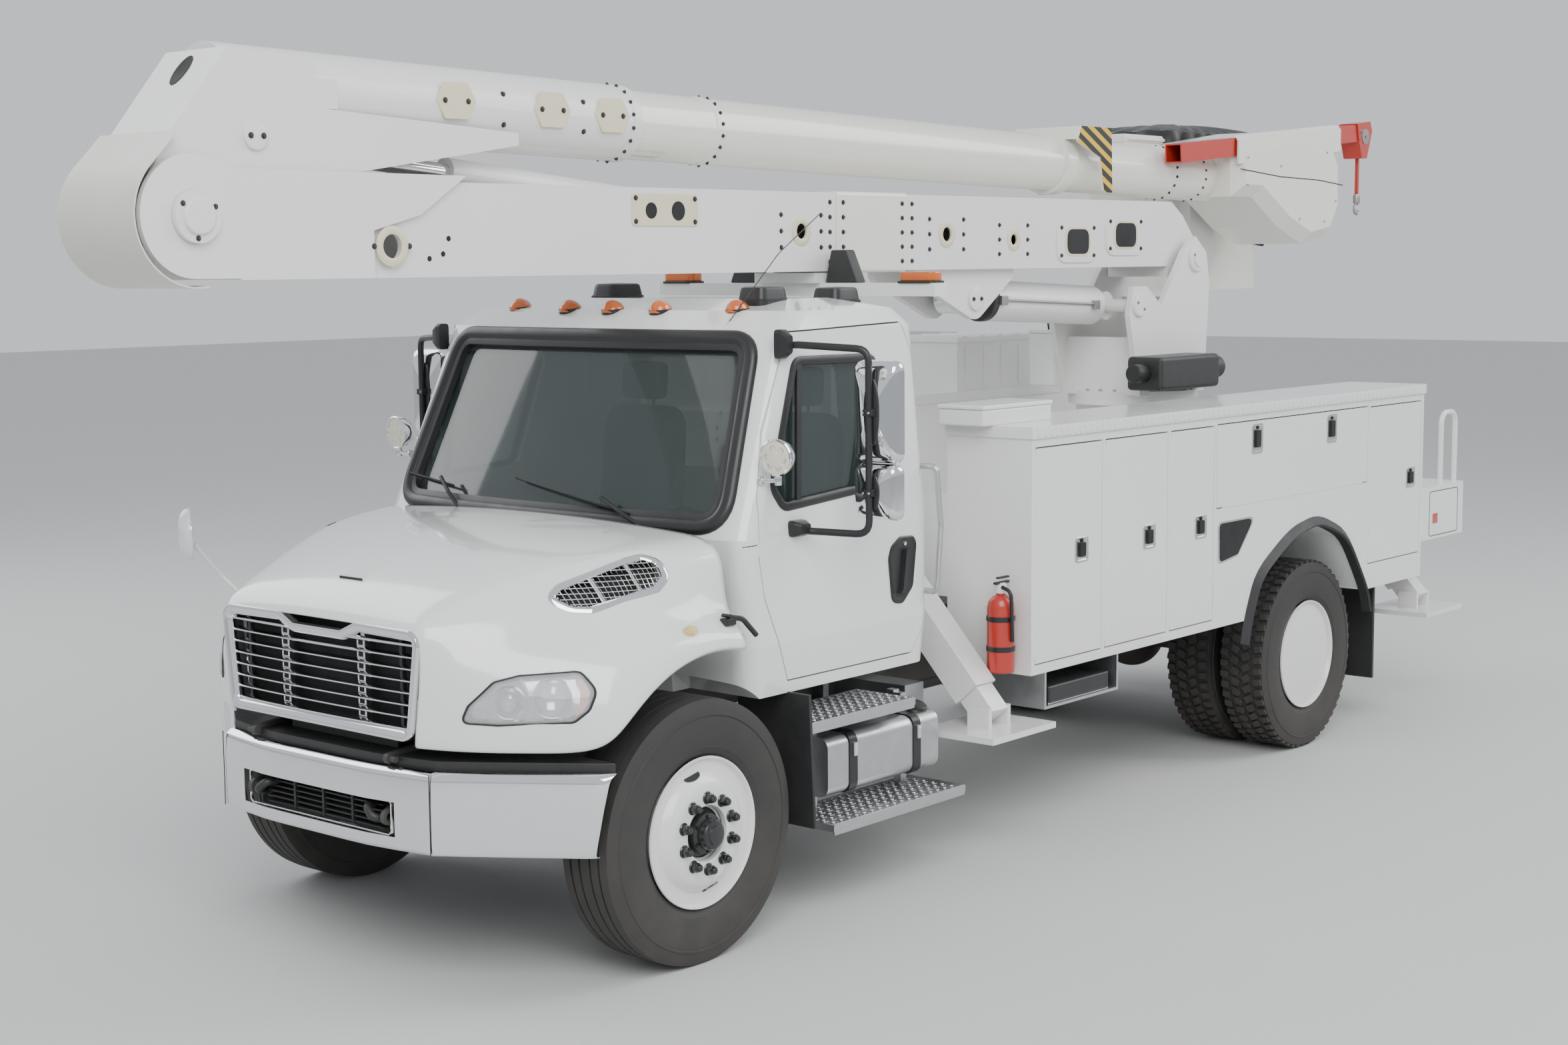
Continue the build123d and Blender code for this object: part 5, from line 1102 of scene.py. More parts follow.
def cushion(piece, middle, size, lean):
    """A crowned pad: half sizes along, across and up, its sides drawn in between the corners."""
    turn = Matrix.Rotation(lean, 4, "Y")
    rings = []
    for row in range(13):
        up = -1 + 2 * row / 12
        share = (1 - abs(up) ** 4) ** 0.5 * 0.16 + 0.84 if abs(up) < 1 else 0.80
        ring = []
        for along, across in ring_line(1, 1, 40):
            x = abs(along) ** SQUARENESS * (1 if along > 0 else -1)
            y = abs(across) ** SQUARENESS * (1 if across > 0 else -1)
            crown = 1 + PUFF * 0.3 * (1 - min(abs(x), 1) ** 2) * (1 - min(abs(y), 1) ** 2)
            ring.append(middle + turn @ Vector((x * size[0] * share, y * size[1] * share,
                                                up * size[2] * crown)))
        rings.append(ring)
    top = middle + turn @ Vector((0, 0, size[2]))
    for share in (0.86, 0.6, 0.3, 0.03):
        rise = turn @ Vector((0, 0, size[2] * PUFF * (1 - share) * 0.6))
        rings.append([point + rise - (point - top) * (1 - share) for point in rings[12]])
    piece.skin(rings)


cushions = Piece("seat_cushions", seat_grey)
cab_inside = Piece("dashboard_seat_boxes_and_wheel", dash_grey, trim_black)
for x, y in SEATS:
    for ahead, up, size, lean in CUSHIONS:
        cushion(cushions, at(x + ahead, y, SEAT_FLOOR + up), size, radians(lean))
    cab_inside.block((x + 0.01, x + 0.41), (y - 0.19, y + 0.19), (SEAT_FLOOR, SEAT_FLOOR + 0.235), 1, 0.01)
    for shift in (-0.05, 0.05):
        cab_inside.tube([at(x - 0.11, y + shift, SEAT_FLOOR + 0.98),
                         at(x - 0.11, y + shift, SEAT_FLOOR + 1.12)], 0.007, 1, sides=8)
profile = ((-0.395, 1.04), (-0.400, 1.530), (-0.430, 1.590), (-0.480, 1.622), (-0.600, 1.605),
           (-0.650, 1.560), (-0.655, 1.360), (-0.570, 1.250), (-0.530, 1.04))
cab_inside.prism(profile, side_view(0.94, -1), 1.88, 0, 0.015, 3)
wheel_centre = placed(at(-0.735, 0.480, 1.545), (-0.75, 0, 0.66), (0, 1, 0))
rim_ring = []
for step in range(48):
    around = 2 * pi * step / 48
    out = Vector((cos(around), sin(around), 0))
    rim_ring.append([wheel_centre @ (out * (STEERING_RADIUS + wide) + Vector((0, 0, 0.012 + up)))
                     for wide, up in ring_line(STEERING_TUBE, STEERING_TUBE, 10)])
cab_inside.skin(rim_ring + [rim_ring[0]], 1, caps=False)
cab_inside.turned(((0.060, -0.02), (0.062, 0.012), (0.050, 0.022), (0.0005, 0.026)),
                  wheel_centre, 1, sides=28)
for around in (0.15, pi - 0.15, -pi / 2):
    cab_inside.tube([wheel_centre @ Vector((0.05 * cos(around), 0.05 * sin(around), 0.005)),
                     wheel_centre @ Vector((0.205 * cos(around), 0.205 * sin(around), 0.012))],
                    0.011, 1, sides=8)
cab_inside.tube([wheel_centre @ Vector((0, 0, -0.01)), at(-0.56, 0.480, 1.39)], 0.034, 1, sides=16)
cab_inside.done("chassis", stands_for=("cab_interior",))
padding = cushions.done("chassis", smooth=60)

# Cab doors: steel skins with their glass in a black rubber channel, and a vent pane ahead of the sliding one.
# Each has a paddle handle in a black dish, two mirrors on a bent tube and a round work lamp on a short arm.
DOOR_WINDOW = ((-0.705, 2.345), (-0.510, 1.840), (-0.570, 1.755), (-1.080, 1.790), (-1.250, 2.340))
WINDOW_CORNER = 0.060
# The bar between the vent pane and the sliding one.
VENT_BAR = ((-0.665, 1.770), (-0.730, 2.335))
CHANNEL = ((-0.020, -0.012), (-0.018, 0.004), (-0.008, 0.008), (0.010, 0.008), (0.018, 0.003),
           (0.018, -0.004), (-0.020, -0.012))
HANDLE_OUTLINE = ((-1.275, 1.285), (-1.345, 1.275), (-1.415, 1.340), (-1.440, 1.520), (-1.420, 1.552),
                  (-1.330, 1.556), (-1.270, 1.520), (-1.252, 1.470))
MIRROR_X, MIRROR_Y = -0.800, 1.375
MIRROR_TUBE = 0.0150
# Mirror heads: height, half height and half width.
HEADS = ((2.140, 0.205, 0.110), (1.815, 0.113, 0.108))
WORK_LAMP = (-0.450, 1.875)
WORK_LAMP_SPOTS = 6
mirror_glass = finish("mirror glass", (0.75, 0.78, 0.80), (0.70, 0.73, 0.76), (0.01, 0.03), metal=1.0)
work_lamp_glass = finish("work lamp lens", (0.80, 0.80, 0.62), (0.70, 0.70, 0.50), (0.08, 0.15),
                         coat=1.0, cloud=30.0)
dress(cab_enamel, "cab_door")
dress(window_tint, "door_glass")


def door_side(side, z):
    """How far out the cab's side lies at a height."""
    lean = max(z - BELT, 0) / (GLASS_TOP - BELT)
    return side * (CAB_SIDE - (CAB_SIDE - CAB_SIDE_TOP) * lean)


def raised(outline, side, y, layers):
    """Rings for a form on the truck's side: each layer's share of an outline and its distance out from y."""
    return [[at(point.x, side * (y + off), point.y) for point in drawn_in(outline, share)]
            for share, off in layers]


for side_name, side in SIDES:
    door = Piece(f"cab_door_fittings_{side_name}", trim_black, chrome, mirror_glass,
                 work_lamp_glass, darkness)
    outline = eased(DOOR_WINDOW, WINDOW_CORNER, 5)
    path = [at(x, door_side(side, z), z) for x, z in outline]
    facing = Vector((0, side, 0.084)).normalized()
    if (path[1] - path[0]).cross(facing).dot(path[0] - at(-0.85, side * 1.06, 2.05)) < 0:
        path = path[::-1]
    door.band(path, CHANNEL, 0, facing)
    door.skin([[at(x + shift, door_side(side, z) + side * off, z) for shift, off in
                ((-0.014, -0.008), (0.014, -0.008), (0.014, 0.005), (-0.014, 0.005))] for x, z in VENT_BAR],
              0)
    door.skin(raised(eased(HANDLE_OUTLINE, 0.045, 5), side, CAB_SIDE, (
        (1.06, -0.004), (1.05, 0.005), (1.0, 0.008), (0.93, 0.005), (0.84, 0.0015), (0.02, 0.0015))), 0)
    door.skin([[at(x + shift, side * (CAB_SIDE + off), z) for shift, off in
                ((-0.017, 0.001), (0.017, 0.001), (0.013, 0.019), (-0.013, 0.019))]
               for x, z in ((-1.330, 1.315), (-1.345, 1.330), (-1.368, 1.485), (-1.372, 1.505))], 0)
    door.turned(((0.009, -0.001), (0.009, 0.004), (0.0005, 0.005)),
                out_from(side, -1.365, CAB_SIDE + 0.001, 1.528), 1, sides=16)
    y = side * MIRROR_Y
    door.tube([at(-0.640, door_side(side, 2.41), 2.410), at(-0.665, side * 1.10, 2.412), at(-0.772, y, 2.395),
               at(-0.772, y, 1.645), at(-0.685, side * 1.17, 1.652), at(-0.650, side * 1.105, 1.655)],
              MIRROR_TUBE, 0, corner=0.055, sides=14)
    for x, z, half_x, half_z in ((-0.622, 2.415, 0.030, 0.060), (-0.640, 1.665, 0.050, 0.034)):
        door.skin(raised(rounded(x, z, half_x, half_z, 0.018, 3), side, door_side(1, z),
                         ((1.0, -0.006), (1.0, 0.016), (0.86, 0.030), (0.6, 0.055))), 0)
        for up in (-0.7, 0.7):
            door.turned(((0.007, 0), (0.007, 0.004)),
                        placed(at(x, door_side(side, z) + side * 0.022, z + up * half_z), (0, side, 0)), 4,
                        sides=10)
    for middle, half_z, half_y in HEADS:
        corners = rounded(0, 0, half_y, half_z, 0.040)
        rings = []
        for share, back in ((0.97, 0.070), (1.0, 0.066), (1.02, 0.050), (1.0, 0.026), (0.94, 0.008),
                            (0.82, -0.004), (0.5, -0.010), (0.03, -0.011)):
            rings.append([at(MIRROR_X - back, y + point.x * share, middle + point.y * share)
                          for point in corners])
        door.skin(rings, 1)
        door.skin([[at(-0.8705 - back, y + point.x * share, middle + point.y * share) for point in corners]
                   for share, back in ((0.92, -0.003), (0.92, 0.0008), (0.02, 0.0012))], 2)
        door.turned(((0.045, 0.0), (0.045, 0.010), (0.038, 0.014), (0.0005, 0.015)), placed(
            at(-0.796, y, middle), (1, 0, 0)) @ Matrix.Diagonal((half_z / 0.066, 0.85, 1, 1)), 0, sides=32)
        door.block((MIRROR_X, MIRROR_X + 0.028), (y - 0.026, y + 0.026),
                   (middle - 0.018, middle + 0.018), 0, 0.006)
        for shift in (-0.014, 0.014):
            door.turned(((0.005, 0), (0.005, 0.003)), placed(at(-0.752, y + shift, middle), (1, 0, 0)), 1,
                        sides=8)
        door.block((-0.782, -0.756), (y - 0.024, y + 0.024), (middle - 0.015, middle + 0.015), 0, 0.006)
    lamp_seat = at(WORK_LAMP[0], door_side(side, WORK_LAMP[1]), WORK_LAMP[1])
    door.turned(((0.020, -0.004), (0.020, 0.004), (0.010, 0.008)),
                placed(lamp_seat, (0, side, 0)), 1, sides=20)
    door.tube([lamp_seat, lamp_seat + Vector((0, side * 0.085, 0.004))], 0.009, 1, sides=12)
    door.turned(((0.014, -0.02), (0.016, 0.0), (0.014, 0.02)),
                placed(lamp_seat + Vector((0, side * 0.088, 0.006)), (0, 0, 1)), 1, sides=14)
    lamp_middle = lamp_seat + Vector((-0.005, side * 0.088, 0.098))
    aim = placed(lamp_middle, (1, side * 0.10, -0.02))
    door.turned(((0.0005, -0.060), (0.030, -0.056), (0.052, -0.042), (0.068, -0.018), (0.075, 0.008),
                 (0.077, 0.016), (0.077, 0.022), (0.072, 0.026), (0.068, 0.024), (0.068, 0.018)), aim, 1,
                sides=36, open_ends=True)
    door.turned(((0.068, 0.014), (0.068, 0.020), (0.040, 0.024), (0.0005, 0.025)), aim, 3, sides=36)
    for x, y in [*ring_line(0.040, 0.040, WORK_LAMP_SPOTS), (0, 0)]:
        spot = aim @ Matrix.Translation((x, y, 0.0235))
        door.turned(((0.014, -0.002), (0.014, 0.001), (0.006, -0.0005), (0.0005, 0.001)), spot, 1, sides=14)
    door.done(f"cab_door_{side_name}", smooth=40, stands_for=(f"mirrors_{side_name}",))

# Steps, tanks and flaps under the cab: aluminium treads with raised rings, a round-edged fuel tank held by
# two black straps, rubber splash flaps on steel hangers, and a black plastic outrigger pad stowed in each
# open box.
TREADS = (((-0.665, -1.395), (0.810, 1.125), 0.845), ((-0.765, -1.685), (0.870, 1.185), 0.410))
RING_PITCH = 0.052
TANK_STRAPS = (-1.05, -1.50)
TANK_LIMITS = ((0.428, 1.060), (0.480, 0.740))
TANK_CORNER = 0.050
STRAP = ((0.0, -0.028), (0.005, -0.026), (0.005, 0.026), (0.0, 0.028), (-0.003, 0.0), (0.0, -0.028))
FLAPS = (((-0.628, 0.422), (-0.643, 0.422), (-0.616, 0.988), (-0.601, 0.988)),
         ((-5.837, 0.268), (-5.859, 0.268), (-5.859, 0.828), (-5.837, 0.828)))
FLAP_YS = ((0.797, 1.194), (0.557, 1.143))
PAD = ((-2.378, -2.902), (0.785, 1.176), (0.665, 0.750))

black_rubber = finish("black rubber", (0.02, 0.02, 0.021), (0.032, 0.032, 0.033), (0.5, 0.62), cloud=12.0,
                      grain=0.12, grain_size=260)
stainless = finish("brushed stainless", (0.66, 0.66, 0.65), (0.56, 0.56, 0.55), (0.22, 0.34), metal=1.0,
                   cloud=30.0, stretch=(1, 1, 6), grain=0.05, grain_size=200)
aluminium = finish("mill aluminium", (0.60, 0.61, 0.62), (0.50, 0.51, 0.52), (0.30, 0.45), metal=1.0,
                   cloud=14.0, grain=0.12, grain_size=220, dust=0.05)
dress(aluminium, "chassis_fittings")

tread_ring = Piece("tread_ring")
tread_ring.turned(((0.017, -0.001), (0.017, 0.003), (0.011, 0.003), (0.009, -0.001)), Matrix.Identity(4),
                  sides=12, open_ends=True)
tread_ring = loose(tread_ring)
treads = Piece("step_treads", aluminium)
places = []
for xs, ys, top in TREADS:
    for side in (1, -1):
        for column in range(int((xs[0] - xs[1]) / RING_PITCH)):
            for row in range(int((ys[1] - ys[0]) / RING_PITCH)):
                places.append((at(xs[0] - RING_PITCH * (column + 0.6),
                                  side * (ys[0] + RING_PITCH * (row + 0.6)), top), (0, 0, 1), (1, 0, 0)))
        treads.block(xs, (side * (ys[1] - 0.004), side * (ys[1] + 0.006)),
                     (top - 0.045, top + 0.004), 0, 0.004)
into(treads, repeated("tread_rings", tread_ring, places, aluminium))
bpy.data.objects.remove(tread_ring)
treads.done("chassis", smooth=40)

under_cab = Piece("straps_flaps_and_pads", black_rubber, trim_black, chrome)
for side in (1, -1):
    tank_line = rounded(side * sum(TANK_LIMITS[0]) / 2, sum(TANK_LIMITS[1]) / 2,
                        (TANK_LIMITS[0][1] - TANK_LIMITS[0][0]) / 2,
                        (TANK_LIMITS[1][1] - TANK_LIMITS[1][0]) / 2, TANK_CORNER)
    for x in TANK_STRAPS:
        under_cab.band([at(x, y, z) for y, z in tank_line], STRAP, 1, (1, 0, 0))
        under_cab.block((x + 0.012, x - 0.012), (side * 1.058, side * 1.080), (0.640, 0.700), 2, 0.003)
    under_cab.turned(((0.052, -0.01), (0.052, 0.012), (0.044, 0.020), (0.044, 0.034), (0.036, 0.040),
                      (0.0005, 0.041)), placed(at(-1.60, side * 0.98, 0.735), (0, side * 0.35, 1)), 1,
                     sides=32)
    for line, (inner, outer) in zip(FLAPS, FLAP_YS):
        under_cab.prism(line, side_view(side * inner, side), outer - inner, 0, 0.003, 1)
    under_cab.block(PAD[0], (side * PAD[1][0], side * PAD[1][1]), PAD[2], 1, 0.012, 3)
under_cab.done("chassis")

# Fire extinguisher: a red steel bottle with a white valve head, on two brackets of the cabinet's front wall.
# Two black rubber straps hold it, and its short hose is clipped down its side.
BOTTLE, BOTTLE_FOOT = (-2.112, 1.085), 0.850
red_paint = finish("red enamel", (0.52, 0.03, 0.015), (0.42, 0.03, 0.02), (0.25, 0.38), cloud=6.0, coat=0.4)
bottle = Piece("fire_extinguisher", red_paint, trim_black, enamel)
stand = placed(at(*BOTTLE, BOTTLE_FOOT), (0, 0, 1))
bottle.turned(((0.0005, 0.004), (0.058, 0.0), (0.064, 0.006), (0.064, 0.300), (0.058, 0.330), (0.040, 0.352),
               (0.022, 0.362), (0.022, 0.376), (0.0005, 0.377)), stand, 0, sides=40)
bottle.turned(((0.026, 0.370), (0.028, 0.380), (0.028, 0.410), (0.020, 0.418), (0.0005, 0.419)),
              stand, 2, sides=28)
bottle.block((BOTTLE[0] + 0.05, BOTTLE[0] - 0.06), (BOTTLE[1] - 0.010, BOTTLE[1] + 0.010),
             (1.262, 1.274), 1, 0.004)
bottle.block((BOTTLE[0] + 0.03, BOTTLE[0] - 0.06), (BOTTLE[1] - 0.009, BOTTLE[1] + 0.009),
             (1.286, 1.296), 1, 0.004)
for height in (0.10, 0.24):
    bottle.turned(((0.0655, height), (0.0675, height + 0.002), (0.0675, height + 0.022),
                   (0.0655, height + 0.024)), stand, 1, sides=40, open_ends=True)
    bottle.block((BOTTLE[0] - 0.058, -2.193), (BOTTLE[1] - 0.012, BOTTLE[1] + 0.012),
                 (BOTTLE_FOOT + height, BOTTLE_FOOT + height + 0.022), 1, 0.002)
bottle.tube([at(BOTTLE[0] + 0.02, BOTTLE[1] + 0.022, 1.250), at(BOTTLE[0] + 0.03, BOTTLE[1] + 0.078, 1.235),
             at(BOTTLE[0] + 0.012, BOTTLE[1] + 0.074, 1.00)], 0.009, 1, corner=0.05)
bottle.done("chassis")

# Cabinets: folded steel in white enamel with doors on pinned hinges, each held by a paddle latch in a steel
# dish. Their lids have a ribbed edge, a black rubber flare edges the wheel arch, and the seams are drawn as
# dark lines of painted shade.
# Latches: door, station, height and half height.
LATCHES = (("front", -2.610, 1.38, 0.060), ("second", -3.220, 1.38, 0.060), ("third", -3.720, 1.38, 0.060),
           ("long", -4.300, 1.795, 0.080), ("long", -5.150, 1.795, 0.080), ("rear", -6.170, 1.44, 0.060))
BODY_SIDE = 1.200
BODY_ENDS = (-2.192, -6.339)
LID = (1.930, 1.985)
LID_SIDE = 1.210
RIB_PITCH = 0.050
ARCH = ((-4.200, 0.700), (-4.238, 0.840), (-4.340, 1.050), (-4.700, 1.235), (-5.000, 1.280), (-5.330, 1.165),
        (-5.589, 0.840), (-5.640, 0.700))
CHOCK_WINDOW = ((-3.905, 1.378), (-4.280, 1.378), (-4.105, 1.195), (-3.910, 1.170))
red_lens = finish("red reflector", (0.60, 0.015, 0.012), (0.42, 0.010, 0.010), (0.10, 0.2),
                  coat=1.0, cloud=60.0)

dress(enamel, "cabinets", "front_door", "second_door", "third_door", "long_door", "rear_door", "load_deck",
      "boom_rest", "subframe", "outrigger")


def latch(piece, x, z, half, side):
    """A paddle latch: a dished steel plate with its paddle and lock."""
    piece.skin(raised(rounded(x, z, 0.056, half, 0.018), side, BODY_SIDE, (
        (1.0, -0.002), (1.0, 0.004), (0.95, 0.006), (0.86, 0.005), (0.78, 0.001), (0.02, 0.001))), 0)
    piece.skin([[at(point.x, side * (BODY_SIDE + off), point.y)
                 for point in eased(((x - 0.024, z - half * share), (x + 0.024, z - half * share),
                                     (x + 0.024, z + half * 0.55), (x - 0.024, z + half * 0.55)), 0.008)]
                for share, off in ((0.60, 0.0), (0.60, 0.009), (0.55, 0.012))], 1)
    piece.turned(((0.009, 0.0), (0.009, 0.006), (0.0005, 0.007)),
                 out_from(side, x, BODY_SIDE + 0.001, z + half * 0.72), 1, sides=16)


for side_name, side in SIDES:
    for door_name in ("front", "second", "third", "long", "rear"):
        fittings = Piece(f"{door_name}_door_latches_{side_name}", stainless, darkness)
        for name, x, z, half in LATCHES:
            if name == door_name:
                latch(fittings, x, z, half, side)
        fittings.done(f"{door_name}_door_{side_name}")

lid_rib = Piece("lid_rib")
lid_rib.prism([(-0.011, -0.021), (0.011, -0.021), (0.011, 0.021), (-0.011, 0.021)],
              Matrix.Translation((0, 0, -0.002)), 0.007, bevel=0.003, steps=1)
lid_rib = loose(lid_rib)
body_trim = Piece("cabinet_trim", enamel, black_rubber, darkness, red_lens, stainless)
places = []
for side in (1, -1):
    for index in range(int((BODY_ENDS[0] - BODY_ENDS[1] - 0.06) / RIB_PITCH)):
        places.append((at(BODY_ENDS[0] - 0.045 - index * RIB_PITCH, side * LID_SIDE, sum(LID) / 2),
                       (0, side, 0), (1, 0, 0)))
into(body_trim, repeated("lid_ribs", lid_rib, places, enamel))
bpy.data.objects.remove(lid_rib)
for side in (1, -1):
    curve = []
    for index, here in enumerate(ARCH):
        here = Vector(here)
        if 0 < index < len(ARCH) - 1:
            before, after = Vector(ARCH[index - 1]), Vector(ARCH[index + 1])
            start, end = here.lerp(before, 0.35), here.lerp(after, 0.35)
            curve += [start.lerp(here, step / 4).lerp(here.lerp(end, step / 4), step / 4)
                      for step in range(5)]
        else:
            curve.append(here)
    rings = []
    for index, point in enumerate(curve):
        along = (curve[min(index + 1, len(curve) - 1)] - curve[max(index - 1, 0)]).normalized()
        out = Vector((-along.y, along.x)) if along.x < 0 else Vector((along.y, -along.x))
        out = out if out.dot(point - Vector((-4.92, 0.8))) > 0 else -out
        rings.append([at(point.x + out.x * wide, side * (BODY_SIDE + off), point.y + out.y * wide)
                      for wide, off in ((-0.006, -0.030), (-0.006, 0.022), (0.004, 0.030), (0.030, 0.012),
                                        (0.048, 0.000), (0.048, -0.002), (0.002, -0.002), (0.002, -0.030))])
    body_trim.skin(rings, 1)
    window = eased(CHOCK_WINDOW, 0.030)
    for slot_index, grow, low, high in ((4, 1.06, -0.002, 0.004), (2, 0.97, 0.002, 0.0048)):
        body_trim.skin(raised(window, side, BODY_SIDE, ((grow, low), (grow, high))), slot_index)
    body_trim.block((-6.500, -6.560), (side * 1.198, side * 1.205), (1.130, 1.190), 3, 0.002)
    # The rear panel's seam is a dark line of painted shade.
    seam = eased(((-6.450, 1.055), (-6.850, 1.055), (-6.850, 1.325), (-6.450, 1.325)), 0.02)
    body_trim.band([at(x, side * 1.2005, z) for x, z in seam],
                   ((-0.002, -0.001), (-0.002, 0.0008), (0.002, 0.0008), (0.002, -0.001), (-0.002, -0.001)),
                   2, (0, side, 0))
    body_trim.block((-6.915, -6.928), (side * 0.93, side * 1.05), (1.20, 1.30), 3, 0.003)
body_trim.done("chassis")

# Tool chest on the right cabinet: ribbed steel with a lid hinged on its outer edge and a latch on its inner
# face. A small white box stands on the near cabinet's front corner.
CHEST_RIBS, CHEST_RIB_PITCH = 9, 0.18
CHEST = ((-4.250, -5.900), (-0.725, -1.195), (1.985, 2.270))
chest = Piece("chest_ribs_and_latch", enamel, stainless)
for index in range(CHEST_RIBS):
    x = CHEST[0][0] - 0.10 - index * CHEST_RIB_PITCH
    chest.block((x - 0.020, x + 0.020), (CHEST[1][0] - 0.003, CHEST[1][0] + 0.006), (2.010, 2.245), 0, 0.004)
chest.block((-5.03, -5.11), (CHEST[1][0] - 0.002, CHEST[1][0] + 0.009), (2.180, 2.262), 1, 0.004)
chest.block((-2.10, -2.66), (0.735, 0.995), (1.983, 2.060), 0, 0.010, 3)
chest.block((-2.095, -2.665), (0.730, 1.000), (2.060, 2.080), 0, 0.006, 3)
chest.done("chassis")
dress(enamel, "chest_lid")
lid = Piece("chest_lid_ribs", enamel)
for index in range(CHEST_RIBS):
    x = CHEST[0][0] - 0.10 - index * CHEST_RIB_PITCH
    lid.block((x - 0.022, x + 0.022), (-0.740, -1.180), (2.296, 2.306), 0, 0.004)
lid.done("chest_lid")

# Boom rest: a moulded black rubber trapezoid is bolted to each side of the beam, and guides the lower boom
# down.
GUIDE = ((0.205, 2.646), (0.400, 2.646), (0.330, 2.800), (0.240, 2.800))
rest_guides = Piece("boom_rest_guides", black_rubber)
for side in (1, -1):
    rest_guides.prism([(side * y, z) for y, z in GUIDE], placed(at(-1.990, 0, 0), (1, 0, 0), (0, 1, 0)),
                      0.070, 0, 0.008, 2)
rest_guides.done("chassis")

# Turntable: a steel plate bolted to the slewing ring, with the tower that carries the lower boom.
# The slewing gearbox is a black casting with its motor, and the control box has three levers.
TABLE_TOP = 1.9905
BOLT_CIRCLE, TABLE_BOLTS = 0.352, 24
GEARBOX = ((-4.490, -5.140), (0.270, 0.500), (2.010, 2.200))
MOTOR, MOTOR_END = (-5.135, 0.385, 2.115), (-4.495, 0.385, 2.11)
LEVERS, LEVER_X, LEVER_PITCH = 3, -4.65, 0.09
# Pins: station, height and the radius of the end plate.
BOOM_PIN, LIFT_PIN = (-5.236, 2.742, 0.075), (-4.613, 2.481, 0.062)
boom_enamel = finish("boom enamel", (0.82, 0.82, 0.80), (0.76, 0.755, 0.73), (0.28, 0.42), coat=0.25,
                     cloud=1.1, grain=0.05, grain_size=45)
bare_steel = finish("bare steel", (0.42, 0.42, 0.42), (0.33, 0.32, 0.31), (0.35, 0.5), metal=1.0, cloud=18.0,
                    grain=0.1, grain_size=200)
dress(boom_enamel, "turntable", "lower_boom", "elbow_shaft", "upper_boom", "platform_bracket", "lift_barrel",
      "elbow_barrel")
dress(chrome, "lift_rod", "elbow_rod")
bolt = Piece("bolt")
bolt.turned(((0.95, -0.4), (0.95, 0.10), (0.87, 0.16), (0.87, 0.18)), Matrix.Identity(4), sides=16,
            open_ends=True)
bolt.turned(((0.60, 0.12), (0.60, 0.62), (0.50, 0.72), (0.0005, 0.72)), Matrix.Identity(4), sides=6)
bolt.turned(((0.87, 0.175), (0.0005, 0.176)), Matrix.Identity(4), sides=16, open_ends=True)
bolt = loose(bolt)


def bolts(piece, places, radius):
    """Hexagon bolts with washers at points, each with the way it faces."""
    into(piece, repeated("bolts", bolt, [(point, facing, (1, 0, 0) if abs(facing[0]) < 0.9 else (0, 1, 0))
                                         for point, facing in places], piece.finishes[0], (radius,) * 3))


table = Piece("turntable_bolts_and_gearbox", bare_steel, black_plastic, enamel, trim_black, red_paint)
middle = at(-5.000, 0, TABLE_TOP)
bolts(table, [(middle + Vector((x, y, 0)), (0, 0, 1)) for x, y in ring_line(BOLT_CIRCLE, BOLT_CIRCLE,
                                                                            TABLE_BOLTS)], 0.014)
table.block(*GEARBOX, 1, 0.025, 3)
table.turned(((0.075, 0.0), (0.075, 0.02), (0.066, 0.03), (0.066, 0.15), (0.050, 0.165), (0.0005, 0.166)),
             placed(at(*MOTOR), (-1, 0, 0)), 1, sides=36)
table.turned(((0.052, 0.0), (0.052, 0.11), (0.044, 0.12), (0.0005, 0.121)),
             placed(at(*MOTOR_END), (1, 0, 0)), 3, sides=28)
table.block((-4.570, -4.910), (-0.268, -0.440), (2.015, 2.320), 2, 0.010, 3)
table.block((-4.565, -4.915), (-0.266, -0.445), (2.318, 2.340), 2, 0.006, 2)
for index in range(LEVERS):
    x = LEVER_X - index * LEVER_PITCH
    table.tube([at(x, -0.355, 2.335), at(x, -0.365, 2.405)], 0.006, 3, sides=8)
    table.turned(((0.0005, -0.013), (0.010, -0.009), (0.013, 0.0), (0.010, 0.009), (0.0005, 0.013)),
                 placed(at(x, -0.366, 2.412), (0, 0, 1)), 4 if index == 1 else 3, sides=16)
for x, z, radius in (BOOM_PIN, LIFT_PIN):
    for side in (1, -1):
        table.turned(((radius, 0.0), (radius, 0.012), (radius - 0.006, 0.018), (0.0005, 0.018)),
                     out_from(side, x, 0.273, z), 2, sides=40)
        bolts(table, [(at(x + radius * 0.62 * cos(turn), side * 0.291, z + radius * 0.62 * sin(turn)),
                       (0, side, 0)) for turn in (0.5, 0.5 + pi)], 0.010)
table.done("turntable")

# Lower boom: a welded steel box with a bolted fibreglass insert, oval windows with cream plastic rims over
# the levelling rods' joints, doubler plates at the root and hose ports, and two bolted end plates at the lift
# ears.
BOOM_SIDE = 0.200
BOOM_LOW, BOOM_HIGH = 2.700, 3.070
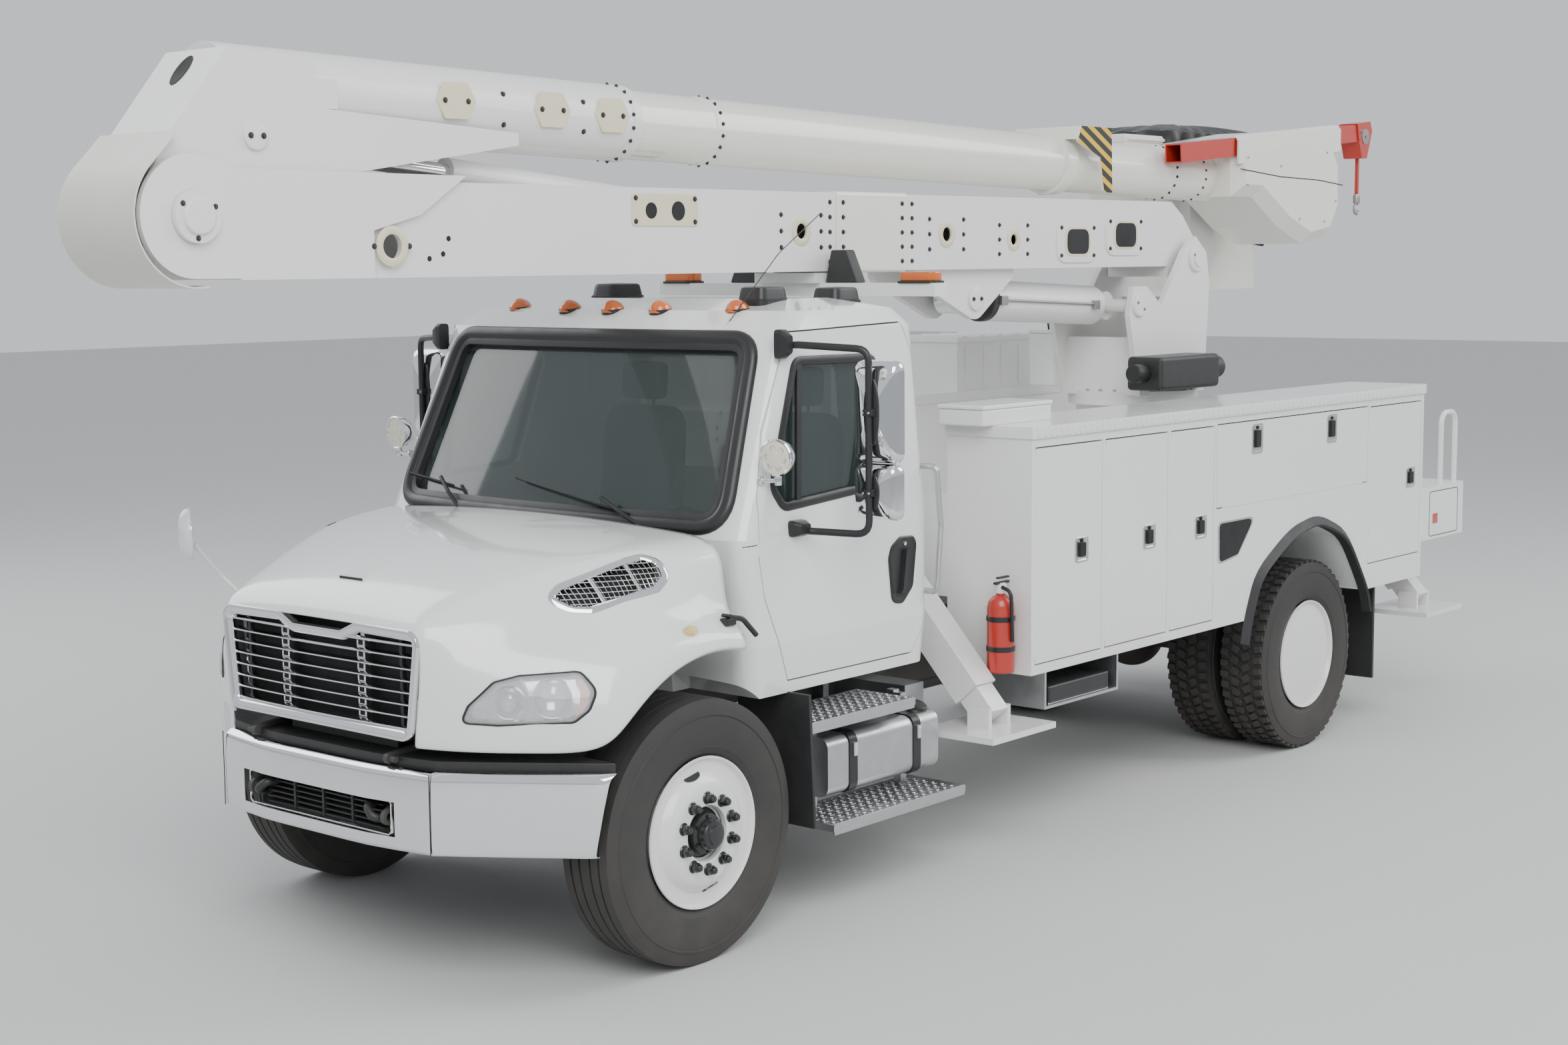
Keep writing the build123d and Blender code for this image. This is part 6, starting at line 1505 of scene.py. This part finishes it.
# Windows: station, height, radius, and the rows of bolts beside it.
WINDOWS = ((-1.754, 2.888, 0.048), (-2.894, 2.877, 0.048), (-3.485, 2.851, 0.040), (0.705, 2.820, 0.058))
WINDOW_RIM = ((-0.012, -0.006), (-0.012, 0.004), (-0.004, 0.008), (0.010, 0.007), (0.020, 0.003),
              (0.020, -0.002), (-0.012, -0.006))
INSERT = (-2.010, -2.560)
SLOTS = ((-4.087, 2.841), (-4.575, 2.878))
LIFT_EAR = (-3.209, 2.546)
ACCESS_PANEL = ((-0.628, 2.905), (-0.628, 3.045), (-1.044, 3.045), (-1.044, 2.905))
cream = finish("cream plastic", (0.74, 0.69, 0.50), (0.68, 0.63, 0.45), (0.35, 0.5), cloud=8.0, grain=0.04,
               grain_size=120)
gelcoat = finish("fibreglass gel coat", (0.84, 0.825, 0.755), (0.79, 0.775, 0.70), (0.16, 0.26), coat=0.6,
                 cloud=1.0, grain=0.02, grain_size=30, stretch=(0.35, 1, 1))
boom_trim = Piece("lower_boom_fittings", cast_black, cream, gelcoat, darkness, boom_enamel)
places = []
for side in (1, -1):
    facing = Vector((0, side, 0))
    for x, z, radius in WINDOWS:
        y = side * (BOOM_SIDE + (0.025 if x > 0 else 0))
        path = [at(x + along, y, z - side * up) for along, up in ring_line(radius, radius, 40)]
        boom_trim.band(path, WINDOW_RIM, 1, facing)
        ears = (-1, 1) if x > 0 else (-1.9, 1.9)
        for along in ears:
            for row in ((0,) if x > 0 else (-1, 0, 1)):
                places.append((at(x + along * (radius + 0.028), y, z + row * 0.075), facing))
    for edge, inwards in ((INSERT[0], 1), (INSERT[1], -1)):
        for row in range(5):
            for shift in (-0.045, 0.045):
                places.append((at(edge + shift, side * (BOOM_SIDE + (0.008 if shift * inwards < 0 else 0)),
                                  BOOM_LOW + 0.045 + row * 0.070), facing))
    for x, z in SLOTS:
        boom_trim.prism(rounded(x, z, 0.20, 0.115, 0.09, 6), side_view(side * (BOOM_SIDE - 0.001), side),
                        0.009, 4, 0.002, 1)
        for slot_index, share, depth in ((1, 1.0, 0.0105), (3, 0.86, 0.0110)):
            boom_trim.prism(drawn_in(rounded(x, z, 0.125, 0.078, 0.060, 6), share),
                            side_view(side * BOOM_SIDE, side), depth, slot_index)
        places += [(at(x + 0.16 * right, side * (BOOM_SIDE + 0.008), z + 0.075 * up), facing)
                   for right in (-1, 1) for up in (-1, 1)]
    boom_trim.prism(eased(ACCESS_PANEL, 0.02), side_view(side * (BOOM_SIDE - 0.001), side),
                    0.006, 1, 0.002, 1)
    for x, radius in ((-0.745, 0.035), (-0.915, 0.042)):
        boom_trim.turned(((radius, 0.0), (radius, 0.0066), (0.0005, 0.0066)),
                         out_from(side, x, BOOM_SIDE, 2.972), 3, sides=32)
    places += [(at(x, side * (BOOM_SIDE + 0.005), z), facing) for x in (-0.650, -1.022)
               for z in (2.925, 3.025)]
    for x, z in ((0.430, 2.790), (0.500, 2.772), (0.400, 2.850)):
        boom_trim.turned(((0.011, 0.0), (0.011, 0.0012), (0.0005, 0.0012)),
                         out_from(side, x, BOOM_SIDE, z), 3, sides=16)
    boom_trim.turned(((0.060, 0.0), (0.060, 0.012), (0.054, 0.016), (0.0005, 0.016)),
                     out_from(side, LIFT_EAR[0], 0.151, LIFT_EAR[1]), 4, sides=36)
    places += [(at(LIFT_EAR[0] + shift, side * 0.167, LIFT_EAR[1]), facing) for shift in (-0.034, 0.034)]
wrap = rounded(0, (BOOM_LOW + BOOM_HIGH) / 2, BOOM_SIDE, (BOOM_HIGH - BOOM_LOW) / 2, 0.012)
boom_trim.band([at(sum(INSERT) / 2, y, z) for y, z in wrap], (
    (-0.002, -0.275), (0.006, -0.275), (0.008, -0.270), (0.008, 0.270), (0.006, 0.275), (-0.002, 0.275),
    (-0.002, -0.275)), 2, (1, 0, 0))
bolts(boom_trim, places, 0.0125)
boom_trim.done("lower_boom")

# Elbow: each end of the steel shaft carries a keeper plate with three bolts.
# The worn white plastic guard is bent from one sheet and screwed to the neck's slanted plate.
ELBOW_PIN = (1.589, 2.926)
guard_plastic = finish("worn guard plastic", (0.74, 0.73, 0.69), (0.66, 0.645, 0.59), (0.38, 0.5), cloud=2.5,
                       grain=0.06, grain_size=40)
dress(guard_plastic, "elbow_guard")
shaft_ends = Piece("elbow_shaft_bolts", cast_black, boom_enamel)
for side in (1, -1):
    shaft_ends.turned(((0.066, 0.0), (0.066, 0.010), (0.060, 0.015), (0.0005, 0.015)),
                      out_from(side, ELBOW_PIN[0], 0.252, ELBOW_PIN[1]), 1, sides=40)
    bolts(shaft_ends, [(at(ELBOW_PIN[0] + 0.078 * cos(turn), side * 0.253, ELBOW_PIN[1] + 0.078 * sin(turn)),
                        (0, side, 0)) for turn in (0.6, 0.6 + 2 * pi / 3, 0.6 + 4 * pi / 3)], 0.011)
shaft_ends.done("elbow_shaft")

# Upper boom: a welded steel neck and sleeve, then a filament wound fibreglass tube with a glossy gel coat.
# Cream plastic covers over its ports take two bolts each, and collars stand where the tube is joined.
SLOPE_ANGLE = radians(1.35)
SLOPE = tan(SLOPE_ANGLE)
NECK_PIN = (1.291, 3.218)
COVERS = (0.310, -0.210, -0.560)
COLLARS = ((-0.720, 0.166, 0.030), (-1.250, 0.154, 0.016), (-5.200, 0.154, 0.016))
# Rings of rivets round the tube: station and radius.
RIVET_RINGS = ((-0.690, 0.1665), (-1.275, 0.1545), (-5.225, 0.1545), (-5.560, 0.150))
RIVETS = 18
STRIPED_PLATE = ((-4.060, 3.380), (-4.100, 3.464), (-4.400, 3.464), (-4.410, 3.110), (-4.330, 3.110),
                 (-4.290, 3.300))


def boom_line(x):
    """Height of the upper boom's middle at a station."""
    return 3.368 + x * SLOPE


neck = Piece("upper_boom_fittings", cast_black, cream, darkness, boom_enamel)
places = []
for side in (1, -1):
    for x in COVERS:
        z = boom_line(x) + 0.015
        line = [(x + 0.105, z), (x + 0.060, z + 0.072), (x - 0.060, z + 0.072), (x - 0.105, z),
                (x - 0.060, z - 0.072), (x + 0.060, z - 0.072)]
        neck.prism(line, side_view(side * 0.154, side), 0.014, 1, 0.003, 2)
        places += [(at(x + shift, side * 0.168, z), (0, side, 0)) for shift in (-0.060, 0.060)]
    for x in (0.050, -0.400):
        for up in (-1, 1):
            turn = radians(22) * up
            places.append((at(x, side * 0.163 * cos(turn), boom_line(x) + 0.163 * sin(turn)),
                           (0, side * cos(turn), sin(turn))))
    neck.turned(((0.052, -0.002), (0.052, 0.012), (0.046, 0.016), (0.0005, 0.016)),
                out_from(side, NECK_PIN[0], 0.185, NECK_PIN[1]), 3, sides=36)
    places += [(at(NECK_PIN[0] + shift, side * 0.201, NECK_PIN[1]), (0, side, 0))
               for shift in (-0.028, 0.028)]
bolts(neck, places, 0.0125)
slant = Vector((1.665 - 1.400, 0, 3.200 - 3.530)).normalized()
square = Vector((slant.z, 0, -slant.x)) * -1
front_middle = at(1.464, 0, 3.452)
window = [front_middle + slant * 0.070 * cos(turn) + Vector((0, 0.040 * sin(turn), 0))
          for turn in (2 * pi * step / 32 for step in range(32))]
neck.skin([[point + square * off for point in window] for off in (-0.002, 0.0015)], 2)
neck.done("upper_boom")

dress(gelcoat, "fibreglass_boom")
yellow_paint = finish("safety yellow", (0.78, 0.50, 0.02), (0.70, 0.44, 0.02), (0.35, 0.5), cloud=5.0)


def clip_to(stripe, plate):
    """The part of a plate's outline inside a convex stripe whose points run counter-clockwise."""
    kept = [Vector(point) for point in plate]
    for start, end in zip(stripe, stripe[1:] + stripe[:1]):
        edge, cut_line = Vector(end) - Vector(start), []
        for here, after in zip(kept, kept[1:] + kept[:1]):
            near, far = edge.cross(here - Vector(start)), edge.cross(after - Vector(start))
            if near >= 0:
                cut_line.append(here)
            if near * far < 0:
                cut_line.append(here.lerp(after, near / (near - far)))
        kept = cut_line
    return kept


collars = Piece("boom_collars_and_striped_clamp", cast_black, boom_enamel, yellow_paint, trim_black)
aim = Vector((-cos(SLOPE_ANGLE), 0, -sin(SLOPE_ANGLE)))
for x, radius, half in COLLARS:
    collars.turned(((radius - 0.010, -half), (radius, -half + 0.004), (radius, half - 0.004),
                    (radius - 0.010, half)), placed(at(x, 0, boom_line(x)), aim), 1, sides=64, open_ends=True)
for side in (1, -1):
    collars.prism(STRIPED_PLATE, side_view(side * 0.2185, side), 0.0020, 2)
    for index in range(9):
        base = 3.010 + index * 0.070
        stripe = [(-4.055, base + 0.225), (-4.415, base + 0.035), (-4.415, base), (-4.055, base + 0.190)]
        kept = clip_to(stripe, STRIPED_PLATE)
        if len(kept) > 2:
            collars.prism(kept, side_view(side * 0.2200, side), 0.0020, 3)
places = []
for x, radius in RIVET_RINGS:
    up = Vector((aim.z, 0, -aim.x)).normalized()
    for step in range(RIVETS):
        turn = 2 * pi * (step + 0.5) / RIVETS
        out = Vector((0, 1, 0)) * cos(turn) + up * sin(turn)
        places.append((at(x, 0, boom_line(x)) + out * radius, out))
bolts(collars, places, 0.009)
collars.done("upper_boom")

# Boom tip: a two-part moulded fibreglass cover with a seam along its middle and screws down both edges.
TIP_SEAM = ((-5.705, 3.270), (-6.200, 3.235), (-6.700, 3.225), (-7.026, 3.200))
TIP_SIDE = 0.300
tip_trim = Piece("tip_seam_and_screws", stainless, darkness)
places = []
for side in (1, -1):
    for (near_x, near_z), (far_x, far_z) in zip(TIP_SEAM, TIP_SEAM[1:]):
        tip_trim.skin([[at(x, side * (TIP_SIDE + off), z + up) for up, off in
                        ((-0.003, -0.002), (0.003, -0.002), (0.003, 0.0012), (-0.003, 0.0012))]
                       for x, z in ((near_x, near_z), (far_x, far_z))], 1)
    for x, z in ((-5.79, 3.34), (-5.79, 3.18), (-6.20, 3.30), (-6.80, 3.40), (-6.93, 3.10), (-6.78, 2.97),
                 (-6.45, 2.98)):
        places.append((at(x, side * TIP_SIDE, z), (0, side, 0)))
bolts(tip_trim, places, 0.010)
# The channel cover over the jib is a moulded hood open below, and the jib slides through it.
JIB_Y, JIB_START, JIB_Z, JIB_SLOPE = 0.215, -5.070, 3.345, 0.205 / 2.330
HOOD_SECTION = ((-0.078, -0.100), (-0.078, 0.042), (-0.052, 0.068), (0.052, 0.068), (0.078, 0.042),
                (0.078, -0.100), (0.066, -0.100), (0.066, 0.036), (0.060, 0.057), (-0.060, 0.057),
                (-0.066, 0.036), (-0.066, -0.100))
hood_rings = []
for x, drop in ((-5.690, 0.004), (-5.710, 0.0), (-6.980, 0.0), (-7.000, 0.004)):
    z = JIB_Z + (JIB_START - x) * JIB_SLOPE
    hood_rings.append([at(x, JIB_Y + y, z + up - (drop if up > 0 else 0)) for y, up in HOOD_SECTION])
channel = Piece("jib_channel_cover", gelcoat)
channel.skin(hood_rings, 0)
channel.done("upper_boom")
tip_trim.done("upper_boom")

# Jib: a square red steel tube that slides in the tip, with a grey sheave between its cheeks and a hook below.
SHEAVE = (-7.372, JIB_Y, 3.520)
HOOK_X = -7.395
dress(red_paint, "jib")
jib_head = Piece("jib_sheave_and_hook", bare_steel)
for side in (1, -1):
    bolts(jib_head, [(at(SHEAVE[0], SHEAVE[1] + side * 0.065, SHEAVE[2]), (0, side, 0)),
                     (at(SHEAVE[0] + 0.055, SHEAVE[1] + side * 0.065, SHEAVE[2] + 0.028), (0, side, 0))],
          0.016)
    jib_head.turned(((0.050, 0.0), (0.050, 0.004), (0.0005, 0.005)),
                    placed(at(SHEAVE[0], SHEAVE[1] + side * 0.0648, SHEAVE[2]), (0, side, 0)), 0, sides=32)
hook = []
for turn in (radians(100 - step * 19) for step in range(15)):
    hook.append(at(HOOK_X + 0.030 * cos(turn), JIB_Y, 3.055 + 0.034 * sin(turn)))
jib_head.tube([at(HOOK_X, JIB_Y, 3.15)] + hook, 0.0085, 0, corner=0.01, sides=10, steps=2)
jib_head.turned(((0.018, -0.03), (0.022, -0.02), (0.022, 0.02), (0.018, 0.03)),
                placed(at(HOOK_X, JIB_Y, 3.12), (0, 0, 1)), 0, sides=24)
jib_head.done("jib")

bpy.data.objects.remove(bolt)

# Bucket: a moulded fibreglass box with a rolled rim and a step pocket, and a white tool box on its front
# face.
BUCKET = ((-6.080, -7.300), (-1.060, -0.450), (2.540, 3.540))
BUCKET_CORNER = 0.070
BUCKET_RIM = ((-0.002, -0.040), (0.010, -0.040), (0.018, -0.030), (0.020, -0.010), (0.016, 0.003),
              (0.006, 0.008), (-0.010, 0.008), (-0.016, 0.002), (-0.016, -0.004), (-0.002, -0.040))
dress(gelcoat, "bucket")
BUCKET_MIDDLE = (sum(BUCKET[0]) / 2, sum(BUCKET[1]) / 2)
BUCKET_HALF = ((BUCKET[0][0] - BUCKET[0][1]) / 2, (BUCKET[1][1] - BUCKET[1][0]) / 2)
bucket_line = rounded(*BUCKET_MIDDLE, *BUCKET_HALF, BUCKET_CORNER, 8)
bucket_parts = Piece("bucket_rim_and_pockets", gelcoat, darkness, black_plastic)
bucket_parts.band([at(x, y, BUCKET[2][1]) for x, y in bucket_line], BUCKET_RIM, 0, (0, 0, 1))
bucket_parts.block((-5.615, -6.085), (-0.450, -0.805), (3.455, 3.508), 0, 0.010, 3)
bucket_parts.block((-5.640, -6.085), (-0.440, -0.815), (3.470, 3.492), 0, 0.006, 2)
bucket_parts.prism(eased(((-6.55, 2.90), (-6.83, 2.90), (-6.83, 3.06), (-6.55, 3.06)), 0.03),
                   side_view(BUCKET[1][0] + 0.001, -1), 0.004, 1)
bucket_parts.block((-6.53, -6.85), (BUCKET[1][0] - 0.030, BUCKET[1][0] + 0.002), (2.885, 2.902), 2, 0.004)
bucket_parts.done("platform")

# Bucket cover: one piece of black vinyl cloth laid over the rim, its hem gathered on an elastic cord at the
# sides and hanging loose behind. It is cut about 1.1 by 2.1 m.
COVER_FOLDS = 23
COVER_HANG, COVER_TAIL = 0.150, 0.700
COVER_MARGIN = 0.022
vinyl = finish("black vinyl cloth", (0.018, 0.018, 0.019), (0.03, 0.03, 0.031), (0.35, 0.5), cloud=7.0,
               grain=0.25, grain_size=320)
cover_line = rounded(*BUCKET_MIDDLE, *(half + COVER_MARGIN for half in BUCKET_HALF), 0.08, 10)
smooth_line = in_steps(cover_line, 0.012)
middle = Vector(BUCKET_MIDDLE)
rings = []
travel = [0.0]
for near, far in zip(smooth_line, smooth_line[1:]):
    travel.append(travel[-1] + (far - near).length)
total = travel[-1] + (smooth_line[0] - smooth_line[-1]).length
for share in (0.01, 0.12, 0.25, 0.38, 0.50, 0.62, 0.73, 0.83, 0.91, 0.965, 1.0):
    ring = []
    for point, far_along in zip(smooth_line, travel):
        here = middle + (point - middle) * share
        turn = 2 * pi * far_along / total
        ripple = 0.007 * share ** 2 * sin(COVER_FOLDS * turn + 1.7 * sin(3 * turn))
        sag = 0.048 * (1 - share ** 2.5) + 0.012 * sin(here.x * 11 + here.y * 7) * (1 - share)
        ring.append(at(here.x, here.y, 3.556 + sag + ripple - 0.010 * share ** 8))
    rings.append(ring)
for down in (0.02, 0.05, 0.09, 0.14, 0.20, 0.28, 0.38, 0.50, 0.64, 0.80, 1.0):
    ring = []
    for index, (point, far_along) in enumerate(zip(smooth_line, travel)):
        turn = 2 * pi * far_along / total
        before, after = smooth_line[index - 1], smooth_line[(index + 1) % len(smooth_line)]
        out = Vector(((after - before).y, -(after - before).x)).normalized()
        rear = min(max((BUCKET[0][1] + 0.10 - point.x) / 0.09, 0), 1)
        rear = rear * rear * (3 - 2 * rear)
        drop = COVER_HANG + 0.03 * sin(5 * turn + 0.6) + (COVER_TAIL - COVER_HANG) * rear
        fold = sin(COVER_FOLDS * turn + 1.7 * sin(3 * turn) + 0.9 * down)
        wave = (0.003 + 0.016 * min(down * 2, 1)) * fold + 0.012 * rear * sin(7 * turn + 3 * down)
        gather = 0.010 * (1 - rear) * (down ** 2)
        push = 0.012 + wave - gather + 0.014
        ring.append(at(point.x + out.x * max(push, 0.006), point.y + out.y * max(push, 0.006),
                       3.546 - drop * down))
    rings.append(ring)
form = bmesh.new()
rows = [[form.verts.new(point) for point in ring] for ring in rings]
for low, high in zip(rows, rows[1:]):
    for index in range(len(low)):
        after = (index + 1) % len(low)
        form.faces.new((low[index], high[index], high[after], low[after]))
form.faces.new(rows[0])
bmesh.ops.recalc_face_normals(form, faces=form.faces)
if sum(face.normal.z for face in form.faces if face.calc_center_median().z > 3.56) < 0:
    bmesh.ops.reverse_faces(form, faces=form.faces)
mesh = bpy.data.meshes.new("vinyl_bucket_cover")
for face in form.faces:
    face.smooth = True
form.to_mesh(mesh)
form.free()
mesh.materials.append(vinyl)
cover = in_scene("vinyl_bucket_cover", mesh)
wall = cover.modifiers.new("cloth", "SOLIDIFY")
wall.thickness, wall.offset = 0.002, 1
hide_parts("bucket_cover")
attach(cover, "platform")

# Lift cylinder: a painted barrel with a black gland at its mouth.
# A short steel line runs along the barrel between two machined port blocks.
lift = Piece("lift_cylinder_gland", black_plastic, bare_steel)
LIFT_BARREL = 1.150
base = at(LIFT_PIN[0], 0, LIFT_PIN[1])
aim = (at(LIFT_EAR[0], 0, LIFT_EAR[1]) - base).normalized()
gland = placed(base + aim * LIFT_BARREL, aim)
lift.turned(((0.109, -0.030), (0.114, -0.026), (0.114, 0.016), (0.108, 0.022), (0.080, 0.026),
             (0.056, 0.026)), gland, 0, sides=56, open_ends=True)
for distance in (0.20, 1.10):
    seat = base + aim * distance
    lift.block((seat.x - FRONT_AXLE - 0.030, seat.x - FRONT_AXLE + 0.030), (0.095, 0.130),
               (seat.z - 0.025, seat.z + 0.025), 1, 0.004)
lift.tube([base + Vector((0.20, 0.118, 0.012)), base + Vector((1.09, 0.118, 0.052))], 0.007, 1, sides=10)
lift.done("lift_barrel")
